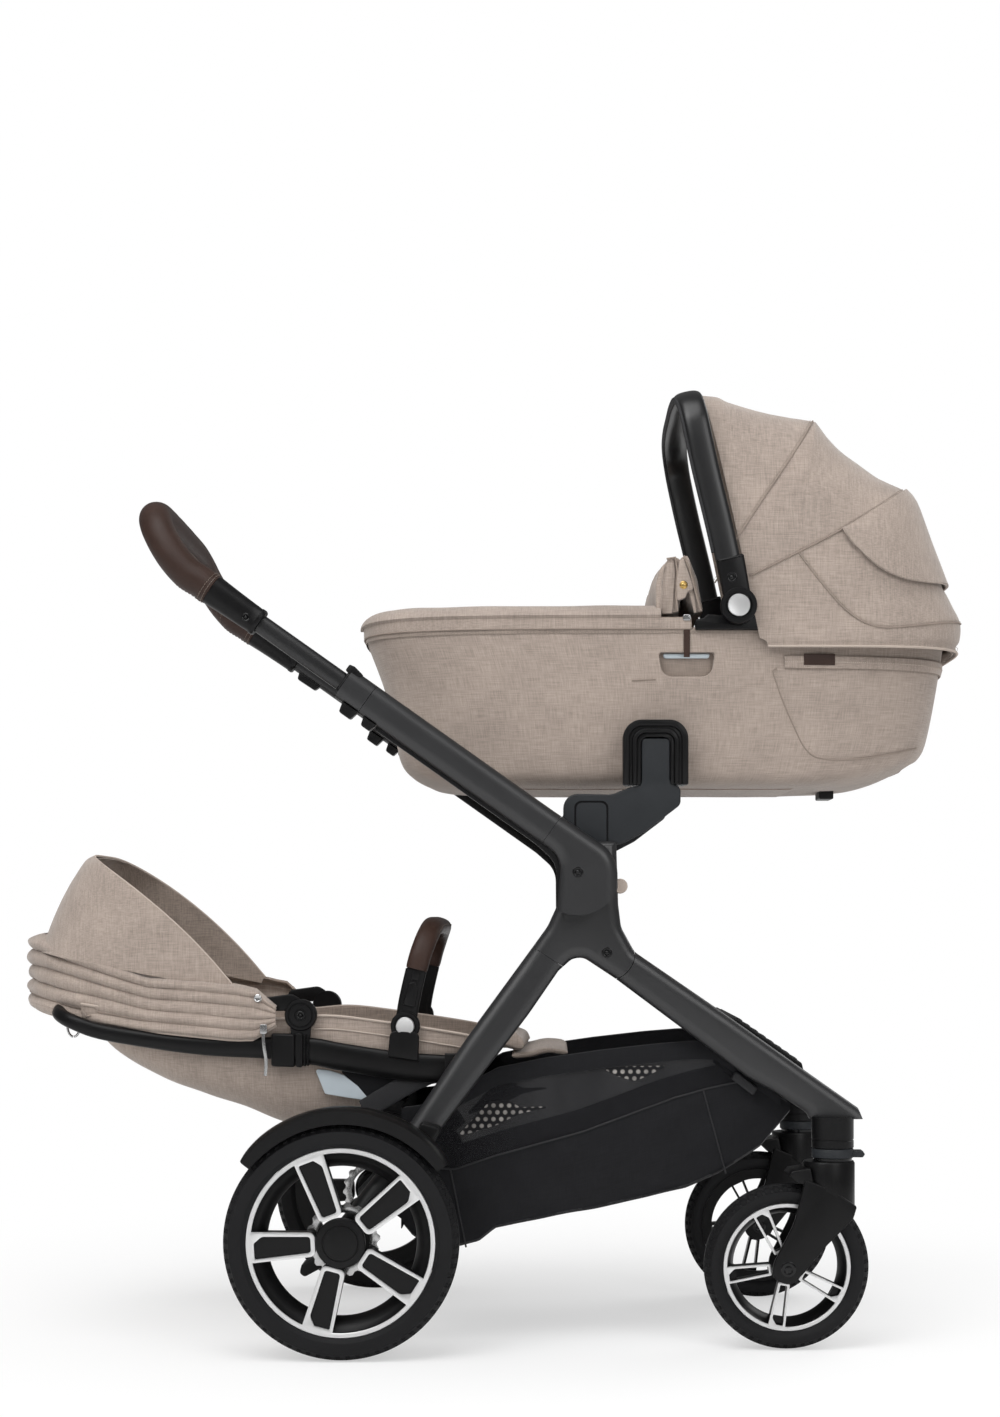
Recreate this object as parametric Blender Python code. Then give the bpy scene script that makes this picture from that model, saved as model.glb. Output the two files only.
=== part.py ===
"""Convertible stroller with a carrycot above and a sibling seat below.

Frame: +X is the front of the stroller, -Y the near side, +Z up, floor at Z = 0.
All numbers below are millimetres; MM turns them into metres when a mesh is made.
"""

import math

import bmesh
import bpy
from mathutils import Vector

for item in list(bpy.data.objects):
    bpy.data.objects.remove(item, do_unlink=True)

MM = 0.001

# Clearances
FIT_GAP = 0.4
BORE_GAP = 0.4
SIDE_GAP = 2.0

# Chassis driving dimensions
HINGE_ARM = (102.0, 600.0)
HINGE_LEG = (139.0, 499.0)
HUB_IN = 178.0
HUB_OUT = 205.0
ARM_IN = HUB_OUT + SIDE_GAP
ARM_OUT = 233.0
ARM_END = (-160.0, 815.0)
ARM_ANGLE = math.radians(35.3)
ARM_HALF = 21.0
ARM_PIN_R = 8.0
KNUCKLE_R = 35.0
CROSS_R = 9.0
ADAPTOR_IN = HUB_IN + 2.0
ADAPTOR_OUT = ADAPTOR_IN + 16.0

# Wheels
REAR_R = 145.0
REAR_CENTRE = (-189.0, REAR_R)
REAR_Y = 277.5
REAR_TYRE_DEPTH = 28.8
REAR_RIM_R = REAR_R - REAR_TYRE_DEPTH
REAR_WELL_R = REAR_RIM_R - 20.2
TYRE_HALF = 22.5
FRONT_R = 103.8
FRONT_CENTRE = (365.0, FRONT_R)
FRONT_Y = 200.0
FRONT_TYRE_DEPTH = 23.6
FRONT_RIM_R = FRONT_R - FRONT_TYRE_DEPTH
FRONT_WELL_R = FRONT_RIM_R - 14.2
AXLE_R = 6.0
FRONT_PIN_R = 5.0
WHEEL_FACETS = 32
SWIVEL_X = 424.0
STEM_R = 10.0

# Telescoping handle
TUBE_HALF = (12.0, 9.0)
HANDLE_Y = (ARM_IN + ARM_OUT) / 2
BORE_DEPTH = 215.0
TUBE_INSERT = 95.0

# Carrycot
TUB_HALF = 174.0
TUB_FLOOR_HALF = TUB_HALF - 14.0
TUB_WALL = 11.0
CANOPY_HALF = TUB_HALF + 10.0
ARCH_IN = CANOPY_HALF + 0.5
ARCH_OUT = ARCH_IN + 15.0
COT_PIVOT = (306.0, 938.0)
BUTTON_R = 14.3
BUTTON_TRAVEL = 2.0

# Sibling seat
RAIL_Y = 174.0
RAIL_HALF = 7.0
SHELL_HALF = RAIL_Y - RAIL_HALF - 0.6
SEAT_CANOPY_HALF = RAIL_Y - 2.0
SEAT_PIVOT = (-250.0, 419.0)
BUMPER_PIVOT = (-117.0, 405.0)
BUMPER_OUT = RAIL_Y + 1.0
BUMPER_IN = SHELL_HALF + 1.0

MATERIALS = {}


def material(name, colour, roughness, metallic=0.0):
    """Return one named Principled material, made once."""
    if name not in MATERIALS:
        mat = bpy.data.materials.new(name)
        mat.use_nodes = True
        shader = mat.node_tree.nodes["Principled BSDF"]
        shader.inputs["Base Color"].default_value = (*colour, 1.0)
        shader.inputs["Roughness"].default_value = roughness
        shader.inputs["Metallic"].default_value = metallic
        mat.diffuse_color = (*colour, 1.0)
        MATERIALS[name] = mat
    return MATERIALS[name]


def frame_tube():
    """Charcoal anodised tube."""
    return material("charcoal_anodised", (0.035, 0.036, 0.04), 0.38, 0.6)


def black_plastic():
    """Satin black plastic."""
    return material("black_plastic", (0.012, 0.012, 0.014), 0.42)


def slate_plastic():
    """Dark slate adaptor plastic."""
    return material("slate_plastic", (0.04, 0.045, 0.052), 0.45)


def rubber():
    """Tyre rubber."""
    return material("tyre_rubber", (0.018, 0.018, 0.021), 0.75)


def silver():
    """Brushed silver rim."""
    return material("silver_rim", (0.55, 0.56, 0.57), 0.3, 1.0)


def leather():
    """Dark brown leather."""
    return material("brown_leather", (0.035, 0.02, 0.014), 0.5)


def taupe():
    """Taupe melange fabric."""
    return material("taupe_fabric", (0.4, 0.33, 0.28), 0.9)


def charcoal_mesh():
    """Charcoal basket fabric."""
    return material("charcoal_fabric", (0.02, 0.021, 0.026), 0.85)


def cream():
    """Pale padding."""
    return material("pale_padding", (0.62, 0.55, 0.48), 0.92)


def add(name, bm, mat, pivot=(0.0, 0.0, 0.0), smooth=True):
    """Turn a millimetre bmesh into a named object whose origin is the pivot."""
    bmesh.ops.remove_doubles(bm, verts=bm.verts, dist=1e-4)
    bmesh.ops.recalc_face_normals(bm, faces=bm.faces)
    bmesh.ops.translate(bm, verts=bm.verts, vec=-Vector(pivot))
    bmesh.ops.scale(bm, verts=bm.verts, vec=(MM, MM, MM))
    mesh = bpy.data.meshes.new(name)
    bm.to_mesh(mesh)
    bm.free()
    obj = bpy.data.objects.new(name, mesh)
    obj.location = Vector(pivot) * MM
    obj.data.materials.append(mat)
    bpy.context.scene.collection.objects.link(obj)
    if smooth:
        for poly in mesh.polygons:
            poly.use_smooth = True
        mesh.set_sharp_from_angle(angle=math.radians(38))
    return obj


def bake(obj):
    """Replace the mesh with its evaluated form and drop the modifiers."""
    graph = bpy.context.evaluated_depsgraph_get()
    graph.update()
    mesh = bpy.data.meshes.new_from_object(obj.evaluated_get(graph))
    old = obj.data
    obj.modifiers.clear()
    obj.data = mesh
    mesh.name = obj.name
    bpy.data.meshes.remove(old)


def combine(obj, bm, operation, smooth=True):
    """Cut or join a millimetre bmesh with an object and bake the result."""
    tool = add("tool", bm, obj.data.materials[0], smooth=False)
    modifier = obj.modifiers.new("boolean", "BOOLEAN")
    modifier.operation = operation
    modifier.solver = "EXACT"
    modifier.object = tool
    bake(obj)
    bpy.data.objects.remove(tool, do_unlink=True)
    for poly in obj.data.polygons:
        poly.use_smooth = smooth
    if smooth:
        obj.data.set_sharp_from_angle(angle=math.radians(38))


def prism(outline, y0, y1, bevel=0.0, segments=1):
    """Extrude an (x, z) outline from y0 to y1, with optional softened rims."""
    bm = bmesh.new()
    low = [bm.verts.new((x, y0, z)) for x, z in outline]
    high = [bm.verts.new((x, y1, z)) for x, z in outline]
    caps = [bm.faces.new(low), bm.faces.new(high)]
    for i, a in enumerate(low):
        j = (i + 1) % len(low)
        bm.faces.new((a, low[j], high[j], high[i]))
    bmesh.ops.recalc_face_normals(bm, faces=bm.faces)
    if bevel:
        edges = {edge for cap in caps for edge in cap.edges}
        bmesh.ops.bevel(
            bm,
            geom=list(edges),
            offset=bevel,
            segments=segments,
            profile=0.5,
            affect="EDGES",
            clamp_overlap=True,
        )
    return bm


def sided(bm, side):
    """Mirror a piece made on the +Y side to the wanted side."""
    if side < 0:
        bmesh.ops.scale(bm, verts=bm.verts, vec=(1, -1, 1))
        bmesh.ops.reverse_faces(bm, faces=bm.faces)
    return bm


def loft(rings, closed_ends=True):
    """Join rings of equal count with quads and cap both ends."""
    bm = bmesh.new()
    rows = [[bm.verts.new(p) for p in ring] for ring in rings]
    count = len(rows[0])
    for a, b in zip(rows, rows[1:]):
        for i in range(count):
            j = (i + 1) % count
            bm.faces.new((a[i], a[j], b[j], b[i]))
    if closed_ends:
        bm.faces.new(rows[0])
        bm.faces.new(rows[-1])
    bmesh.ops.recalc_face_normals(bm, faces=bm.faces)
    return bm


def lathe(profile, centre, segments):
    """Turn a closed (radius, y) loop about the Y axis through centre (x, z)."""
    bm = bmesh.new()
    rows = []
    for k in range(segments):
        angle = 2 * math.pi * k / segments
        c, s = math.cos(angle), math.sin(angle)
        rows.append(
            [bm.verts.new((centre[0] + r * c, y, centre[1] + r * s)) for r, y in profile]
        )
    count = len(profile)
    for k in range(segments):
        a, b = rows[k], rows[(k + 1) % segments]
        for i in range(count):
            j = (i + 1) % count
            bm.faces.new((a[i], a[j], b[j], b[i]))
    bmesh.ops.recalc_face_normals(bm, faces=bm.faces)
    return bm


def rod(centre, radius, y0, y1, segments=20, chamfer=0.0):
    """Cylinder along Y."""
    circle = ring_points(centre, radius, segments)
    return prism(circle, y0, y1, chamfer)


def post(centre, radius, z0, z1, segments=24, chamfer=0.0):
    """Cylinder along Z at centre (x, y)."""
    rings = []
    levels = [(radius, z0), (radius, z1)]
    if chamfer:
        levels = [
            (radius - chamfer, z0),
            (radius, z0 + chamfer),
            (radius, z1 - chamfer),
            (radius - chamfer, z1),
        ]
    for r, z in levels:
        ring = []
        for k in range(segments):
            angle = 2 * math.pi * k / segments
            ring.append((centre[0] + r * math.cos(angle), centre[1] + r * math.sin(angle), z))
        rings.append(ring)
    return loft(rings)


def ring_points(centre, radius, segments, start=0.0, stop=360.0):
    """Points on a circle in the XZ plane, the whole circle or an arc in degrees."""
    whole = abs(stop - start) >= 360.0
    steps = segments if whole else segments - 1
    points = []
    for k in range(segments):
        angle = math.radians(start + (stop - start) * k / steps)
        points.append(
            (centre[0] + radius * math.cos(angle), centre[1] + radius * math.sin(angle))
        )
    return points


def sweep(path, section, normal, scales=None):
    """Sweep an (a, b) section along a path; a runs along the fixed normal."""
    normal = Vector(normal).normalized()
    points = [Vector(p) for p in path]
    rings = []
    for i, point in enumerate(points):
        before = points[max(i - 1, 0)]
        after = points[min(i + 1, len(points) - 1)]
        tangent = (after - before).normalized()
        flat = (normal - tangent * normal.dot(tangent)).normalized()
        across = tangent.cross(flat).normalized()
        grow = (1.0, 1.0) if scales is None else scales[i]
        rings.append(
            [point + flat * (a * grow[0]) + across * (b * grow[1]) for a, b in section]
        )
    return loft(rings)


def oval(a, b, segments=12, power=2.4):
    """Superellipse section with half sizes a and b."""
    points = []
    for k in range(segments):
        angle = 2 * math.pi * k / segments
        c, s = math.cos(angle), math.sin(angle)
        points.append(
            (
                a * math.copysign(abs(c) ** (2 / power), c),
                b * math.copysign(abs(s) ** (2 / power), s),
            )
        )
    return points


def plan_ring(x0, x1, half, z, power=3.6, segments=28, lift=None):
    """Rounded plan outline between x0 and x1, optionally lifted along X."""
    middle, a = (x0 + x1) / 2, (x1 - x0) / 2
    ring = []
    for px, py in oval(a, half, segments, power):
        x = middle + px
        ring.append((x, py, z + (lift(x) if lift else 0.0)))
    return ring


def dome(centre, outline, half, thickness, power=3.4, stations=13, low=0.12):
    """Hood shell whose bows fan out from centre (x, z) to the side outline."""
    bm = bmesh.new()
    angles = []
    start = math.asin(low ** (power / 2))
    for j in range(stations):
        angles.append(start + (math.pi - 2 * start) * j / (stations - 1))
    grids = []
    for inset in (0.0, thickness):
        grid = []
        for x, z in outline:
            dx, dz = x - centre[0], z - centre[1]
            reach = math.hypot(dx, dz)
            keep = (reach - inset) / reach
            row = []
            for angle in angles:
                c, s = math.cos(angle), math.sin(angle)
                y = math.copysign(abs(c) ** (2 / power), c) * (half - inset)
                f = abs(s) ** (2 / power)
                row.append(
                    bm.verts.new((centre[0] + dx * f * keep, y, centre[1] + dz * f * keep))
                )
            grid.append(row)
        grids.append(grid)
    outer, inner = grids
    rows, cols = len(outer), stations
    for grid in grids:
        for i in range(rows - 1):
            for j in range(cols - 1):
                bm.faces.new((grid[i][j], grid[i][j + 1], grid[i + 1][j + 1], grid[i + 1][j]))
    for i in range(rows - 1):
        for j in (0, cols - 1):
            bm.faces.new((outer[i][j], outer[i + 1][j], inner[i + 1][j], inner[i][j]))
    for j in range(cols - 1):
        for i in (0, rows - 1):
            bm.faces.new((outer[i][j], outer[i][j + 1], inner[i][j + 1], inner[i][j]))
    bmesh.ops.recalc_face_normals(bm, faces=bm.faces)
    return bm


def smooth_path(points, steps=4):
    """Catmull-Rom points through the given ones."""
    pts = [Vector(p) for p in points]
    out = []
    for i in range(len(pts) - 1):
        p0 = pts[max(i - 1, 0)]
        p1, p2 = pts[i], pts[i + 1]
        p3 = pts[min(i + 2, len(pts) - 1)]
        for k in range(steps):
            t = k / steps
            out.append(
                0.5
                * (
                    2 * p1
                    + (p2 - p0) * t
                    + (2 * p0 - 5 * p1 + 4 * p2 - p3) * t * t
                    + (3 * p1 - p0 - 3 * p2 + p3) * t**3
                )
            )
    out.append(pts[-1])
    return out


ARM_DIR = Vector((math.cos(ARM_ANGLE), 0.0, -math.sin(ARM_ANGLE)))
ARM_UP = Vector((math.sin(ARM_ANGLE), 0.0, math.cos(ARM_ANGLE)))


def on_arm(distance, offset=0.0):
    """Point (x, z) on the arm axis; distance runs down from the collar seam."""
    p = Vector((ARM_END[0], 0.0, ARM_END[1])) + ARM_DIR * distance + ARM_UP * offset
    return (p.x, p.z)


def splay(z):
    """Outward shift of the rear leg at height z."""
    share = min(max((500.0 - z) / 355.0, 0.0), 1.0)
    return 44.5 * share


SIDES = (("near", -1), ("far", 1))


def build_hub(tag, side):
    """Y-shaped hub casting that carries both hinges and the rear leg."""
    outline = [
        (84, 612),
        (96, 631),
        (112, 635),
        (132, 635),
        (146, 625),
        (153, 604),
        (153, 548),
        (156, 533),
    ]
    outline += ring_points(HINGE_LEG, KNUCKLE_R, 13, 52, -135)
    outline += [(100, 482), (92, 486), (85, 481), (47, 506), (62, 530), (76, 552), (80, 580)]
    hub = add(f"hub_{tag}", sided(prism(outline, HUB_IN, HUB_OUT, 1.6), side), frame_tube())
    middle = (HUB_IN + HUB_OUT) / 2
    combine(
        hub,
        sided(rod(HINGE_LEG, KNUCKLE_R + BORE_GAP, HUB_IN - 5, middle + 0.2, 32), side),
        "DIFFERENCE",
    )
    combine(
        hub, sided(rod(HINGE_LEG, CROSS_R + BORE_GAP, middle - 5, HUB_OUT + 5, 20), side), "DIFFERENCE"
    )
    combine(
        hub,
        sided(rod(HINGE_ARM, ARM_PIN_R + BORE_GAP, HUB_IN - 5, HUB_OUT + 5, 20), side),
        "DIFFERENCE",
    )
    return hub


def build_rear_leg(tag, side):
    """Straight rear leg, splayed outward to the axle."""
    outline = [
        (46.8, 505.6),
        (84.7, 480.6),
        (40, 420),
        (-1, 365),
        (-61, 289),
        (-110, 222),
        (-158, 168),
    ]
    outline += ring_points(REAR_CENTRE, 22.0, 7, 30, -210)
    outline += [(-190, 172), (-150, 224), (-106, 289), (-41, 387), (0, 443)]
    bm = prism(outline, HUB_IN, HUB_OUT, 3.0, 2)
    for vert in bm.verts:
        vert.co.y += splay(vert.co.z)
    leg = add(f"rear_leg_{tag}", sided(bm, side), frame_tube())
    combine(leg, sided(rod(REAR_CENTRE, AXLE_R + BORE_GAP, 200, 270, 16), side), "DIFFERENCE")
    return leg


def build_front_leg(tag, side):
    """Front leg: round knuckle on the lower hinge, foot over the caster."""
    outline = [
        (173, 503),
        (295, 416),
        (400, 342),
        (452, 304),
        (459, 296),
        (457, 287.4),
        (402, 287.4),
        (394, 301),
        (347, 325),
        (317, 342),
        (155, 468),
    ]
    outline += ring_points(HINGE_LEG, KNUCKLE_R, 15, -70, -352)
    pivot = (HINGE_LEG[0], 0.0, HINGE_LEG[1])
    middle = (HUB_IN + HUB_OUT) / 2
    leg = add(f"front_leg_{tag}", sided(prism(outline, HUB_IN, HUB_OUT, 2.5, 2), side), frame_tube())
    combine(
        leg,
        sided(rod(HINGE_LEG, KNUCKLE_R + BORE_GAP, middle - 0.2, HUB_OUT + 5, 32), side),
        "DIFFERENCE",
    )
    combine(
        leg, sided(rod(HINGE_LEG, CROSS_R + BORE_GAP, HUB_IN - 5, middle + 5, 20), side), "DIFFERENCE"
    )
    move_origin(leg, pivot)
    return leg


def move_origin(obj, pivot):
    """Put the origin of a finished piece on its joint axis."""
    target = Vector(pivot) * MM
    delta = target - obj.location
    for vert in obj.data.vertices:
        vert.co -= delta
    obj.location = target


def build_arm(tag, side):
    """Push arm with an elbow and a bore for the handle tube."""
    outline = [on_arm(0, ARM_HALF), on_arm(276, ARM_HALF)]
    outline += [(112, 650), (134, 637), (147, 624), (152.5, 608), (153, 592)]
    outline += ring_points(HINGE_ARM, 54.0, 9, -23.6, -118)
    outline += [(80, 580), (81, 604), (76, 620), on_arm(284, -ARM_HALF), on_arm(0, -ARM_HALF)]
    arm = add(f"arm_{tag}", sided(prism(outline, ARM_IN, ARM_OUT, 3.2, 2), side), frame_tube())
    pin = sided(rod(HINGE_ARM, ARM_PIN_R, HUB_IN + 4, ARM_IN + 6, 20), side)
    combine(arm, pin, "UNION")
    combine(arm, handle_bore(side, -5.0, BORE_DEPTH), "DIFFERENCE")
    move_origin(arm, (HINGE_ARM[0], 0.0, HINGE_ARM[1]))
    return arm


def handle_bore(side, start, stop, grow=BORE_GAP):
    """Oval bar along the arm axis, used as a cutter or as the tube itself."""
    section = oval(TUBE_HALF[0] + grow, TUBE_HALF[1] + grow, 20)
    a, b = on_arm(start), on_arm(stop)
    path = [(a[0], side * HANDLE_Y, a[1]), (b[0], side * HANDLE_Y, b[1])]
    return sweep(path, section, ARM_UP)


def build_collar(tag, side):
    """Plastic collar that clamps the telescoping tube."""
    outline = [
        on_arm(-0.4, 22),
        on_arm(-0.4, -22),
        on_arm(-8, -26.5),
        on_arm(-34, -26.5),
        on_arm(-36, -22),
        on_arm(-36, 22),
        on_arm(-28, 25),
        on_arm(-10, 24),
    ]
    collar = add(
        f"collar_{tag}", sided(prism(outline, ARM_IN - 2, ARM_OUT + 1.5, 2.0), side), black_plastic()
    )
    combine(collar, handle_bore(side, -60.0, 20.0), "DIFFERENCE")
    move_origin(collar, (HINGE_ARM[0], 0.0, HINGE_ARM[1]))
    return collar


SLEEVE_LOW = -168.0
SLEEVE_HIGH = -240.0


def build_handle():
    """Two sliding tubes, two sleeves and the leather-covered handle bow."""
    pivot = (*on_arm(SLEEVE_LOW), 0.0)
    pivot = (pivot[0], 0.0, pivot[1])
    for tag, side in SIDES:
        tube = handle_bore(side, SLEEVE_LOW + FIT_GAP, TUBE_INSERT, 0.0)
        add(f"handle_tube_{tag}", tube, frame_tube(), pivot)
        low, high = on_arm(SLEEVE_LOW), on_arm(SLEEVE_HIGH)
        y = side * HANDLE_Y
        middle = on_arm((SLEEVE_LOW + SLEEVE_HIGH) / 2)
        path = [(low[0], y, low[1]), (middle[0], y, middle[1]), (high[0], y, high[1])]
        scales = [(16.0, 12.5), (18.0, 14.5), (19.5, 17.0)]
        sleeve = sweep(path, oval(1, 1, 20), ARM_UP, scales)
        add(f"sleeve_{tag}", sleeve, black_plastic(), pivot)
    start = on_arm(SLEEVE_HIGH - FIT_GAP * 2)
    second = on_arm(SLEEVE_HIGH - 2.5)
    third = on_arm(SLEEVE_HIGH - 16.0)
    near = [
        (second[0], -HANDLE_Y, second[1]),
        (third[0], -HANDLE_Y, third[1]),
        (-392, -HANDLE_Y + 1, 1000),
        (-411, -HANDLE_Y + 7, 1026),
        (-424, -HANDLE_Y + 27, 1043),
        (-429, -HANDLE_Y + 62, 1050),
        (-430, -90, 1051),
        (-430, 0, 1051),
    ]
    path = [Vector((start[0], -HANDLE_Y, start[1]))] + smooth_path(near, 2)
    path += [Vector((p.x, -p.y, p.z)) for p in reversed(path[:-1])]
    grip = sweep_free(path, 18.0, 10)
    add("handle_grip", grip, leather(), pivot)


def sweep_free(path, radius, segments, squash=1.0):
    """Round bar along a free path with frames carried from point to point."""
    points = [Vector(p) for p in path]
    rings = []
    flat = None
    for i, point in enumerate(points):
        tangent = (points[min(i + 1, len(points) - 1)] - points[max(i - 1, 0)]).normalized()
        if flat is None:
            flat = Vector((0.0, 1.0, 0.0))
        flat = (flat - tangent * flat.dot(tangent)).normalized()
        across = tangent.cross(flat)
        ring = []
        for k in range(segments):
            angle = 2 * math.pi * k / segments
            ring.append(
                point + flat * (radius * math.cos(angle)) + across * (radius * squash * math.sin(angle))
            )
        rings.append(ring)
    return loft(rings)


def build_adaptor(tag, side):
    """Carrycot adaptor that stands on the hub."""
    outline = [
        (183, 768),
        (186, 771),
        (216, 771),
        (219, 768),
        (219, 722),
        (234, 717),
        (234, 683),
        (186, 647),
        (160, 635.4),
        (84, 635.4),
        (84, 682),
        (92, 691),
        (110, 701),
        (147, 700),
        (168, 708),
        (183, 716),
    ]
    add(f"adaptor_{tag}", sided(prism(outline, ADAPTOR_IN, ADAPTOR_OUT, 1.5), side), slate_plastic())


def build_receiver(tag, side):
    """Socket on the carrycot wall that drops over the adaptor."""
    outline = [(161, 724), (242, 724), (242, 768), (234, 783), (222, 788), (181, 788), (169, 783), (161, 768)]
    bm = prism(outline, TUB_FLOOR_HALF + 0.6, ADAPTOR_OUT + 7.0, 2.0)
    for vert in bm.verts:
        if vert.co.y < TUB_FLOOR_HALF + 3.0:
            vert.co.y += max(0.0, vert.co.z - 752.0) * 0.11
    receiver = add(f"receiver_{tag}", sided(bm, side), black_plastic())
    slot = [(182, 700), (220, 700), (220, 772), (182, 772)]
    slot_inner = ADAPTOR_IN - FIT_GAP * 1.5
    combine(receiver, sided(prism(slot, slot_inner, ADAPTOR_OUT + 19.0), side), "DIFFERENCE", smooth=False)


def tyre_profile(outer, inner, half, y):
    """Closed tyre cross-section around its rim."""
    depth = outer - inner
    return [
        (inner, y - half * 0.72),
        (outer - depth * 0.36, y - half),
        (outer - depth * 0.1, y - half * 0.62),
        (outer, y - half * 0.18),
        (outer, y + half * 0.18),
        (outer - depth * 0.1, y + half * 0.62),
        (outer - depth * 0.36, y + half),
        (inner, y + half * 0.72),
    ]


def spoke_prisms(centre, first, last, inner_half, outer_half, y0, y1, turn):
    """Five tapered spokes as separate closed prisms in one mesh."""
    bm = bmesh.new()
    for k in range(5):
        angle = math.radians(turn + 72 * k)
        c, s = math.cos(angle), math.sin(angle)
        corners = [(first, -inner_half), (last, -outer_half), (last, outer_half), (first, inner_half)]
        flat = [(centre[0] + r * c - w * s, centre[1] + r * s + w * c) for r, w in corners]
        low = [bm.verts.new((x, y0, z)) for x, z in flat]
        high = [bm.verts.new((x, y1, z)) for x, z in flat]
        bm.faces.new(low)
        bm.faces.new(high)
        for i in range(4):
            j = (i + 1) % 4
            bm.faces.new((low[i], low[j], high[j], high[i]))
    bmesh.ops.recalc_face_normals(bm, faces=bm.faces)
    return bm


def build_wheel(kind, tag, side, centre, y, outer, rim, well, hub, bore, spokes, turn):
    """Tyre and five-spoke rim of one wheel, both about the axle."""
    pivot = (centre[0], side * y, centre[1])
    tyre = lathe(tyre_profile(outer, rim + FIT_GAP, TYRE_HALF, side * y), centre, WHEEL_FACETS)
    add(f"{kind}_tyre_{tag}", tyre, rubber(), pivot)
    half = TYRE_HALF * 0.68
    ring = [(well, side * y - half), (rim, side * y - half), (rim, side * y + half), (well, side * y + half)]
    wheel = add(f"{kind}_rim_{tag}", lathe(ring, centre, WHEEL_FACETS), black_plastic(), pivot)
    deep = side * y
    bars = spoke_prisms(centre, hub - 4, well + 4, spokes[0], spokes[1], deep - 6, deep + 6, turn)
    combine(wheel, bars, "UNION")
    drum = lathe([(bore, deep - 19), (hub, deep - 19), (hub, deep + 19), (bore, deep + 19)], centre, 20)
    combine(wheel, drum, "UNION")
    return wheel


def build_fork(tag, side):
    """Caster fork: stem, crown, two blades and the wheel pin."""
    y = side * FRONT_Y
    crown = post((SWIVEL_X - 5, y), 33.0, 214.0, 238.0, 20, 2.0)
    fork = add(f"fork_{tag}", crown, black_plastic())
    combine(fork, post((SWIVEL_X, y), STEM_R, 230.0, 284.0, 20), "UNION")
    blade = [(387, 236), (450, 236), (452, 182), (446, 172)]
    blade += ring_points(FRONT_CENTRE, 20.0, 7, -45, -210)
    blade += [(378, 170), (390, 206)]
    for shift in (-1, 1):
        inner = y + shift * (TYRE_HALF + 1.5)
        outer = y + shift * (TYRE_HALF + 9.5)
        combine(fork, prism(blade, inner, outer, 1.2), "UNION")
    combine(fork, rod(FRONT_CENTRE, FRONT_PIN_R, y - 28, y + 28, 16), "UNION")
    move_origin(fork, (SWIVEL_X, y, 238.0))


def build_caster(tag, side):
    """Caster housing under the front leg, with the lock ring below it."""
    y = side * FRONT_Y
    housing = post((SWIVEL_X, y), 26.5, 253.0, 286.9, 20, 1.5)
    caster = add(f"caster_{tag}", housing, black_plastic())
    combine(caster, post((SWIVEL_X, y), STEM_R + BORE_GAP, 240.0, 285.0, 20), "DIFFERENCE")
    move_origin(caster, (HINGE_LEG[0], 0.0, HINGE_LEG[1]))
    ring = post((SWIVEL_X, y), 24.0, 240.5, 250.5, 20)
    lock = add(f"swivel_lock_{tag}", ring, black_plastic())
    tab = [(SWIVEL_X + 15, 242), (SWIVEL_X + 38, 242), (SWIVEL_X + 40, 246), (SWIVEL_X + 38, 249), (SWIVEL_X + 15, 249)]
    combine(lock, prism(tab, y - 9, y + 9), "UNION")
    combine(lock, post((SWIVEL_X, y), STEM_R + BORE_GAP, 235.0, 255.0, 20), "DIFFERENCE")
    move_origin(lock, (SWIVEL_X, y, 245.0))


def build_fender(tag, side):
    """Mudguard arc over the rear wheel with a foot on the rear leg."""
    inner, outer = REAR_R + 3.5, REAR_R + 15.0
    outline = ring_points(REAR_CENTRE, outer, 13, 36, 142)
    outline += ring_points(REAR_CENTRE, inner, 13, 142, 36)
    low, high = REAR_Y - TYRE_HALF - 3, REAR_Y + TYRE_HALF + 3
    fender = add(f"fender_{tag}", sided(prism(outline, low, high, 3.5), side), black_plastic())
    foot = [(-100, 269), (-86, 262), (-74, 274), (-92, 284)]
    combine(fender, sided(prism(foot, HUB_OUT + splay(266) + 0.5, low + 14), side), "UNION")


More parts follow.
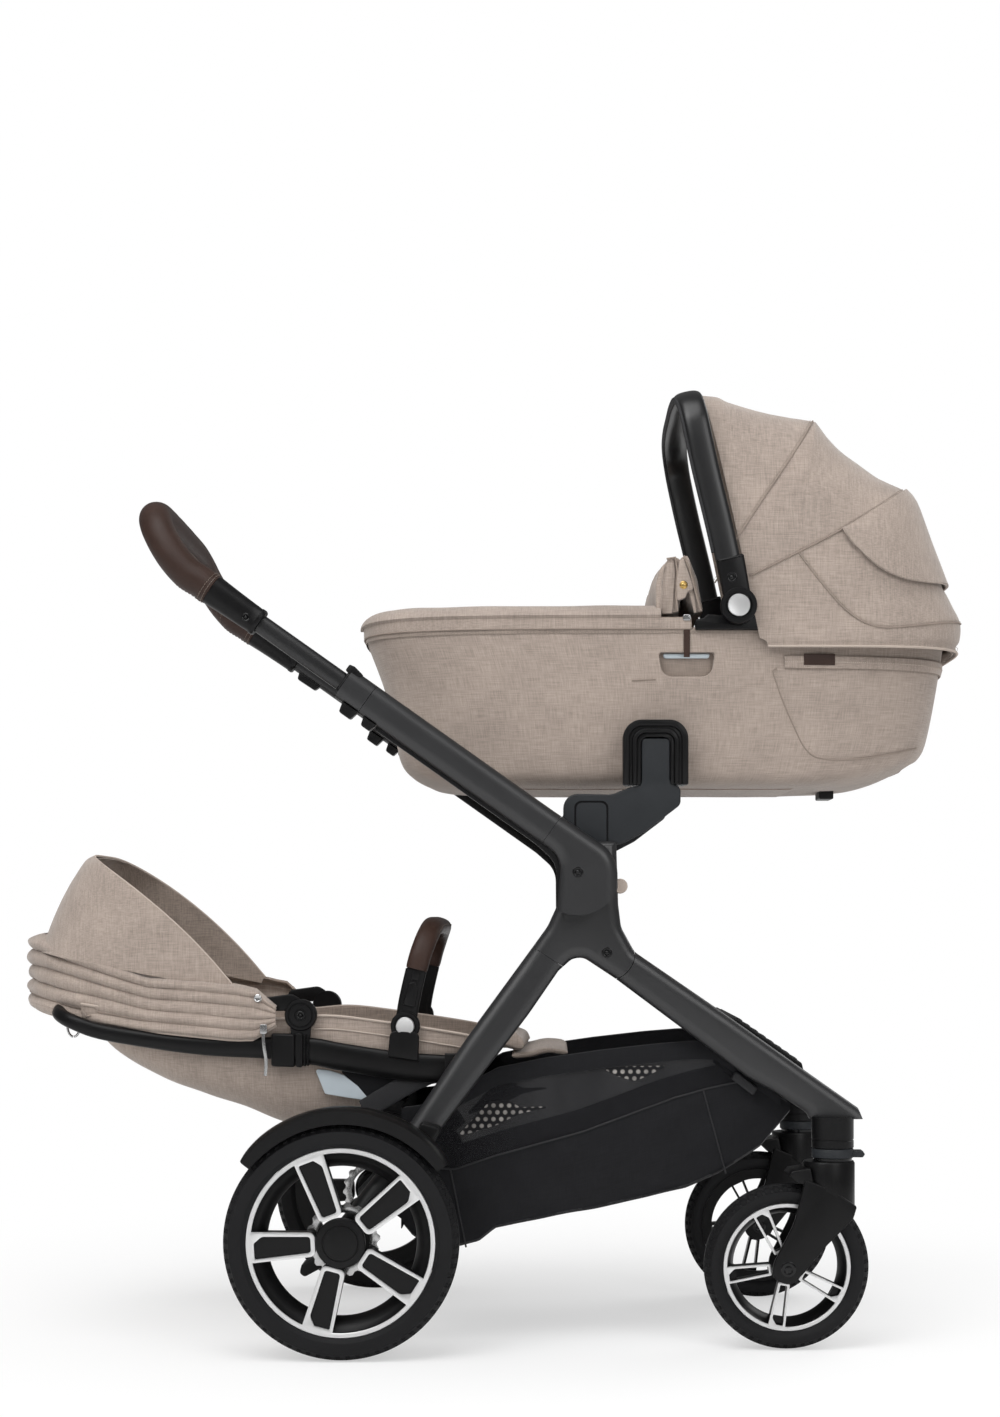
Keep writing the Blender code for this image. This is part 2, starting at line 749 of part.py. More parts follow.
def build_chassis():
    """Fixed frame, hinged frames, wheels and their axles."""
    for tag, side in SIDES:
        build_hub(tag, side)
        build_rear_leg(tag, side)
        build_fender(tag, side)
        build_front_leg(tag, side)
        build_arm(tag, side)
        build_collar(tag, side)
        build_adaptor(tag, side)
        build_fork(tag, side)
        build_caster(tag, side)
        build_wheel(
            "rear", tag, side, REAR_CENTRE, REAR_Y, REAR_R, REAR_RIM_R, REAR_WELL_R, 31.0,
            AXLE_R + BORE_GAP, (12.0, 18.0), 39,
        )
        build_wheel(
            "front", tag, side, FRONT_CENTRE, FRONT_Y, FRONT_R, FRONT_RIM_R, FRONT_WELL_R, 17.0,
            FRONT_PIN_R + BORE_GAP, (7.0, 12.0), 44,
        )
        mount = [(-66, 333), (-32, 333), (-32, 371), (-66, 371)]
        leg_face = HUB_IN + splay(371) - 0.5
        add(
            f"seat_mount_{tag}",
            sided(prism(mount, RAIL_Y + RAIL_HALF + 0.4, leg_face, 1.5), side),
            black_plastic(),
        )
    add("hub_cross_tube", rod(HINGE_LEG, CROSS_R, -HUB_OUT + 1, HUB_OUT - 1, 20), frame_tube())
    axle = rod(REAR_CENTRE, AXLE_R, -REAR_Y - 17, REAR_Y + 17, 16)
    rear_axle = add("rear_axle", axle, frame_tube())
    combine(rear_axle, rod(REAR_CENTRE, 11.0, -218, 218, 20), "UNION")
    pivot = (HINGE_LEG[0], 0.0, HINGE_LEG[1])
    cross = rod((390, 317), 9.0, -HUB_IN + FIT_GAP, HUB_IN - FIT_GAP, 16)
    add("front_cross_tube", cross, frame_tube(), pivot)
    board = [(283, 427), (291, 433), (384, 365), (386, 354), (378, 346), (283, 415)]
    add(
        "footboard",
        prism(board, -HUB_IN + FIT_GAP, HUB_IN - FIT_GAP, 2.0),
        black_plastic(),
        pivot,
    )
    build_pedal()
    build_basket()


def build_pedal():
    """Brake pedal that turns on the rear axle."""
    ring = lathe([(11.4, -22), (18, -22), (18, 22), (11.4, 22)], REAR_CENTRE, 24)
    pedal = add("brake_pedal", ring, black_plastic())
    bar = [(-199, 131), (-206, 137), (-238, 92), (-266, 76), (-268, 66), (-262, 62), (-232, 76)]
    combine(pedal, prism(bar, -20, 20, 2.0), "UNION")
    combine(pedal, rod(REAR_CENTRE, 11.4, -30, 30, 24), "DIFFERENCE")
    move_origin(pedal, (REAR_CENTRE[0], 0.0, REAR_CENTRE[1]))


def build_basket():
    """Open fabric basket slung between the frames."""
    outer = [
        (-124, 298),
        (-62, 316),
        (1, 350),
        (130, 372),
        (240, 382),
        (262, 374),
        (310, 338),
        (352, 303),
        (366, 284),
        (300, 225),
        (250, 202),
        (110, 172),
        (-3, 145),
        (-44, 127),
        (-70, 122),
        (-96, 126),
        (-112, 142),
    ]
    basket = add("basket", prism(outer, -165, 165, 10.0, 2), charcoal_mesh())
    inner = [
        (-119.5, 460),
        (-119.5, 290),
        (-108, 145),
        (-94, 130),
        (-70, 126.5),
        (-45, 131.5),
        (-4, 149.5),
        (109, 176.5),
        (248, 206.5),
        (297, 229),
        (359, 284),
        (352, 296),
        (352, 460),
    ]
    combine(basket, prism(inner, -161, 161, 8.0, 2), "DIFFERENCE")
    front_tab = [(300, 338), (328, 318), (332, 326), (304, 346)]
    rear_tab = [(-84, 262), (-62, 286), (-66, 296), (-92, 268)]
    for _tag, side in SIDES:
        combine(basket, sided(prism(front_tab, 162.5, HUB_IN - FIT_GAP), side), "UNION")
        reach = HUB_IN + splay(294.0) - 0.6
        combine(basket, sided(prism(rear_tab, 162.5, reach), side), "UNION")


def cot_lift(x):
    """Upward sweep of the carrycot floor toward both ends."""
    front = max(0.0, (-20.0 - x) / 90.0)
    back = max(0.0, (x - 380.0) / 150.0)
    return 9.0 * front**2 + 20.0 * back**2


def build_carrycot():
    """Tub, mattress, base, apron, carry arch, canopy and release buttons."""
    rise = 704.0
    outer = [
        plan_ring(-60, 430, TUB_FLOOR_HALF - 30, rise),
        plan_ring(-96, 520, TUB_FLOOR_HALF - 14, rise + 1, lift=cot_lift),
        plan_ring(-108, 540, TUB_FLOOR_HALF - 3, rise + 12, lift=cot_lift),
        plan_ring(-122, 548, TUB_FLOOR_HALF, rise + 48),
        plan_ring(-148, 564, (TUB_HALF + TUB_FLOOR_HALF) / 2 + 3, rise + 140),
        plan_ring(-168, 572, TUB_HALF, 911.0),
    ]
    w = TUB_WALL
    inner = [
        plan_ring(-168 + w, 572 - w, TUB_HALF - w, 911.0),
        plan_ring(-148 + w, 564 - w, (TUB_HALF + TUB_FLOOR_HALF) / 2 + 3 - w, rise + 140),
        plan_ring(-122 + w, 548 - w, TUB_FLOOR_HALF - w, rise + 48),
        plan_ring(-104 + w, 536 - w, TUB_FLOOR_HALF - w - 4, rise + 32),
    ]
    tub = add("carrycot_tub", loft(outer + inner), taupe())
    px, pz = COT_PIVOT
    post_outline = [(px - 14, 884), (px + 14, 884)] + ring_points(COT_PIVOT, 14.0, 9, 0, 180)
    for _tag, side in SIDES:
        ear = prism(post_outline, TUB_HALF - TUB_WALL + 1.5, ARCH_IN - FIT_GAP)
        combine(tub, sided(ear, side), "UNION")
    mattress = [
        plan_ring(-84, 516, TUB_FLOOR_HALF - w - 12, rise + 32.6),
        plan_ring(-96, 526, TUB_FLOOR_HALF - w - 6, rise + 37),
        plan_ring(-100, 528, TUB_FLOOR_HALF - w - 4, rise + 56),
        plan_ring(-92, 520, TUB_FLOOR_HALF - w - 12, rise + 62),
    ]
    add("carrycot_mattress", loft(mattress), cream())
    base = [(-20, 703.4), (-16, 699), (385, 699), (395, 703.4)]
    base_plate = add("carrycot_base", prism(base, -118, 118, 1.0), black_plastic())
    for x0 in (-8, 366):
        for y0 in (-112, 84):
            foot = [(x0, 700), (x0 + 3, 692), (x0 + 14, 692), (x0 + 17, 700)]
            combine(base_plate, prism(foot, y0, y0 + 28), "UNION")
    for tag, side in SIDES:
        build_receiver(tag, side)
    build_apron()
    build_arch()


def tub_half(x):
    """Half width of the tub rim at x."""
    middle, a = 202.0, 370.0
    share = min(abs(x - middle) / a, 1.0)
    return TUB_HALF * (1 - share**3.6) ** (1 / 3.6)


def build_apron():
    """Padded foot cover with an upright wind flap."""
    profile = [
        (-171, 917),
        (-172, 926),
        (-166, 933),
        (-150, 938),
        (-90, 941),
        (60, 942),
        (181, 941),
        (196, 944),
        (203, 970),
        (208, 990),
        (219, 1001),
        (232, 1003),
        (240, 994),
        (247, 965),
        (250, 930),
        (248, 912),
        (40, 911.4),
        (-150, 911.4),
        (-165, 912),
    ]
    steps = 10
    rings = []
    for k in range(steps + 1):
        t = -1 + 2 * k / steps
        share = math.sin(t * math.pi / 2)
        ring = []
        for x, z in profile:
            inside = min(max(x, -164.0), 560.0)
            half = tub_half(inside) + 2.0
            edge = 1 - abs(share) ** 6
            middle_z = 926.0
            flap = 0.35 if x > 185 else 1.0
            drop = (z - middle_z) * (1 - edge) * 0.45 * flap
            ring.append((x, share * half, z - drop))
        rings.append(ring)
    add("carrycot_apron", loft(rings), taupe())


def build_arch():
    """Carry handle arch, canopy shell and the two release buttons."""
    px, pz = COT_PIVOT
    pivot = (px, 0.0, pz)
    y = (ARCH_IN + ARCH_OUT) / 2
    lean = [(306, 938), (298, 975), (283, 1040), (266, 1110), (255, 1160)]
    near = [(x, -y, z) for x, z in lean]
    near += [(250, -y + 6, 1185), (245, -y + 26, 1207), (243, -y + 62, 1216), (242, -60, 1218), (242, 0, 1218)]
    path = smooth_path(near, 1)
    path += [Vector((p.x, -p.y, p.z)) for p in reversed(path[:-1])]
    section = oval(16.0, (ARCH_OUT - ARCH_IN) / 2, 10, 3.2)
    arch = add("carry_arch", sweep(path, section, (0.97, 0.0, 0.24)), black_plastic(), pivot)
    well = ARCH_OUT - 3.0
    for _tag, side in SIDES:
        combine(arch, sided(rod(COT_PIVOT, 22.5, ARCH_IN, ARCH_OUT + 1, 28), side), "UNION")
        recess = rod(COT_PIVOT, BUTTON_R + 0.5, well, ARCH_OUT + 5, 24)
        combine(arch, sided(recess, side), "DIFFERENCE")
    outline = [
        (268, 1214),
        (325, 1200),
        (378, 1190),
        (409, 1181),
        (424, 1160),
        (446, 1139),
        (486, 1109),
        (520, 1093),
        (535, 1086),
        (545, 1058),
        (556, 1018),
        (570, 969),
        (592, 926),
        (591, 896),
        (583, 888),
    ]
    hood = dome((336, 890), outline, CANOPY_HALF, 5.0)
    add("carrycot_canopy", hood, taupe(), pivot)
    for tag, side in SIDES:
        seat = well + BUTTON_TRAVEL + 0.3
        button = sided(rod(COT_PIVOT, BUTTON_R, seat, seat + 4.7, 24, 0.8), side)
        add(f"arch_button_{tag}", button, silver(), (px, side * seat, pz))


def build_seat():
    """Sibling seat: shell, rails, backrest, canopy, bumper bar and footrest."""
    top = [(-530, 433), (-469, 424), (-387, 417), (-281, 414), (-220, 418), (-160, 412), (-60, 397), (-14, 388)]
    floor = [(-14, 352), (-60, 343), (-110, 330), (-165, 298), (-220, 274), (-281, 279), (-387, 327), (-469, 367), (-530, 396)]
    shell = add("seat_shell", prism(top + floor, -SHELL_HALF, SHELL_HALF, 14.0, 2), taupe())
    room = [
        (-524, 500),
        (-18, 500),
        (-19, 356),
        (-61, 348.5),
        (-112, 335.5),
        (-167, 303.5),
        (-220, 280),
        (-280, 285),
        (-385, 332.5),
        (-468, 372.5),
        (-524, 402),
    ]
    combine(shell, prism(room, -SHELL_HALF + 6, SHELL_HALF - 6, 10.0, 2), "DIFFERENCE")
    rail = [
        (-30, -RAIL_Y, 349),
        (-130, -RAIL_Y, 355),
        (-228, -RAIL_Y, 371),
        (-240, -RAIL_Y, 374),
        (-276, -RAIL_Y, 376),
        (-288, -RAIL_Y, 377),
        (-370, -RAIL_Y, 378),
        (-505, -RAIL_Y, 398),
        (-538, -RAIL_Y, 411),
        (-558, -RAIL_Y + 14, 419),
        (-567, -RAIL_Y + 44, 424),
        (-570, -80, 426),
        (-570, 0, 426),
    ]
    points = [Vector(p) for p in rail]
    points += [Vector((p.x, -p.y, p.z)) for p in reversed(points[:-1])]
    tall = [18, 18, 18, 22, 22, 12, 12, 11, 10, 9, 9, 9, 9]
    wide = [7, 7, 7, 7, 7, 7, 7, 7, 7, 8, 9, 9, 9]
    tall += list(reversed(tall[:-1]))
    wide += list(reversed(wide[:-1]))
    scales = list(zip(tall, wide))
    bars = sweep(points, oval(1, 1, 10, 3.0), (0.05, 0.0, 1.0), scales)
    seat_rail = add("seat_rail", bars, black_plastic())
    cheek = [(-266, 372), (-234, 372)] + ring_points(SEAT_PIVOT, 18.0, 7, -10, 190)
    cradle = [(-135, 360), (-101, 358)] + ring_points(BUMPER_PIVOT, 17.0, 7, -5, 185)
    for _tag, side in SIDES:
        ear = prism(cheek, SEAT_CANOPY_HALF + FIT_GAP, RAIL_Y + RAIL_HALF)
        combine(seat_rail, sided(ear, side), "UNION")
        fork_plate = prism(cradle, BUMPER_OUT + FIT_GAP, BUMPER_OUT + 6.5)
        combine(seat_rail, sided(fork_plate, side), "UNION")
        recess = rod(BUMPER_PIVOT, 12.0, BUMPER_OUT + 3.2, BUMPER_OUT + 12, 16)
        combine(seat_rail, sided(recess, side), "DIFFERENCE")
    build_seat_pads()
    px, pz = SEAT_PIVOT
    hood_outline = [
        (-505, 622),
        (-524, 610),
        (-548, 574),
        (-571, 530),
        (-588, 496),
        (-592, 464),
        (-584, 441),
    ]
    hood = dome((px, pz + 1), hood_outline, SEAT_CANOPY_HALF, 5.0, 2.9, 13, 0.05)
    canopy = add("seat_canopy", hood, taupe(), (px, 0.0, pz))
    for _tag, side in SIDES:
        disc = rod(SEAT_PIVOT, 18.0, SEAT_CANOPY_HALF - 4.5, SEAT_CANOPY_HALF, 20)
        combine(canopy, sided(disc, side), "UNION")
    build_bumper()


def build_seat_pads():
    """Reclining backrest and the leg rest, both slabs inside the shell."""
    back = [
        (-205, 297),
        (-211, 288),
        (-222, 281.2),
        (-281, 286.2),
        (-386, 333.7),
        (-468, 373.2),
        (-512, 396.5),
        (-514, 411),
        (-464, 391),
        (-380, 352),
        (-280, 305),
    ]
    add(
        "seat_backrest",
        prism(back, -141, 141, 5.0, 2),
        cream(),
        (-214.0, 0.0, 296.0),
    )
    hinge = (-5.5, 372.0)
    rest = ring_points(hinge, 8.0, 7, 110, 270)
    rest += [(40, 365), (92, 366), (90, 374), (44, 388), (26, 403), (8, 402), (2, 390)]
    add("leg_rest", prism(rest, -132, 132, 3.0), cream(), (hinge[0], 0.0, hinge[1]))


def build_bumper():
    """Leather bumper bar across the sibling seat with two side buttons."""
    px, pz = BUMPER_PIVOT
    y = (BUMPER_IN + BUMPER_OUT) / 2
    near = [
        (-118, -y, 398),
        (-116, -y, 412),
        (-111, -y, 445),
        (-103, -y, 482),
        (-95, -y + 5, 506),
        (-88, -y + 22, 522),
        (-85, -y + 52, 530),
        (-84, -60, 532),
        (-84, 0, 532),
    ]
    path = smooth_path(near, 1)
    path += [Vector((p.x, -p.y, p.z)) for p in reversed(path[:-1])]
    count = len(path)
    scales = []
    for i in range(count):
        foot = min(i, count - 1 - i)
        scales.append((13.5, 3.8) if foot < 3 else (13.5, 10.0))
    bar = sweep(path, oval(1, 1, 10), (0.97, 0.0, -0.2), scales)
    bumper = add("bumper_bar", bar, leather(), (px, 0.0, pz))
    for tag, side in SIDES:
        disc = rod(BUMPER_PIVOT, 16.5, BUMPER_IN, BUMPER_OUT, 20)
        combine(bumper, sided(disc, side), "UNION")
        seat = BUMPER_OUT + 3.2 + BUTTON_TRAVEL + 0.3
        button = sided(rod(BUMPER_PIVOT, 11.5, seat, seat + 4.2, 20, 0.8), side)
        add(f"bumper_button_{tag}", button, silver(), (px, side * seat, pz))


build_chassis()
build_handle()
build_carrycot()
build_seat()
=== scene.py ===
"""Convertible stroller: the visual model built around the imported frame.

Lengths are millimetres unless a name says metres. +X is the front of the stroller,
-Y its near side and +Z up, as in the frame.
"""

from __future__ import annotations

import logging
import math
from collections.abc import Callable, Sequence
from dataclasses import dataclass, field
from enum import Enum

import bmesh
import bpy
from mathutils import Matrix, Vector, noise

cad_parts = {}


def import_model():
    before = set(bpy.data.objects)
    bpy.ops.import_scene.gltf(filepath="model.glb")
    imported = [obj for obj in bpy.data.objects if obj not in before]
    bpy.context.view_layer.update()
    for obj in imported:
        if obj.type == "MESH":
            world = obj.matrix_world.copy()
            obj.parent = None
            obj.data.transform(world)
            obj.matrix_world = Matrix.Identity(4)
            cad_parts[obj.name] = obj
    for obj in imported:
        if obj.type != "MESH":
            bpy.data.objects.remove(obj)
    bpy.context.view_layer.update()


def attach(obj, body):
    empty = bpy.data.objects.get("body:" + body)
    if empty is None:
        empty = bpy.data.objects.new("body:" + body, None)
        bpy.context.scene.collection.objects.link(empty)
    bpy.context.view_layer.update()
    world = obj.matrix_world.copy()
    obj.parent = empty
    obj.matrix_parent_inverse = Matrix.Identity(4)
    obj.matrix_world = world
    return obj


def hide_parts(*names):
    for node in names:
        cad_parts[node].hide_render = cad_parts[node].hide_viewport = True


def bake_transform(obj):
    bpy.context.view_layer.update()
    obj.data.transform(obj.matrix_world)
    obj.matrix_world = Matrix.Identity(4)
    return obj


log = logging.getLogger("stroller")

MM = 0.001
NORTH = Vector((0.0, 0.0, 1.0))
ACROSS = Vector((0.0, 1.0, 0.0))
WEAVE_MAP = "weave"
WHITE = (1.0, 1.0, 1.0, 1.0)
THROUGH = 260.0

Flat = tuple[float, float]
Corner = tuple[float, float, float]
Colour = tuple[float, float, float]
Mesh = bmesh.types.BMesh


class Side(Enum):
    """The two sides of the stroller; the value is the sign of Y."""

    NEAR = -1
    FAR = 1

    @property
    def tag(self) -> str:
        """Name ending of this side's pieces."""
        return self.name.lower()


class Pattern(Enum):
    """Small-scale structure that a finish shows."""

    MELANGE = "melange"
    GRAIN = "grain"
    SATIN = "satin"
    HIDE = "hide"
    RUBBER = "rubber"
    TURNED = "turned"
    NET = "net"
    COMB = "comb"
    TAPE = "tape"


class Space(Enum):
    """Coordinates that a pattern follows."""

    SURFACE = "surface"
    OBJECT = "object"


class Nodes:
    """Builds a node tree with short calls."""

    def __init__(self, owner: bpy.types.ID) -> None:
        """Open the node tree of a material or a world."""
        owner.use_nodes = True
        self.tree = owner.node_tree

    def node(self, kind: str, settings: dict | None = None, **inputs: object) -> bpy.types.Node:
        """Add a node.

        Args:
            kind: Blender's node type.
            settings: properties of the node itself.
            inputs: values or sockets for its inputs, by name.

        Returns:
            The new node.
        """
        made = self.tree.nodes.new(kind)
        for key, value in (settings or {}).items():
            setattr(made, key, value)
        for key, value in inputs.items():
            self.feed(made.inputs[key.replace("_", " ")], value)
        return made

    def feed(self, socket: bpy.types.NodeSocket, value: object) -> None:
        """Link a socket to another, or set its value."""
        if isinstance(value, bpy.types.NodeSocket):
            self.tree.links.new(value, socket)
        else:
            socket.default_value = value

    def chain(self, made: bpy.types.Node, *values: object) -> bpy.types.NodeSocket:
        """Feed a node's inputs in order and return its first output."""
        for socket, value in zip(made.inputs, values):
            self.feed(socket, value)
        return made.outputs[0]

    def math(self, operation: str, *values: object) -> bpy.types.NodeSocket:
        """Add a Math node and return its output."""
        return self.chain(self.node("ShaderNodeMath", {"operation": operation}), *values)

    def vector(self, operation: str, *values: object) -> bpy.types.Node:
        """Add a Vector Math node."""
        made = self.node("ShaderNodeVectorMath", {"operation": operation})
        self.chain(made, *values)
        return made


class Shader(Nodes):
    """Builds one material with short calls."""

    def __init__(self, name: str) -> None:
        """Start a material that has a Principled surface."""
        self.material = bpy.data.materials.new(name)
        super().__init__(self.material)
        self.surface = self.tree.nodes["Principled BSDF"]

    def weigh(self, a: object, share: float, b: object, other: float) -> bpy.types.NodeSocket:
        """Add two sockets, each multiplied by its share."""
        return self.math("ADD", self.math("MULTIPLY", a, share), self.math("MULTIPLY", b, other))

    def blend(self, factor: object, a: Colour, b: Colour) -> bpy.types.NodeSocket:
        """Mix two colours and return the result's socket."""
        made = self.tree.nodes.new("ShaderNodeMix")
        made.data_type = "RGBA"
        self.feed(made.inputs[0], factor)
        self.feed(made.inputs[6], (*a, 1.0) if isinstance(a, tuple) else a)
        self.feed(made.inputs[7], (*b, 1.0) if isinstance(b, tuple) else b)
        return made.outputs[2]

    def coordinates(self, space: Space) -> bpy.types.NodeSocket:
        """Return the vector that patterns follow, in metres."""
        if space is Space.SURFACE:
            return self.node("ShaderNodeUVMap", {"uv_map": WEAVE_MAP}).outputs[0]
        return self.node("ShaderNodeTexCoord").outputs["Object"]

    def noise(self, where: object, stretch: Colour, detail: float = 2.0) -> bpy.types.NodeSocket:
        """Noise whose features are 1/stretch metres long on each axis."""
        placed = self.node("ShaderNodeMapping", Vector=where, Scale=stretch)
        made = self.node("ShaderNodeTexNoise", Vector=placed.outputs[0], Scale=1.0, Detail=detail)
        return made.outputs["Fac"]

    def cells(self, where: object, per_metre: float, feature: str = "F1") -> bpy.types.NodeSocket:
        """Voronoi distance with so many cells in a metre."""
        made = self.node("ShaderNodeTexVoronoi", {"feature": feature}, Vector=where, Scale=per_metre)
        return made.outputs["Distance"]

    def waves(self, where: object, pitch: float, direction: str) -> bpy.types.NodeSocket:
        """Sine bands, pitch in metres, along X, Y or Z."""
        settings = {"wave_type": "BANDS", "bands_direction": direction}
        scale = 2 * math.pi / (20.0 * pitch)
        made = self.node("ShaderNodeTexWave", settings, Vector=where, Scale=scale, Distortion=0.6)
        return made.outputs["Fac"]

    def bump(self, height: bpy.types.NodeSocket, depth: float) -> None:
        """Raise the surface by a height from 0 to 1, depth in metres."""
        made = self.node("ShaderNodeBump", Height=height, Distance=depth, Strength=1.0)
        self.feed(self.surface.inputs["Normal"], made.outputs[0])


@dataclass(frozen=True)
class Finish:
    """One finish of the stroller: its slot in the record, colour, gloss and small-scale structure."""

    name: str
    slot: str
    pattern: Pattern
    colour: Colour
    roughness: float
    metallic: float = 0.0
    pitch: float = 1.0
    depth: float = 0.1
    contrast: float = 0.2
    sheen: float = 0.0
    coat: float = 0.0
    specular: float = 0.5
    space: Space = Space.OBJECT
    cell: Colour = (0.5, 0.47, 0.44)

    def shade(self, gain: float) -> Colour:
        """The finish's colour made lighter or darker."""
        return tuple(min(1.0, c * gain) for c in self.colour)

    def material(self) -> bpy.types.Material:
        """Return the finish's material, made once."""
        found = bpy.data.materials.get(self.name)
        if found:
            return found
        shader = Shader(self.name)
        surface = shader.surface.inputs
        surface["Metallic"].default_value = self.metallic
        surface["Sheen Weight"].default_value = self.sheen
        surface["Sheen Roughness"].default_value = 0.45
        surface["Coat Weight"].default_value = self.coat
        surface["Coat Roughness"].default_value = 0.25
        surface["Specular IOR Level"].default_value = self.specular
        where = shader.coordinates(self.space)
        makers = {Pattern.MELANGE: self.weave_melange, Pattern.GRAIN: self.mould_grain,
                  Pattern.SATIN: self.coat_satin, Pattern.HIDE: self.tan_hide,
                  Pattern.RUBBER: self.mould_rubber, Pattern.TURNED: self.turn_metal,
                  Pattern.NET: self.knit_net, Pattern.COMB: self.knit_comb, Pattern.TAPE: self.weave_tape,}
        makers[self.pattern](shader, where)
        return shader.material

    def gloss(self, shader: Shader, mask: object, spread: float) -> None:
        """Vary the roughness by a mask from 0 to 1."""
        varied = shader.math("MULTIPLY_ADD", mask, spread, self.roughness - spread / 2)
        shader.feed(shader.surface.inputs["Roughness"], varied)

    def paint(self, shader: Shader, mask: object) -> None:
        """Vary the colour by a mask from 0, darker, to 1, lighter."""
        low, high = self.shade(1 - self.contrast), self.shade(1 + self.contrast)
        shader.feed(shader.surface.inputs["Base Color"], shader.blend(mask, low, high))

    def weave_melange(self, shader: Shader, where: object) -> None:
        """Heathered plain weave with slubs along both threads."""
        warp = shader.noise(where, (42.0, 780.0, 780.0), 3.0)
        weft = shader.noise(where, (820.0, 48.0, 60.0), 3.0)
        fleck = shader.noise(where, (1500.0, 1500.0, 1500.0), 1.0)
        cloud = shader.noise(where, (16.0, 16.0, 16.0), 2.0)
        slub = shader.weigh(warp, 0.9, weft, 0.9)
        fine = shader.weigh(fleck, 0.5, cloud, 0.5)
        total = shader.math("ADD", slub, fine)
        spread = shader.node("ShaderNodeMapRange", Value=total, From_Min=1.08, From_Max=1.72)
        self.paint(shader, spread.outputs[0])
        across = shader.waves(where, self.pitch * MM, "X")
        along = shader.waves(where, self.pitch * MM, "Z" if self.space is Space.OBJECT else "Y")
        threads = shader.math("MULTIPLY", across, along)
        raised = shader.weigh(threads, 0.5, slub, 0.5)
        shader.bump(raised, self.depth * MM)
        self.gloss(shader, fleck, 0.1)

    def mould_grain(self, shader: Shader, where: object) -> None:
        """Fine pitted grain of moulded plastic, worn a little paler at its edges."""
        pits = shader.cells(where, 1000.0 / self.pitch)
        cloud = shader.noise(where, (35.0, 35.0, 35.0), 3.0)
        edge = shader.node("ShaderNodeNewGeometry").outputs["Pointiness"]
        worn = shader.node("ShaderNodeMapRange", Value=edge, From_Min=0.52, From_Max=0.62)
        mask = shader.weigh(cloud, 0.7, worn.outputs[0], 0.5)
        self.paint(shader, mask)
        self.gloss(shader, cloud, 0.16)
        shader.bump(pits, self.depth * MM)

    def coat_satin(self, shader: Shader, where: object) -> None:
        """Fine powder coat with a faint cloud in its gloss."""
        speck = shader.noise(where, (2600.0, 2600.0, 2600.0), 1.0)
        cloud = shader.noise(where, (22.0, 22.0, 22.0), 3.0)
        self.paint(shader, shader.weigh(speck, 0.4, cloud, 0.6))
        self.gloss(shader, cloud, 0.1)
        shader.bump(speck, self.depth * MM)

    def tan_hide(self, shader: Shader, where: object) -> None:
        """Pebbled leather grain, paler where hands rub it."""
        pebble = shader.cells(where, 1000.0 / self.pitch, "DISTANCE_TO_EDGE")
        crease = shader.node("ShaderNodeMapRange", Value=pebble, From_Max=0.22)
        rub = shader.noise(where, (26.0, 26.0, 26.0), 4.0)
        pore = shader.noise(where, (1900.0, 1900.0, 1900.0), 2.0)
        rubbed = shader.math("ADD", rub, shader.math("MULTIPLY", crease.outputs[0], 0.35))
        self.paint(shader, shader.math("MULTIPLY", rubbed, 0.8))
        self.gloss(shader, rub, 0.2)
        height = shader.math("ADD", crease.outputs[0], shader.math("MULTIPLY", pore, 0.4))
        shader.bump(height, self.depth * MM)

    def mould_rubber(self, shader: Shader, where: object) -> None:
        """Matt rubber with dust clouds and a slight orange peel."""
        cloud = shader.noise(where, (24.0, 24.0, 24.0), 5.0)
        peel = shader.noise(where, (700.0, 700.0, 700.0), 2.0)
        self.paint(shader, cloud)
        self.gloss(shader, cloud, 0.14)
        shader.bump(peel, self.depth * MM)

    def turn_metal(self, shader: Shader, where: object) -> None:
        """Lightly brushed metal with a faint cloud."""
        brush = shader.noise(where, (2200.0, 120.0, 260.0), 2.0)
        cloud = shader.noise(where, (40.0, 40.0, 40.0), 2.0)
        self.paint(shader, shader.math("MULTIPLY", shader.math("ADD", brush, cloud), 0.5))
        self.gloss(shader, brush, 0.14)
        shader.bump(brush, self.depth * MM)

    def knit_net(self, shader: Shader, where: object) -> None:
        """Sheer knitted net: threads with small gaps between them."""
        across = shader.waves(where, self.pitch * MM, "X")
        along = shader.waves(where, self.pitch * MM, "Y")
        gap = shader.math("MULTIPLY", across, along)
        cloud = shader.noise(where, (18.0, 18.0, 18.0), 3.0)
        thin = shader.weigh(gap, 0.06, cloud, 0.22)
        cover = shader.math("SUBTRACT", 1.0, thin)
        self.paint(shader, cloud)
        self.gloss(shader, cloud, 0.1)
        shader.bump(shader.math("SUBTRACT", 1.0, gap), self.depth * MM)
        shader.feed(shader.surface.inputs["Alpha"], cover)

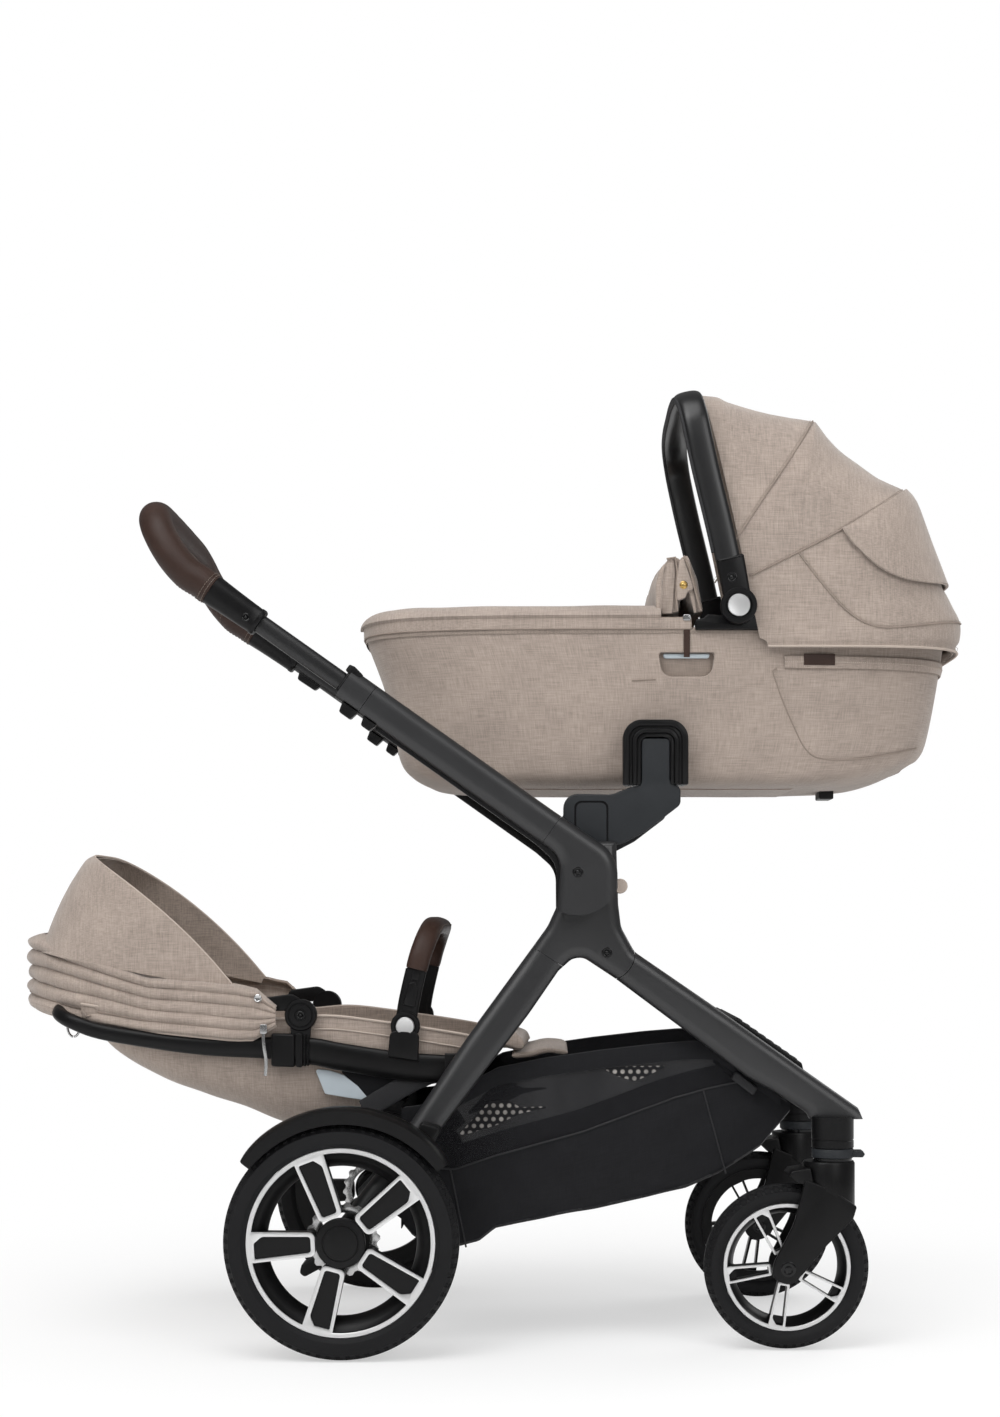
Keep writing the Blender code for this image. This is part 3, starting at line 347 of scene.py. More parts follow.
    def knit_comb(self, shader: Shader, where: object) -> None:
        """Net with staggered round cells of pale knit."""
        rows = []
        cell = self.pitch * MM
        for shift in (0.0, 0.5):
            scale = (1 / cell, 1 / (cell * math.sqrt(3.0)), 1.0)
            placed = shader.node("ShaderNodeMapping", Vector=where, Scale=scale,
                                 Location=(shift, shift, 0.0))
            wrapped = shader.vector("FRACTION", placed.outputs[0])
            centred = shader.vector("SUBTRACT", wrapped.outputs[0], (0.5, 0.5, 0.0))
            even = shader.vector("MULTIPLY", centred.outputs[0], (1.0, math.sqrt(3.0), 0.0))
            rows.append(shader.vector("LENGTH", even.outputs[0]).outputs["Value"])
        reach = shader.math("MINIMUM", rows[0], rows[1])
        cloud = shader.noise(where, (60.0, 60.0, 60.0), 3.0)
        rim = shader.node("ShaderNodeMapRange", Value=reach, From_Min=0.2, From_Max=0.34)
        faded = shader.blend(cloud, self.colour, self.cell)
        shader.feed(shader.surface.inputs["Base Color"], shader.blend(rim.outputs[0], faded, self.colour))
        self.gloss(shader, cloud, 0.1)
        shader.bump(rim.outputs[0], self.depth * MM)

    def weave_tape(self, shader: Shader, where: object) -> None:
        """Ribbed woven tape."""
        rib = shader.waves(where, self.pitch * MM, "DIAGONAL")
        cloud = shader.noise(where, (60.0, 60.0, 60.0), 3.0)
        self.paint(shader, shader.weigh(rib, 0.4, cloud, 0.6))
        self.gloss(shader, cloud, 0.1)
        shader.bump(rib, self.depth * MM)


TAUPE_COLOUR = (0.325, 0.266, 0.227)
TAUPE = Finish("taupe_melange", "taupe_fabric", Pattern.MELANGE, TAUPE_COLOUR, 0.86, pitch=0.9, depth=0.25,
               contrast=0.26, sheen=0.25, space=Space.SURFACE)
TAUPE_SOLID = Finish("taupe_melange_solid", "taupe_fabric", Pattern.MELANGE, TAUPE_COLOUR, 0.86, pitch=0.9,
                     depth=0.25, contrast=0.26, sheen=0.25)
# Lining: the taupe melange darkened evenly, painting the shade inside the hoods and the tub.
SHADED_INNER_CLOTH = Finish("inner_melange_painted_shade", "taupe_fabric", Pattern.MELANGE, (0.27, 0.22, 0.186), 0.9, pitch=0.8,
                depth=0.2, contrast=0.2, sheen=0.2, space=Space.SURFACE)
PADDING = Finish("pale_knit", "pale_padding", Pattern.MELANGE, (0.5, 0.43, 0.37), 0.92, pitch=1.1,
                 depth=0.25, contrast=0.14, sheen=0.3)
TAPE = Finish("taupe_tape", "taupe_fabric", Pattern.TAPE, (0.43, 0.36, 0.31), 0.8, pitch=1.2, depth=0.12,
              contrast=0.12)
THREAD = Finish("seam_thread", "brown_leather", Pattern.TAPE, (0.17, 0.135, 0.112), 0.85, pitch=0.9,
                depth=0.06)
COATED = Finish("charcoal_coat", "frame_tube", Pattern.SATIN, (0.0148, 0.0149, 0.016), 0.37, depth=0.01,
                contrast=0.14, specular=0.6)
PLASTIC = Finish("black_moulding", "black_plastic", Pattern.GRAIN, (0.0042, 0.0041, 0.0044), 0.36,
                 pitch=0.7, depth=0.03, contrast=0.3, specular=0.22)
GLOSSY = Finish("black_gloss", "black_plastic", Pattern.GRAIN, (0.003, 0.003, 0.0034), 0.2, pitch=0.8,
                depth=0.006, contrast=0.2, coat=0.1, specular=0.3)
SLATE = Finish("slate_moulding", "slate_plastic", Pattern.GRAIN, (0.0185, 0.0207, 0.0235), 0.5, pitch=0.6,
               depth=0.03, contrast=0.2, specular=0.26)
RUBBER = Finish("moulded_rubber", "tyre_rubber", Pattern.RUBBER, (0.0072, 0.0072, 0.008), 0.62, depth=0.05,
                contrast=0.3, specular=0.22)
SILVER = Finish("turned_silver", "silver_metal", Pattern.TURNED, (0.74, 0.74, 0.74), 0.36, metallic=0.9,
                depth=0.01, contrast=0.05)
STEEL = Finish("plated_steel", "silver_metal", Pattern.TURNED, (0.5, 0.5, 0.5), 0.24, metallic=1.0,
               depth=0.005, contrast=0.05)
BRASS = Finish("aged_brass", "silver_metal", Pattern.TURNED, (0.5, 0.34, 0.12), 0.3, metallic=1.0,
               depth=0.01, contrast=0.15)
HIDE = Finish("brown_hide", "brown_leather", Pattern.HIDE, (0.034, 0.0175, 0.0128), 0.42, pitch=1.3,
              depth=0.07, contrast=0.42, specular=0.26)
BASKET_CLOTH = Finish("basket_cloth", "charcoal_fabric", Pattern.MELANGE, (0.0066, 0.0067, 0.0084), 0.66,
                      pitch=0.9, depth=0.2, contrast=0.3, sheen=0.02, specular=0.22, space=Space.SURFACE)
BASKET_NET = Finish("basket_net", "charcoal_fabric", Pattern.NET, (0.0066, 0.0066, 0.0082), 0.7, pitch=1.4,
                    depth=0.08, contrast=0.3, specular=0.2, space=Space.SURFACE)
BASKET_COMB = Finish("basket_comb", "charcoal_fabric", Pattern.COMB, (0.0075, 0.0075, 0.009), 0.7,
                     pitch=10.0, depth=0.2, contrast=0.2, specular=0.2, space=Space.SURFACE)
WEBBING = Finish("black_webbing", "charcoal_fabric", Pattern.TAPE, (0.014, 0.014, 0.016), 0.7, pitch=1.4,
                 depth=0.2, contrast=0.3)
PANEL = Finish("pale_panel", "pale_padding", Pattern.TAPE, (0.47, 0.53, 0.57), 0.5, pitch=0.8, depth=0.05,
               contrast=0.06)
# Welts, piping and fold cords: taupe darkened to paint the shade that falls along seams, folds and piping.
SHADED_WELT = Finish("welt_painted_shade", "taupe_fabric", Pattern.TAPE, (0.26, 0.21, 0.176), 0.85, pitch=1.0,
                     depth=0.08)
THREAD_PALE = Finish("seam_stitch", "taupe_fabric", Pattern.TAPE, (0.34, 0.285, 0.24), 0.85, pitch=1.0,
                     depth=0.05)
# Copy of the darkened lining on object coordinates: painted shade inside the seat and the hood linings.
SHADED_INNER_CLOTH_SOLID = Finish("lining_melange_solid", "taupe_fabric", Pattern.MELANGE, (0.27, 0.22, 0.186), 0.9,
                      pitch=0.9, depth=0.2, contrast=0.3, sheen=0.1)
COATED_BLACK = Finish("black_coat", "black_plastic", Pattern.SATIN, (0.0062, 0.0062, 0.0068), 0.34,
                      depth=0.003, contrast=0.12, specular=0.55)


def rounded(corners: Sequence[Corner], steps: int = 6) -> list[Flat]:
    """Turn corners into arcs.

    Args:
        corners: (x, z, radius) of each corner, in order.
        steps: segments of each arc.

    Returns:
        The outline's points.
    """
    outline = []
    for i, (x, z, radius) in enumerate(corners):
        here = Vector((x, z))
        back = (Vector(corners[i - 1][:2]) - here)
        ahead = (Vector(corners[(i + 1) % len(corners)][:2]) - here)
        half = back.angle(ahead) / 2
        reach = min(radius / math.tan(half), back.length * 0.49, ahead.length * 0.49)
        back.normalize()
        ahead.normalize()
        if reach < 0.05 or (back + ahead).length < 1e-3:
            outline.append((x, z))
            continue
        true_radius = reach * math.tan(half)
        centre = here + (back + ahead).normalized() * (true_radius / math.sin(half))
        first = here + back * reach - centre
        last = here + ahead * reach - centre
        start = math.atan2(first.y, first.x)
        turn = (math.atan2(last.y, last.x) - start + math.pi) % (2 * math.pi) - math.pi
        for k in range(steps + 1):
            angle = start + turn * k / steps
            outline.append((centre.x + true_radius * math.cos(angle),
                            centre.y + true_radius * math.sin(angle)))
    return outline


def arc(centre: Flat, radius: float, start: float, stop: float, count: int = 16) -> list[Flat]:
    """Points on a circle in the XZ plane from one angle to another, in degrees."""
    angles = [math.radians(start + (stop - start) * k / (count - 1)) for k in range(count)]
    return [(centre[0] + radius * math.cos(a), centre[1] + radius * math.sin(a)) for a in angles]


def curve_through(points: Sequence[Sequence[float]], steps: int = 8) -> list[Vector]:
    """Catmull-Rom points through the given ones."""
    spots = [Vector(p) for p in points]
    found = []
    for i in range(len(spots) - 1):
        p0, p1, p2 = spots[max(i - 1, 0)], spots[i], spots[i + 1]
        p3 = spots[min(i + 2, len(spots) - 1)]
        for k in range(steps):
            t = k / steps
            pull = (p2 - p0) * t + (2 * p0 - 5 * p1 + 4 * p2 - p3) * t * t
            found.append(0.5 * (2 * p1 + pull + (3 * p1 - p0 - 3 * p2 + p3) * t**3))
    found.append(spots[-1])
    return found


def along(points: Sequence[Vector], spacing: float) -> list[Vector]:
    """Points set evenly along a polyline."""
    found = [Vector(points[0])]
    left = spacing
    for a, b in zip(points, points[1:]):
        length = (b - a).length
        done = 0.0
        while length - done >= left and length > 0:
            done += left
            found.append(a + (b - a) * (done / length))
            left = spacing
        left -= length - done
    return found


def blend_between(points: Sequence[Flat], x: float) -> float:
    """Read a height off a polyline of (x, height) points."""
    if x <= points[0][0]:
        return points[0][1]
    for (x0, h0), (x1, h1) in zip(points, points[1:]):
        if x <= x1:
            return h0 + (h1 - h0) * (x - x0) / (x1 - x0)
    return points[-1][1]


def oval_angles(a: float, b: float, power: float, count: int) -> list[float]:
    """Angles of a superellipse at even steps of its length."""
    fine = [2 * math.pi * k / 2000 for k in range(2001)]
    spots = [oval_point(a, b, power, angle) for angle in fine]
    reach = [0.0]
    for p, q in zip(spots, spots[1:]):
        reach.append(reach[-1] + math.hypot(q[0] - p[0], q[1] - p[1]))
    found = []
    i = 0
    for k in range(count + 1):
        wanted = reach[-1] * k / count
        while i < 2000 and reach[i] < wanted:
            i += 1
        found.append(fine[i])
    return found


def oval_point(a: float, b: float, power: float, angle: float) -> Flat:
    """Point of a superellipse with half sizes a and b."""
    c, s = math.cos(angle), math.sin(angle)
    return (a * math.copysign(abs(c) ** (2 / power), c), b * math.copysign(abs(s) ** (2 / power), s))


def smooth_step(t: float) -> float:
    """Ease from 0 to 1."""
    t = min(max(t, 0.0), 1.0)
    return t * t * (3 - 2 * t)


def faced(bm: Mesh) -> Mesh:
    """Make the faces' normals agree."""
    bmesh.ops.recalc_face_normals(bm, faces=bm.faces)
    return bm


def capped(bm: Mesh) -> Mesh:
    """Close the open rims and make the normals agree."""
    bmesh.ops.holes_fill(bm, edges=[e for e in bm.edges if e.is_boundary], sides=0)
    return faced(bm)


def outward(bm: Mesh) -> Mesh:
    """Merge doubles and point the faces out."""
    bmesh.ops.remove_doubles(bm, verts=bm.verts, dist=0.005)
    return faced(bm)


def slab(outline: Sequence[Flat], y0: float, y1: float, bevel: float = 0.0, segments: int = 3) -> Mesh:
    """Extrude an XZ outline from y0 to y1 and round its two rims."""
    bm = bmesh.new()
    face = bm.faces.new([bm.verts.new((x, y0, z)) for x, z in outline])
    grown = bmesh.ops.extrude_face_region(bm, geom=[face])["geom"]
    moved = [g for g in grown if isinstance(g, bmesh.types.BMVert)]
    bmesh.ops.translate(bm, verts=moved, vec=(0, y1 - y0, 0))
    outward(bm)
    if bevel:
        caps = [f for f in bm.faces if abs(f.normal.y) > 0.99 and len(f.verts) > 4
                or len(f.verts) == len(outline)]
        rims = {e for f in caps for e in f.edges}
        bmesh.ops.bevel(bm, geom=list(rims), offset=bevel, offset_type="OFFSET", segments=segments,
                        profile=0.5, affect="EDGES", material=-1, clamp_overlap=False)
    return bm


def block(corners: Sequence[Corner], y0: float, y1: float, bevel: float = 0.0, segments: int = 3) -> Mesh:
    """Slab with rounded corners, each given as (x, z, radius)."""
    return slab(rounded(corners), y0, y1, bevel, segments)


def cushioned(outline: Sequence[Flat], y0: float, y1: float, reach: float, depth: float,
              segments: int = 8) -> Mesh:
    """Slab whose rounded rims reach further across its faces than they are deep."""
    ratio = reach / depth
    bm = slab(outline, y0 * ratio, y1 * ratio, reach, segments)
    bmesh.ops.scale(bm, vec=(1.0, 1.0 / ratio, 1.0), verts=bm.verts)
    return bm


def plate(outlines: Sequence[Sequence[Flat]], y0: float, y1: float, bevel: float = 0.0) -> Mesh:
    """Extrude a flat region: the first outline is its border, the others are its holes."""
    bm = bmesh.new()
    edges = []
    for outline in outlines:
        verts = [bm.verts.new((x, y0, z)) for x, z in outline]
        edges += [bm.edges.new((a, b)) for a, b in zip(verts, verts[1:] + verts[:1])]
    bmesh.ops.triangle_fill(bm, use_beauty=True, use_dissolve=False, edges=edges)
    grown = bmesh.ops.extrude_face_region(bm, geom=list(bm.faces))["geom"]
    moved = [g for g in grown if isinstance(g, bmesh.types.BMVert)]
    bmesh.ops.translate(bm, verts=moved, vec=(0, y1 - y0, 0))
    outward(bm)
    if bevel:
        rims = [e for e in bm.edges if len(e.link_faces) == 2 and e.calc_face_angle(0.0) > 1.2
                and abs(e.verts[0].co.y - e.verts[1].co.y) < 0.01]
        bmesh.ops.bevel(bm, geom=rims, offset=bevel, offset_type="OFFSET", segments=2, profile=0.5,
                        affect="EDGES", material=-1, clamp_overlap=True)
    return bm


def turned(profile: Sequence[Flat], centre: Corner, steps: int = 72, axis: Vector = ACROSS) -> Mesh:
    """Spin a closed profile of (radius, distance along the axis) about an axis."""
    bm = bmesh.new()
    side = Vector((1.0, 0.0, 0.0))
    verts = [bm.verts.new(Vector(centre) + side * r + axis * d) for r, d in profile]
    edges = [bm.edges.new((a, b)) for a, b in zip(verts, verts[1:] + verts[:1])]
    bmesh.ops.spin(bm, geom=verts + edges, cent=centre, axis=axis, angle=2 * math.pi, steps=steps,
                   use_merge=True)
    return outward(bm)


def rod(radius: float, start: float, stop: float, centre: Corner, steps: int) -> Mesh:
    """Plain cylinder along Y; start and stop are distances from its centre."""
    return turned([(0, start), (radius, start), (radius, stop), (0, stop)], centre, steps)


def surface(place: Callable[[float, float], Sequence[float]], nu: int, nv: int,
            welded: bool = False) -> Mesh:
    """Shape a unit grid into a surface that carries a weave map in metres.

    Args:
        place: the point for (u, v), each from 0 to 1.
        nu: cells along u.
        nv: cells along v.
        welded: whether its edges meet and are merged.

    Returns:
        The open or welded surface.
    """
    bm = bmesh.new()
    bmesh.ops.create_grid(bm, x_segments=nu, y_segments=nv, size=0.5)
    layer = bm.loops.layers.uv.new(WEAVE_MAP)
    wide = [Vector(place(k / nu, 0.5)) for k in range(nu + 1)]
    tall = [Vector(place(0.5, k / nv)) for k in range(nv + 1)]
    across = [0.0]
    for a, b in zip(wide, wide[1:]):
        across.append(across[-1] + (b - a).length * MM)
    upward = [0.0]
    for a, b in zip(tall, tall[1:]):
        upward.append(upward[-1] + (b - a).length * MM)
    spots = {v: (v.co.x + 0.5, v.co.y + 0.5) for v in bm.verts}
    for face in bm.faces:
        for loop in face.loops:
            u, v = spots[loop.vert]
            loop[layer].uv = (across[round(u * nu)], upward[round(v * nv)])
    for vert, (u, v) in spots.items():
        vert.co = place(u, v)
    if welded:
        bmesh.ops.remove_doubles(bm, verts=bm.verts, dist=0.005)
    return bm


def thicken(bm: Mesh, wall: float) -> Mesh:
    """Give an open surface a wall on the side away from its normals."""
    bm.normal_update()
    layer = bm.loops.layers.uv.verify()
    inward = {v: v.co - v.normal * wall for v in bm.verts}
    marks = {v: v.link_loops[0][layer].uv.copy() for v in bm.verts if v.link_loops}
    rims = [(loop.vert, loop.link_loop_next.vert) for e in bm.edges if e.is_boundary
            for loop in e.link_loops]
    faces = list(bm.faces)
    twins = {v: bm.verts.new(spot) for v, spot in inward.items()}
    for face in faces:
        back = bm.faces.new([twins[v] for v in reversed(face.verts)])
        for loop, vert in zip(back.loops, reversed(face.verts)):
            loop[layer].uv = marks[vert]
    for a, b in rims:
        edge = bm.faces.new((b, a, twins[a], twins[b]))
        for loop, vert in zip(edge.loops, (b, a, a, b)):
            loop[layer].uv = marks[vert]
    return bm


def bar(path: Sequence[Vector], size: Callable[[float], Flat] | Flat, up: Sequence[float], around: int = 20,
        power: float = 2.0) -> Mesh:
    """Sweep a rounded section along a path and close its ends.

    Args:
        path: the section's centre points.
        size: half sizes (along up, across), or a function of the share of the path.
        up: direction that the first half size follows.
        around: points of the section.
        power: 2 for an ellipse, more for a squarer section.

    Returns:
        One closed tube.
    """
    points = [Vector(p) for p in path]
    last = len(points) - 1
    frames = []
    guide = Vector(up).normalized()
    for i in range(last + 1):
        tangent = (points[min(i + 1, last)] - points[max(i - 1, 0)]).normalized()
        guide = (guide - tangent * guide.dot(tangent)).normalized()
        frames.append((guide.copy(), tangent.cross(guide)))

    def place(u: float, v: float) -> Vector:
        i = round(u * last)
        angle = 2 * math.pi * v
        c, s = math.cos(angle), math.sin(angle)
        a, b = size(u) if callable(size) else size
        flat, cross = frames[i]
        return (points[i] + flat * (a * math.copysign(abs(c) ** (2 / power),
                                                      c)) + cross
                * (b * math.copysign(abs(s) ** (2 / power), s)))

    return capped(surface(place, last, around, welded=True))


def cordlet(path: Sequence[Vector], radius: float, around: int = 6) -> Mesh:
    """Thin round piping along a path."""
    return bar(path, (radius, radius), (0.31, 0.45, 0.83), around)


def stitches(path: Sequence[Vector], length: float = 2.6, gap: float = 1.5, radius: float = 0.32) -> Mesh:
    """Row of sewn stitches along a path."""
    spots = along(path, length + gap)
    rows = []
    for a, b in zip(spots, spots[1:]):
        step = (b - a).normalized()
        bm = bmesh.new()
        bmesh.ops.create_cone(bm, cap_ends=True, segments=5, radius1=radius, radius2=radius, depth=length)
        bmesh.ops.transform(bm, matrix=step.to_track_quat("Z", "Y").to_matrix().to_4x4(), verts=bm.verts)
        bmesh.ops.translate(bm, verts=bm.verts, vec=a + step * length / 2)
        rows.append(bm)
    return joined(rows)


def joined(parts: Sequence[Mesh]) -> Mesh:
    """Gather several solids in one mesh; they stay separate shells."""
    whole = bmesh.new()
    whole.loops.layers.uv.new(WEAVE_MAP)
    carrier = bpy.data.meshes.new("carrier")
    for part in parts:
        if not part.loops.layers.uv:
            part.loops.layers.uv.new(WEAVE_MAP)
        part.to_mesh(carrier)
        part.free()
        whole.from_mesh(carrier)
    bpy.data.meshes.remove(carrier)
    return whole


def over(near: Sequence[Vector]) -> list[Vector]:
    """Complete a path that ends in the middle with its mirror image."""
    return list(near) + [Vector((p.x, -p.y, p.z)) for p in reversed(near[:-1])]


def mirrored(bm: Mesh, side: Side) -> Mesh:
    """Turn a piece made on the +Y side into the wanted side's."""
    if side is Side.NEAR:
        bmesh.ops.scale(bm, vec=(1, -1, 1), verts=bm.verts)
        bmesh.ops.reverse_faces(bm, faces=bm.faces)
    return bm


def both_sides(bm: Mesh) -> Mesh:
    """Add the mirror image of a +Y piece."""
    twin = mirrored(bm.copy(), Side.NEAR)
    return joined([bm, twin])


def cut_away(bm: Mesh, point: Corner, normal: Corner) -> Mesh:
    """Remove what lies on the normal's side of a plane and close the cut."""
    geom = list(bm.verts) + list(bm.edges) + list(bm.faces)
    bmesh.ops.bisect_plane(bm, geom=geom, dist=0.001, plane_co=point, plane_no=normal, clear_outer=True)
    return capped(bm)


def rumple(bm: Mesh, size: float, depth: float, seed: float = 0.0) -> Mesh:
    """Displace a soft surface by smooth noise; size and depth in millimetres."""
    bm.normal_update()
    offset = Vector((seed, seed * 1.7, seed * 0.6))
    moves = [(v, v.normal * noise.noise(v.co / size + offset) * depth) for v in bm.verts]
    for vert, move in moves:
        vert.co += move
    return bm


def mesh_of(name: str, bm: Mesh) -> bpy.types.Mesh:
    """Turn a finished mesh, which is used up, into mesh data."""
    mesh = bpy.data.meshes.new(name)
    bm.to_mesh(mesh)
    bm.free()
    return mesh


def placed(name: str, data: bpy.types.ID) -> bpy.types.Object:
    """Put a new object with this data in the scene."""
    obj = bpy.data.objects.new(name, data)
    bpy.context.scene.collection.objects.link(obj)
    return obj


@dataclass(frozen=True)
class Fold:
    """Two bodies that a soft piece lies between, and the points where it starts and ends."""

    first: str
    second: str
    start: Corner
    end: Corner


def piece(name: str, bm: Mesh, finish: Finish, body: str | Fold, replaces: Sequence[str] = (),
          sharp: float = 40.0, slot: str = "") -> bpy.types.Object:
    """Args:
        name: the piece's name.
        bm: its mesh, which is used up.
        finish: its finish.
        body: the frame's body that it rides on, or a fold, in which case the piece rides on no body.
        replaces: frame nodes that it stands for.
        sharp: edges steeper than so many degrees stay sharp.
        slot: the record's material slot, where it isn't the finish's own; not used.

    Returns:
        The new object.
    """
    bmesh.ops.scale(bm, vec=(MM, MM, MM), verts=bm.verts)
    mesh = mesh_of(name, bm)
    mesh.shade_smooth()
    mesh.set_sharp_from_angle(angle=math.radians(sharp))
    obj = placed(name, mesh)
    mesh.materials.append(finish.material())
    if isinstance(body, Fold):
        Vector(body.start) * MM
        Vector(body.end) * MM
        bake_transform(obj)
    else:
        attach(obj, body)
    slot or finish.slot
    if replaces:
        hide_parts(*replaces)
    log.info("made %s", name)
    return obj


def settle(obj: bpy.types.Object) -> None:
    """Apply an object's modifiers to its mesh."""
    graph = bpy.context.evaluated_depsgraph_get()
    graph.update()
    fresh = bpy.data.meshes.new_from_object(obj.evaluated_get(graph))
    old = obj.data
    obj.modifiers.clear()
    obj.data = fresh
    fresh.name = obj.name
    bpy.data.meshes.remove(old)


def carve(obj: bpy.types.Object, cutter: Mesh, sharp: float = 40.0) -> None:
    """Cut a millimetre solid out of an object."""
    bmesh.ops.scale(cutter, vec=(MM, MM, MM), verts=cutter.verts)
    tool = placed("cutter", mesh_of("cutter", cutter))
    boolean = obj.modifiers.new("cut", "BOOLEAN")
    boolean.operation = "DIFFERENCE"
    boolean.solver = "EXACT"
    boolean.use_self = True
    boolean.object = tool
    settle(obj)
    bpy.data.objects.remove(tool, do_unlink=True)
    obj.data.shade_smooth()
    obj.data.set_sharp_from_angle(angle=math.radians(sharp))


def puff(obj: bpy.types.Object, cap: float, pressure: float = 4.0, frames: int = 20) -> None:
    """Swell a closed pad with a short cloth simulation and apply it.

    Args:
        obj: the closed pad.
        cap: most that a point may move, in millimetres.
        pressure: the cloth's inner pressure.
        frames: how many frames are simulated.
    """
    start = [v.co.copy() for v in obj.data.vertices]
    cloth = obj.modifiers.new("puff", "CLOTH")
    cloth.settings.use_pressure = True
    cloth.settings.uniform_pressure_force = pressure
    cloth.settings.effector_weights.gravity = 0.0
    cloth.settings.quality = 4
    cloth.settings.mass = 0.3
    cloth.collision_settings.use_collision = False
    cloth.point_cache.frame_start = 1
    cloth.point_cache.frame_end = frames
    scene = bpy.context.scene
    for frame in range(1, frames + 1):
        scene.frame_set(frame)
    settle(obj)
    scene.frame_set(1)
    for vert, home in zip(obj.data.vertices, start):
        move = vert.co - home
        if move.length > cap * MM:
            vert.co = home + move.normalized() * cap * MM
    obj.data.shade_smooth()


HINGE_ARM = (102.0, 600.0)
HINGE_LEG = (139.0, 499.0)
HUB_IN, HUB_OUT = 178.0, 205.0
ARM_IN, ARM_OUT = 207.0, 233.0
ARM_START = (-160.0, 815.0)
ARM_SLOPE = math.radians(35.3)
REAR_AXLE = (-189.0, 145.0)
FRONT_AXLE = (365.0, 103.8)
SWIVEL_X = 424.0
TRACK_FRONT = 200.0
TRACK_REAR = 277.5
HOOD_PIVOT = (-250.0, 174.0, 419.0)
BUMPER_PIVOT = (-117.0, 174.0, 405.0)


def on_arm(distance: float, offset: float = 0.0) -> Flat:
    """Point of the arm's line; distance runs down from the collar, offset upward."""
    c, s = math.cos(ARM_SLOPE), math.sin(ARM_SLOPE)
    return (ARM_START[0] + c * distance + s * offset, ARM_START[1] - s * distance + c * offset)


def arm_point(distance: float, offset: float = 0.0, y: float = 220.0) -> Vector:
    """Point of the +Y arm's line in space."""
    x, z = on_arm(distance, offset)
    return Vector((x, y, z))


def splay(z: float) -> float:
    """Outward shift of the rear leg at a height."""
    return 44.5 * min(max((500.0 - z) / 355.0, 0.0), 1.0)


def screw(centre: Flat, y: float, side: Side, body: str, name: str, radius: float = 3.4) -> None:
    """Black domed rivet in a black cup on a +Y face.

    Args:
        centre: its (x, z).
        y: the face it sits on.
        side: the stroller's side.
        body: the body it rides on.
        name: the piece's name.
        radius: the rivet's radius.
    """
    at = (centre[0], y, centre[1])
    cup = [(radius + 0.4, -0.5), (radius * 2.0, -0.5), (radius * 2.0, 0.5), (radius * 1.75, 0.9),
           (radius + 0.9, 0.7), (radius + 0.4, 0.2)]
    piece(f"{name}_cup", mirrored(turned(cup, at, 32), side), GLOSSY, body)
    head = [(0, -0.5), (radius, -0.5), (radius, 0.2), (radius * 0.9, 1.1), (radius * 0.66, 1.9),
            (radius * 0.36, 2.4), (0, 2.6)]
    piece(f"{name}_head", mirrored(turned(head, at, 32), side), GLOSSY, body)


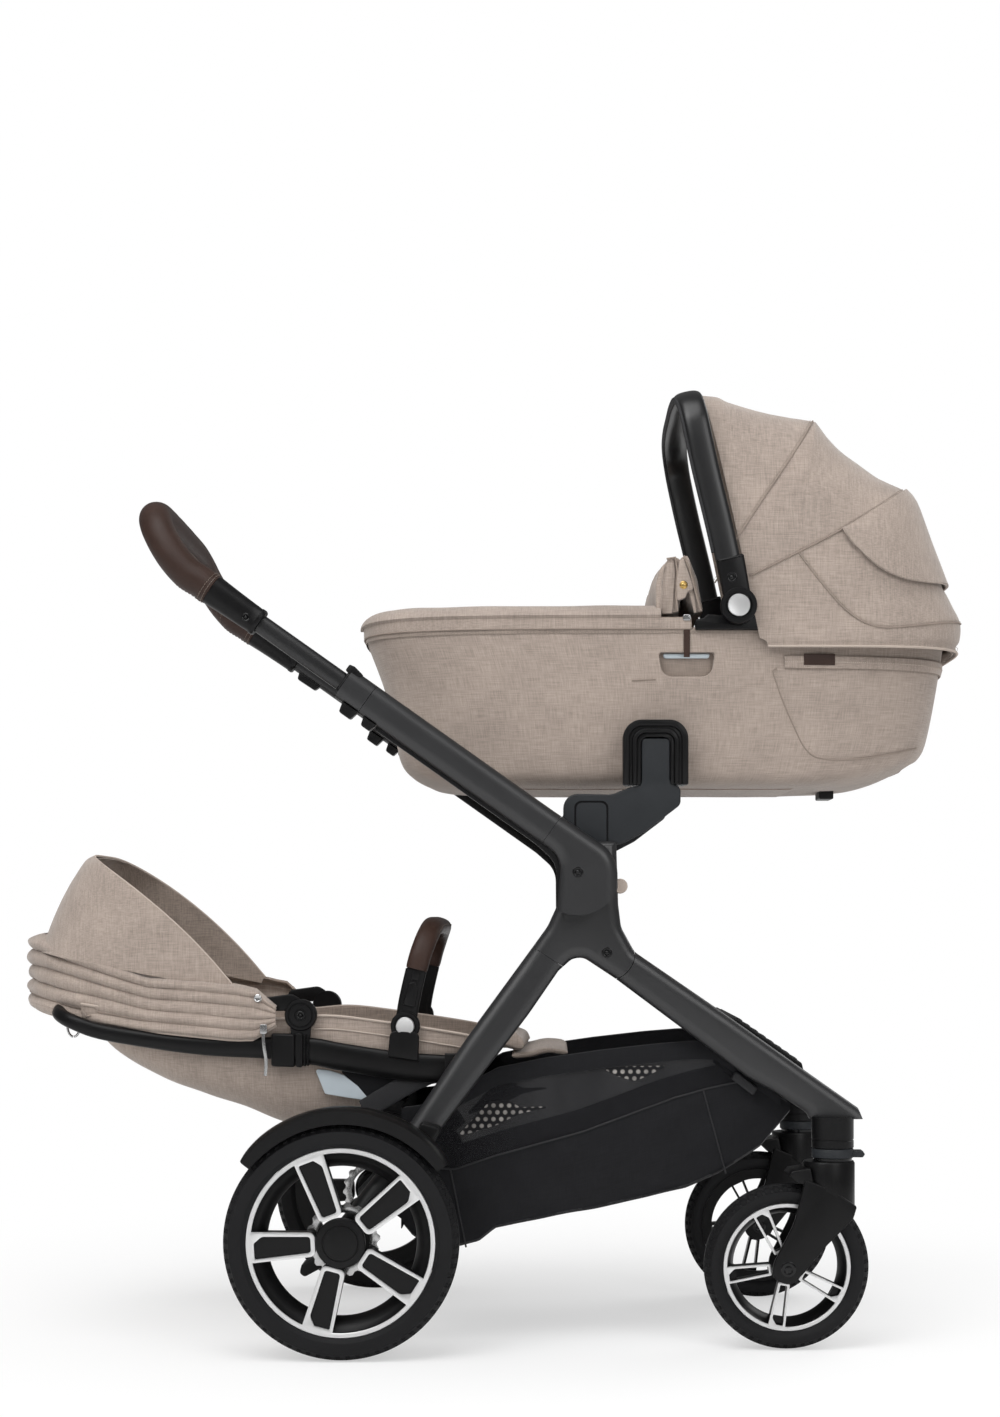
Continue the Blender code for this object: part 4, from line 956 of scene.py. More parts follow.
@dataclass
class Studio:
    """Camera, floor and soft lights of the product photograph; metres."""

    eye: Corner = (0.066, -3.099, 0.5413)
    lens: float = 58.33
    shift: Flat = (-0.0346, 0.1486)
    floor_size: float = 24.0
    horizon_light: float = 0.42
    sky_light: float = 0.74
    mirrored_light: float = 0.3
    floor_glow: float = 0.5
    fade_start: float = 0.3
    fade_end: float = 1.35

    def build(self) -> None:
        """Set up the stage."""
        scene = bpy.context.scene
        scene.view_settings.view_transform = "Standard"
        self.camera(scene)
        self.world(scene)
        self.floor()
        self.lamp("key", (-1.9, -2.8, 3.1), (0.0, 0.0, 0.75), 2.2, 44.0)
        self.lamp("front", (1.9, -3.1, 2.3), (0.1, 0.0, 0.7), 1.6, 28.0)
        self.lamp("top", (-0.5, -1.5, 3.3), (0.0, 0.0, 0.7), 2.2, 44.0)
        self.lamp("rim", (2.2, 1.7, 2.2), (0.1, 0.0, 0.7), 1.8, 20.0)
        log.info("the stage is set")

    def camera(self, scene: bpy.types.Scene) -> None:
        """Place the camera at the photograph's viewpoint."""
        data = bpy.data.cameras.new("camera")
        data.lens = self.lens
        data.sensor_width = 36.0
        data.shift_x, data.shift_y = self.shift
        data.clip_end = 60.0
        camera = placed("camera", data)
        camera.location = self.eye
        camera.rotation_euler = (math.radians(90.0), 0.0, 0.0)
        scene.camera = camera

    def world(self, scene: bpy.types.Scene) -> None:
        """Light the scene softly, most from above, and show white behind it."""
        world = bpy.data.worlds.new("white")
        nodes = Nodes(world)
        soft = nodes.tree.nodes["Background"]
        soft.inputs["Color"].default_value = WHITE
        where = nodes.node("ShaderNodeTexCoord").outputs["Generated"]
        split = nodes.node("ShaderNodeSeparateXYZ", Vector=where)
        height = nodes.node("ShaderNodeMapRange", Value=split.outputs[2], From_Min=-0.1, From_Max=0.8,
                            To_Min=self.horizon_light, To_Max=self.sky_light)
        rays = nodes.node("ShaderNodeLightPath").outputs
        dimmed = nodes.math("MULTIPLY_ADD", rays["Is Glossy Ray"], self.mirrored_light - 1.0, 1.0)
        nodes.feed(soft.inputs["Strength"], nodes.math("MULTIPLY", height.outputs[0], dimmed))
        bright = nodes.node("ShaderNodeBackground", Color=WHITE, Strength=1.0)
        seen = nodes.math("MAXIMUM", rays["Is Camera Ray"], rays["Is Transmission Ray"])
        mix = nodes.node("ShaderNodeMixShader")
        nodes.feed(nodes.tree.nodes["World Output"].inputs["Surface"],
                   nodes.chain(mix, seen, soft.outputs[0], bright.outputs[0]))
        scene.world = world

    def floor(self) -> None:
        """Lay a matt pale floor that fades to white away from the stroller."""
        shader = Shader("pale_floor")
        shader.surface.inputs["Base Color"].default_value = (0.87, 0.87, 0.87, 1.0)
        shader.surface.inputs["Roughness"].default_value = 1.0
        shader.surface.inputs["Specular IOR Level"].default_value = 0.0
        away = shader.vector("LENGTH", shader.coordinates(Space.OBJECT)).outputs["Value"]
        fade = shader.node("ShaderNodeMapRange", {"interpolation_type": "SMOOTHSTEP"}, Value=away,
                           From_Min=self.fade_start, From_Max=self.fade_end, To_Min=self.floor_glow)
        paths = shader.node("ShaderNodeLightPath")
        share = shader.math("MULTIPLY", fade.outputs[0], paths.outputs["Is Camera Ray"])
        white = shader.node("ShaderNodeEmission", Color=WHITE, Strength=1.0)
        mix = shader.node("ShaderNodeMixShader")
        shader.feed(shader.tree.nodes["Material Output"].inputs["Surface"],
                    shader.chain(mix, share, shader.surface.outputs[0], white.outputs[0]))
        bm = bmesh.new()
        bmesh.ops.create_grid(bm, x_segments=1, y_segments=1, size=self.floor_size / 2)
        mesh = mesh_of("floor", bm)
        mesh.materials.append(shader.material)
        floor = placed("floor", mesh)

    def lamp(self, name: str, where: Corner, aim: Corner, size: float, power: float) -> None:
        """Hang a square area lamp that faces a point."""
        data = bpy.data.lights.new(name, "AREA")
        data.size = size
        data.energy = power
        lamp = placed(name, data)
        lamp.location = where
        lamp.rotation_euler = (Vector(aim) - Vector(where)).to_track_quat("-Z", "Y").to_euler()


@dataclass
class Wheel:
    """Tyre, spoked rim and hub cap of one wheel, made on the +Y side.

    Attributes:
        kind: rear or front.
        side: the stroller's side.
        axle: (x, z) of the axle.
        y: distance of the wheel's middle from the stroller's.
        radius: outer radius of the tyre.
        rim: outer radius of the rim.
        ring: inner radius of the silver face ring.
        well: radius of the rim's stepped well.
        hub: radius of the hub cap.
        turn: angle of the first spoke, in degrees.
        spoke: (radius, sideways, fillet) corners of a spoke.
        panel: the same for the black panel inside it.
        slotted: whether the panels are cut through.
        blocks: how many tread blocks the tyre has.
        half: half the tyre's width.
    """

    kind: str
    side: Side
    axle: Flat
    y: float
    radius: float
    rim: float
    ring: float
    well: float
    hub: float
    turn: float
    spoke: Sequence[Corner]
    panel: Sequence[Corner]
    slotted: bool
    blocks: int
    half: float = 22.5

    @property
    def body(self) -> str:
        """The body the wheel's pieces turn with."""
        return f"{self.kind}_wheel_{self.side.tag}"

    @property
    def centre(self) -> Corner:
        """The wheel's middle on the +Y side."""
        return (self.axle[0], self.y, self.axle[1])

    @property
    def face(self) -> float:
        """Distance of the rim's face from the wheel's middle."""
        return self.half * 0.68

    def build(self) -> None:
        """Make every piece of the wheel."""
        self.tyre()
        self.barrel()
        self.trim()
        self.cap()

    def spoke_outline(self, corners: Sequence[Corner], k: int) -> list[Flat]:
        """Turn (radius, sideways, fillet) corners into spoke k's outline."""
        angle = math.radians(self.turn + 72 * k)
        c, s = math.cos(angle), math.sin(angle)
        x0, z0 = self.axle
        placed = [(x0 + r * c - w * s, z0 + r * s + w * c, fillet) for r, w, fillet in corners]
        return rounded(placed, 5)

    def tyre(self) -> None:
        """Round tyre with three ribs and a sipe between its tread blocks."""
        r, h, bead = self.radius, self.half, self.rim + 0.4
        wall = [(bead, h * 0.7), (bead + 2, h * 0.8), (bead + 5.5, h * 0.93), (r - 12, h),
                (r - 8.4, h * 0.985), (r - 7.8, h * 0.93), (r - 4.4, h * 0.8), (r - 2.0, h * 0.6),
                (r - 1.0, h * 0.44), (r - 2.4, h * 0.4), (r - 2.4, h * 0.32), (r - 0.2, h * 0.28),
                (r, h * 0.1)]
        profile = wall + [(a, -d) for a, d in reversed(wall)]
        bm = turned(profile, self.centre, self.blocks * 2)
        centre = Vector(self.centre)
        shoulders = []
        for face in bm.faces:
            away = face.calc_center_median() - centre
            sideways = abs(away.y)
            reach = math.hypot(away.x, away.z)
            step = int(math.degrees(math.atan2(away.z, away.x)) % 360.0 / 180.0 * self.blocks)
            if reach > r - 6.5 and h * 0.5 < sideways < h * 0.9 and step % 2:
                shoulders.append(face)
        bmesh.ops.inset_individual(bm, faces=shoulders, thickness=1.1, depth=-0.9)
        piece(f"{self.kind}_tyre_{self.side.tag}_tread", mirrored(bm, self.side), RUBBER, self.body,
              [f"{self.kind}_tyre_{self.side.tag}"], sharp=30)

    def barrel(self) -> None:
        """Stepped black rim, hub and spoke bodies."""
        rim, ring, well, h = self.rim, self.ring, self.well, self.face
        step = (ring - well) / 18
        profile = [(rim, -h), (rim, h - 2.5), (ring - 0.2, h - 1.2), (ring - 1.4 * step, h - 3.6),
                   (ring - 6 * step, h - 6.2), (ring - 12.5 * step, h - 14), (well + step, h - 20),
                   (well, h - 25), (well + step, -h)]
        parts = [turned(profile, self.centre, 96)]
        drum = [(0, -18.6), (self.hub - 6, -18.6), (self.hub - 3, -12), (self.hub - 3, 11), (0, 11)]
        parts.append(turned(drum, self.centre, 48))
        top = self.y + h - 3.0
        for k in range(5):
            outline = self.spoke_outline(self.spoke, k)
            if self.slotted:
                parts.append(plate([outline, self.spoke_outline(self.panel, k)], top - 17, top, 0.4))
                web = [(self.well - 2, -9.0, 2), (self.ring - 3, -10.5, 1), (self.ring - 3, 10.5, 1),
                       (self.well - 2, 9.0, 2)]
                parts.append(slab(self.spoke_outline(web, k), top - 15, top - 4))
            else:
                parts.append(slab(outline, top - 17, top))
        name = f"{self.kind}_rim_{self.side.tag}"
        piece(f"{name}_barrel", mirrored(joined(parts), self.side), PLASTIC, self.body, [name], sharp=35)

    def trim(self) -> None:
        """Silver face ring and spoke outlines."""
        h = self.face
        lip = [(self.ring, h - 2.2), (self.rim, h - 2.2), (self.rim, h - 0.3), (self.rim - 0.5, h + 0.2),
               (self.ring + 0.6, h + 0.2), (self.ring, h - 0.4)]
        parts = [turned(lip, self.centre, 128)]
        for k in range(5):
            outlines = [self.spoke_outline(self.spoke, k), self.spoke_outline(self.panel, k)]
            parts.append(plate(outlines, self.y + h - 3.2, self.y + h + 0.1, 0.45))
        piece(f"{self.kind}_trim_{self.side.tag}", mirrored(joined(parts), self.side), SILVER, self.body,
              sharp=35)

    def cap(self) -> None:
        """Stepped hub cap; the rear wheel also has a toothed brake ring behind it."""
        r = self.hub
        h = self.face
        cap = [(0, h - 6), (r - 0.4, h - 6), (r - 0.4, h + 0.6), (r - 1.6, h + 1.9), (r * 0.74, h + 2.4),
               (r * 0.725, h + 1.4), (r * 0.69, h + 1.4), (r * 0.675, h + 2.6), (r * 0.4, h + 3.3),
               (0, h + 3.4)]
        piece(f"{self.kind}_cap_{self.side.tag}", mirrored(turned(cap, self.centre, 64), self.side),
              PLASTIC, self.body)
        if self.kind != "rear":
            return
        teeth = []
        for k in range(72):
            reach = 46.0 if k % 4 < 2 else 42.5
            angle = 2 * math.pi * k / 72
            teeth.append((self.axle[0] + reach * math.cos(angle), self.axle[1] + reach * math.sin(angle)))
        bore = arc(self.axle, 33.0, 0, 352.5, 48)
        ring = plate([teeth, bore], self.y - 22.0, self.y - 19.4, 0.3)
        piece(f"brake_ring_{self.side.tag}", mirrored(ring, self.side), STEEL, self.body)


@dataclass
class Caster:
    """Fork, swivel lock and housing of one front wheel."""

    side: Side
    fender_reach: float = 107.8
    blade_gap: float = 24.0
    blade_wall: float = 8.0

    def build(self) -> None:
        """Make every piece of the caster."""
        self.fork()
        self.lock()
        self.housing()

    def post(self, profile: Sequence[Flat], x: float = SWIVEL_X) -> Mesh:
        """Turn a (radius, z) profile about a vertical axis on the +Y side."""
        return turned(profile, (x, TRACK_FRONT, 0.0), 64, NORTH)

    def fork(self) -> None:
        """Round crown cut over the tyre, two blades and their bolts."""
        tag = self.side.tag
        body = f"fork_{tag}"
        crown = self.post([(0, 160), (32.8, 160), (32.8, 234), (31.4, 236.6), (0, 236.6)], SWIVEL_X - 5)
        lip = [(366, 221), (370, 226), (393, 230), (400, 199), (389, 199)]
        parts = [crown, slab(lip, TRACK_FRONT - 30, TRACK_FRONT + 30, 2.0)]
        obj = piece(f"fork_crown_{tag}", mirrored(joined(parts), self.side), PLASTIC, body, [f"fork_{tag}"])
        y = TRACK_FRONT * self.side.value
        tyre_room = rod(self.fender_reach, -60, 60, (FRONT_AXLE[0], y, FRONT_AXLE[1]), 96)
        carve(obj, tyre_room)
        outline = rounded([(386, 216, 3), (420, 203, 30), (451, 182, 4), (446, 166, 8), (412, 132, 60),
                           (384, 98, 19), (368, 82, 19), (344, 92, 19), (347, 112, 30), (372, 160, 80)], 7)
        blades = []
        for shift in (-1, 1):
            inner = TRACK_FRONT + shift * self.blade_gap
            outer = TRACK_FRONT + shift * (self.blade_gap + self.blade_wall)
            blades.append(slab(outline, inner, outer, 1.8))
        piece(f"fork_blades_{tag}", mirrored(joined(blades), self.side), PLASTIC, body)
        stem = self.post([(0, 230), (24.4, 230), (24.4, 240.3), (9.6, 240.3), (9.6, 284), (0, 284)])
        piece(f"fork_stem_{tag}", mirrored(stem, self.side), GLOSSY, body)
        bolts = []
        for shift in (-1, 1):
            face = (FRONT_AXLE[0], TRACK_FRONT + shift * (self.blade_gap + self.blade_wall), FRONT_AXLE[1])
            cup = [(4.6, -0.6), (9.6, -0.6), (9.6, 0.3), (8.9, 0.7), (5.4, 0.7), (4.6, 0.2)]
            bolts.append(turned([(r, d * shift) for r, d in cup], face, 36))
            bolts.append(turned([(r, d * shift) for r, d in [(0, -0.5), (4.3, -0.5), (4.3, 0.2), (0, 0.9)]],
                                face, 24))
        piece(f"fork_bolts_{tag}", mirrored(joined(bolts), self.side), GLOSSY, body)
        axle = rod(4.8, -24.5, 24.5, (FRONT_AXLE[0], TRACK_FRONT, FRONT_AXLE[1]), 24)
        piece(f"fork_axle_{tag}", mirrored(axle, self.side), STEEL, body)

    def lock(self) -> None:
        """Swivel lock band with its tapered lever."""
        tag = self.side.tag
        band = self.post([(11, 240.6), (25.4, 240.6), (26.4, 241.6), (26.4, 251.2), (25.4, 252.4),
                          (11, 252.4)])
        lever = block([(SWIVEL_X + 12, 241.5, 1), (SWIVEL_X + 37, 241.2, 2), (SWIVEL_X + 40, 245, 2),
                       (SWIVEL_X + 37, 249.8, 2), (SWIVEL_X + 12, 249.8, 1)], TRACK_FRONT - 10,
                      TRACK_FRONT + 10, 1.5)
        piece(f"swivel_band_{tag}", mirrored(joined([band, lever]), self.side), SLATE, f"lock_{tag}",
              [f"swivel_lock_{tag}"], slot="black_plastic")

    def housing(self) -> None:
        """Swivel housing with two shallow grooves."""
        tag = self.side.tag
        profile = [(11, 252.8), (25.6, 252.8), (26.6, 253.8), (26.6, 262), (26.0, 262.6), (26.0, 264),
                   (26.6, 264.6), (26.6, 292), (11, 292)]
        piece(f"caster_housing_{tag}", mirrored(self.post(profile), self.side), PLASTIC, "front_frame",
              [f"caster_{tag}"])


@dataclass
class SideFrame:
    """One side's arm, hub, legs, adaptor and mudguard."""

    side: Side
    fender_radius: float = 148.4
    fender_start: float = 36.5
    fender_sweep: float = 105.5
    seam: float = 0.4

    def build(self) -> None:
        """Make every piece of the side."""
        self.castings()
        self.arm()
        self.adaptor()
        self.fender()

    def whole_outline(self) -> list[Flat]:
        """Outline of the hub and both legs as one shape."""
        right = [(90, 640, 0), (151, 640, 0), (153.5, 560, 60), (157, 531, 30), (174, 500, 22),
                 (295, 417, 300), (400, 342.5, 120), (520, 258, 0), (486, 214, 0), (410, 262, 20),
                 (391, 297, 20), (347, 325, 60), (316, 342, 60), (150, 466, 60), (109, 493, 20),
                 (95, 491, 16), (78, 476, 20), (40, 421, 200), (-61, 289, 200), (-110, 222, 200),
                 (-158, 168, 40)]
        foot = [(*p, 0.0) for p in arc(REAR_AXLE, 22.0, 12, -192, 14)]
        left = [(-192, 170, 30), (-150, 224, 200), (-106, 289, 200), (-41, 387, 200), (46, 506, 90),
                (64, 531, 60), (80, 566, 60), (82, 600, 60)]
        return rounded(right + foot + left, 5)

    def castings(self) -> None:
        """Hub, rear leg and front leg, cut from one shape so that their faces run on."""
        tag = self.side.tag
        whole = cushioned(self.whole_outline(), HUB_IN, HUB_OUT, 15.0, 10.5)
        seam_point, seam_normal = Vector((66.0, 0.0, 493.0)), Vector((-0.55, 0.0, -0.835)).normalized()
        rear = cut_away(whole.copy(), seam_point + seam_normal * self.seam, -seam_normal)
        rear = cut_away(rear, (250.0, 0.0, 300.0), (1.0, 0.0, 0.0))
        for level in (500.0, 480.0, 440.0, 380.0, 320.0, 260.0, 200.0, 145.0):
            geom = list(rear.verts) + list(rear.edges) + list(rear.faces)
            bmesh.ops.bisect_plane(rear, geom=geom, dist=0.001, plane_co=(0, 0, level), plane_no=(0, 0, 1))
        for vert in rear.verts:
            vert.co.y += splay(vert.co.z)
        piece(f"rear_leg_{tag}_tube", mirrored(rear, self.side), COATED, "chassis", [f"rear_leg_{tag}"])
        past_hinge = (HINGE_LEG[0] + 16.0, 0.0, HINGE_LEG[1] - 11.0)
        front = cut_away(whole.copy(), past_hinge, (-0.82, 0.0, 0.57))
        front = cut_away(front, (420.0, 0.0, 289.0), (0.0, 0.0, -1.0))
        front = cut_away(front, (457.5, 0.0, 300.0), (0.93, 0.0, 0.36))
        leg = piece(f"front_leg_{tag}_tube", mirrored(front, self.side), COATED, "front_frame",
                    [f"front_leg_{tag}"])
        centre = (HINGE_LEG[0], 0.0, HINGE_LEG[1])
        carve(leg, rod(35.8, -THROUGH, THROUGH, centre, 96))
        hub_mesh = cut_away(whole, seam_point, seam_normal)
        hub = piece(f"hub_{tag}_casting", mirrored(hub_mesh, self.side), COATED, "chassis", [f"hub_{tag}"])
        reach = arc(HINGE_LEG, 35.0, 6, -92, 40)
        region = reach + [(150, 120), (640, 100), (640, 480), (230, 530)]
        carve(hub, slab(region, -THROUGH, THROUGH))
        screw(HINGE_LEG, HUB_OUT, self.side, "chassis", f"leg_screw_{tag}")
        # Knuckle and a block across the rear leg's seam, painted near-black instead of the frame coat, so
        # the seam gap shows painted shade.
        knuckle = slab(arc(HINGE_LEG, 16.0, 0, 345, 24), HUB_IN + 3, HUB_OUT - 3)
        seam_shade_block = slab([(45, 494), (66, 484), (86, 499), (66, 506)], HUB_IN + 4, HUB_OUT - 4)
        piece(f"hub_{tag}_core", mirrored(joined([knuckle, seam_shade_block]), self.side), GLOSSY, "chassis",
              slot="frame_tube")

    def arm(self) -> None:
        """Push arm with its elbow, collar and screw."""
        tag = self.side.tag
        corners = [(*on_arm(-70, 21), 0), (*on_arm(268, 21), 110), (151.5, 622, 46), (153.5, 500, 0),
                   (73, 500, 0), (80, 619, 34), (*on_arm(276, -21), 60), (*on_arm(-70, -21), 0)]
        arm = cushioned(rounded(corners, 8), ARM_IN, ARM_OUT, 16.0, 11.0)
        slope = Vector((math.cos(ARM_SLOPE), 0.0, -math.sin(ARM_SLOPE)))
        clamp = cut_away(cut_away(arm.copy(), arm_point(-1.6), slope), arm_point(-37.0), -slope)
        arm = cut_away(arm, arm_point(-1.0), -slope)
        cut = arm_point(281.0)
        upper = cut_away(arm.copy(), cut - slope * self.seam, slope)
        lower = cut_away(arm, cut, -slope)
        piece(f"arm_{tag}_tube", mirrored(upper, self.side), COATED, "push_frame", [f"arm_{tag}"])
        elbow = piece(f"arm_{tag}_elbow", mirrored(lower, self.side), COATED, "push_frame")
        below = arc(HINGE_ARM, 54.0, -14, -128, 48) + [(40, 545), (40, 460), (210, 460), (210, 585)]
        carve(elbow, slab(below, -THROUGH, THROUGH))
        pin = slab(arc(HINGE_ARM, 20.0, 0, 345, 24), HUB_OUT - 2, ARM_IN + 1)
        piece(f"arm_{tag}_washer", mirrored(pin, self.side), PLASTIC, "push_frame")
        screw(HINGE_ARM, ARM_OUT, self.side, "push_frame", f"arm_screw_{tag}")
        self.collar(clamp)

    def collar(self, clamp: Mesh) -> None:
        """Clamp at the arm's top with its latch blocks underneath."""
        tag = self.side.tag
        lip = block([(*on_arm(-24, 18), 2), (*on_arm(-24, 22), 4), (*on_arm(-38, 24.5), 3),
                     (*on_arm(-45, 23), 2), (*on_arm(-45, 14), 2), (*on_arm(-30, 12), 2)], ARM_IN + 3,
                    ARM_OUT - 3, 2.0)
        ring = block([(*on_arm(-34, 15), 4), (*on_arm(-34, -15), 4), (*on_arm(-41.5, -14), 4),
                      (*on_arm(-41.5, 14), 4)], ARM_IN + 2.5, ARM_OUT - 3.0, 3.5, 3)
        piece(f"collar_{tag}_clamp", mirrored(clamp, self.side), COATED, "push_frame", [f"collar_{tag}"],
              slot="black_plastic")
        piece(f"collar_{tag}_lip", mirrored(joined([lip, ring]), self.side), PLASTIC, "push_frame")
        blocks = []
        for start, stop, drop in ((-26, -2, 33), (6, 26, 31)):
            shape = [(*on_arm(start, -18), 1), (*on_arm(stop, -18), 1), (*on_arm(stop - 3, -drop), 3),
                     (*on_arm(start + 4, -drop), 3)]
            blocks.append(block(shape, ARM_IN + 4, ARM_OUT - 4, 2.0))
        rail = [(*on_arm(24, -15), 2), (*on_arm(282, -15), 40), (85, 612, 30), (85, 556, 2), (76, 553, 3),
                (75.5, 612, 36), (*on_arm(272, -25.5), 60), (*on_arm(28, -25.5), 3)]
        blocks.append(block(rail, ARM_IN + 2, ARM_OUT - 9, 1.5))
        piece(f"collar_{tag}_latch", mirrored(joined(blocks), self.side), PLASTIC, "push_frame")

    def adaptor(self) -> None:
        """Carrycot adaptor that stands on the hub."""
        tag = self.side.tag
        outline = [(183, 770, 5), (219, 770, 5), (219, 716, 4), (232.5, 707, 8), (232.5, 686, 10),
                   (188, 652, 40), (158, 636.4, 12), (84, 636.4, 4), (84, 700, 18), (146, 699, 30),
                   (168, 708, 10), (183, 711, 6)]
        body = block(outline, 180.0, 196.0, 2.2, 3)
        piece(f"adaptor_{tag}_post", mirrored(body, self.side), SLATE, "chassis", [f"adaptor_{tag}"])
        # A thin near-black ring laid on the slate face paints the shade of a groove; the face is not cut
        # in.
        painted_groove_shade = [(98, 637, 2), (141, 637, 2), (141, 691, 9), (98, 691, 9)]
        inner = [(100.4, 638.5, 2), (138.6, 638.5, 2), (138.6, 688.6, 7.5), (100.4, 688.6, 7.5)]
        frame = plate([rounded(painted_groove_shade), rounded(inner)], 195.4, 196.2)
        piece(f"adaptor_{tag}_groove", mirrored(frame, self.side), GLOSSY, "chassis", slot="slate_plastic")

    def fender(self) -> None:
        """Mudguard with a rolled lip, and its strut from the rear leg."""
        tag = self.side.tag
        section = [(-6, -24), (9, -25), (12.5, -21), (14, -12), (14.4, 0), (14, 12), (12.5, 21), (9, 25.5),
                   (-6, 25.5), (-6.4, 24), (8, 22), (10.5, 12), (11, 0), (10.5, -12), (8, -21.5),
                   (-6.4, -22.5)]
        middle = (REAR_AXLE[0] + 3, REAR_AXLE[1] + 2.5)

        def place(u: float, v: float) -> Vector:
            angle = math.radians(self.fender_start + self.fender_sweep * u)
            offset, y = section[round(v * len(section)) % len(section)]
            fade = 1.0 - 0.25 * (2 * abs(u - 0.5)) ** 8
            reach = self.fender_radius + (1.0 + offset) * fade
            x, z = middle[0] + reach * math.cos(angle), middle[1] + reach * math.sin(angle)
            return Vector((x, TRACK_REAR + y, z))

        bm = capped(surface(place, 72, len(section), welded=True))
        strut = block([(-104, 266, 3), (-84, 258, 3), (-66, 282, 4), (-92, 290, 4)], 226.0, 262.0, 3.0)
        piece(f"fender_{tag}_guard", mirrored(joined([bm, strut]), self.side), PLASTIC, "chassis",
              [f"fender_{tag}"], sharp=50)


@dataclass
class Handle:
    """Telescoping tubes, sleeves and the leather grip."""

    wall: float = 20.0
    steps: int = 6

    def build(self) -> None:
        """Make every piece of the handle."""
        for side in Side:
            self.tube(side)
            self.sleeve(side)
        self.grip()

    def tube(self, side: Side) -> None:
        """Oval tube that slides in the arm."""
        path = [arm_point(d) for d in (-170, -130, -60, 20, 95)]
        bm = bar(path, (12.0, 9.0), arm_point(0, 1) - arm_point(0), 32, 2.4)
        piece(f"handle_tube_{side.tag}_oval", mirrored(bm, side), COATED_BLACK, "handle",
              [f"handle_tube_{side.tag}"], slot="frame_tube")

    def sleeve(self, side: Side) -> None:
        """Folding joint below the grip, with its bands and screw."""
        tag = side.tag
        up = arm_point(0, 1) - arm_point(0)
        sections = [(-166.5, 14.5, 11.5), (-167, 16.6, 13.2), (-169, 17.8, 14.4), (-173, 17.8, 14.4),
                    (-175, 17.0, 13.8), (-186, 17.3, 14.2), (-205, 17.9, 15.2), (-222, 18.6, 16.4),
                    (-240, 19.6, 18.0)]
        path = [arm_point(d) for d, _a, _b in sections]
        sizes = [(a, b) for _d, a, b in sections]
        last = len(sizes) - 1
        parts = [bar(path, lambda t: sizes[round(t * last)], up, 48, 2.5)]
        if side is Side.FAR:
            parts.append(block([(*on_arm(-120, -8), 2), (*on_arm(-158, -8), 2), (*on_arm(-154, -20), 4),
                                (*on_arm(-124, -19), 4)], 212.0, 228.0, 2.5))
        piece(f"sleeve_{tag}_joint", mirrored(joined(parts), side), PLASTIC, "handle", [f"sleeve_{tag}"])
        screw(on_arm(-184.0, -4.0), 233.8, side, "handle", f"sleeve_screw_{tag}", 2.6)

    def path(self) -> list[Vector]:
        """Centre line of the grip from the near sleeve to the far one."""
        start = [arm_point(-240.0, 0.0), arm_point(-248.0, 0.0), arm_point(-258.0, 0.4)]
        bow = [Vector((-387, 220, 975)), Vector((-402, 219, 991)), Vector((-415, 216, 1010)),
               Vector((-425.5, 209, 1030)), Vector((-432, 193, 1045)), Vector((-435.5, 165, 1054)),
               Vector((-437, 120, 1058)), Vector((-437, 0, 1058.5))]
        half = start + bow
        near = [Vector((p.x, -p.y, p.z)) for p in half]
        return curve_through(over(near), self.steps)

    def grip(self) -> None:
        """Leather grip with a closing seam, its stitches and two end cuffs."""
        path = self.path()
        last = len(path) - 1

        def size(t: float) -> Flat:
            edge = min(t, 1 - t) * last
            swell = self.wall + 0.5 * smooth_step(edge / 20.0)
            return (swell * (0.93 if edge < 0.5 else 1.0), swell * (0.93 if edge < 0.5 else 1.0))

        bm = bar(path, size, (0.0, 1.0, 0.0), 40)
        piece("handle_leather", rumple(bm, 34.0, 0.35), HIDE, "handle", ["handle_grip"], sharp=60)
        self.seams(path)

    def seams(self, path: list[Vector]) -> None:
        """Stitched cuffs at both ends and the seam along the grip's underside."""
        parts = []
        for index in (3, 6):
            for spots in (path, list(reversed(path))):
                centre = spots[index]
                tangent = (spots[index + 1] - spots[index - 1]).normalized()
                flat = ACROSS.copy()
                flat = (flat - tangent * flat.dot(tangent)).normalized()
                cross = tangent.cross(flat)
                ring = []
                for k in range(49):
                    angle = 2 * math.pi * k / 48
                    reach = self.wall + 0.55
                    ring.append(centre + flat * (reach * math.cos(angle)) + cross
                                * (reach * math.sin(angle)))
                parts.append(stitches(ring, 2.4, 1.3, 0.45))
        under = []
        for i in range(4, len(path) - 4):
            tangent = (path[i + 1] - path[i - 1]).normalized()
            inner = Vector((0.62, 0.0, -0.78))
            inner = (inner - tangent * inner.dot(tangent)).normalized()
            under.append(path[i] + inner * (self.wall + 0.62))
        parts.append(stitches(under, 3.0, 2.0, 0.5))
        piece("handle_stitches", joined(parts), THREAD, "handle")


def area_of(bm: Mesh) -> float:
    """One-sided area of a surface, in square metres."""
    return sum(face.calc_area() for face in bm.faces) * MM * MM


@dataclass(frozen=True)
class Cut:
    """Flat cut of a sheet of cloth, measured on its modelled surface, in metres."""

    width: float
    length: float
    area: float

    @classmethod
    def of(cls, bm: Mesh, count: int = 1) -> Cut:
        """Measure a surface before it gets its thickness; count says how many alike make the piece."""
        layer = bm.loops.layers.uv.verify()
        marks = [loop[layer].uv.copy() for face in bm.faces for loop in face.loops]
        width = max(mark.x for mark in marks) * count
        length = max(mark.y for mark in marks)
        return cls(width, length, min(area_of(bm) * count, width * length))

    def declare(self, obj: bpy.types.Object, held: str, rests_on: Sequence[str]) -> None:
        """Take the piece, how it is held and what it rests on; nothing is recorded."""
        list(rests_on)


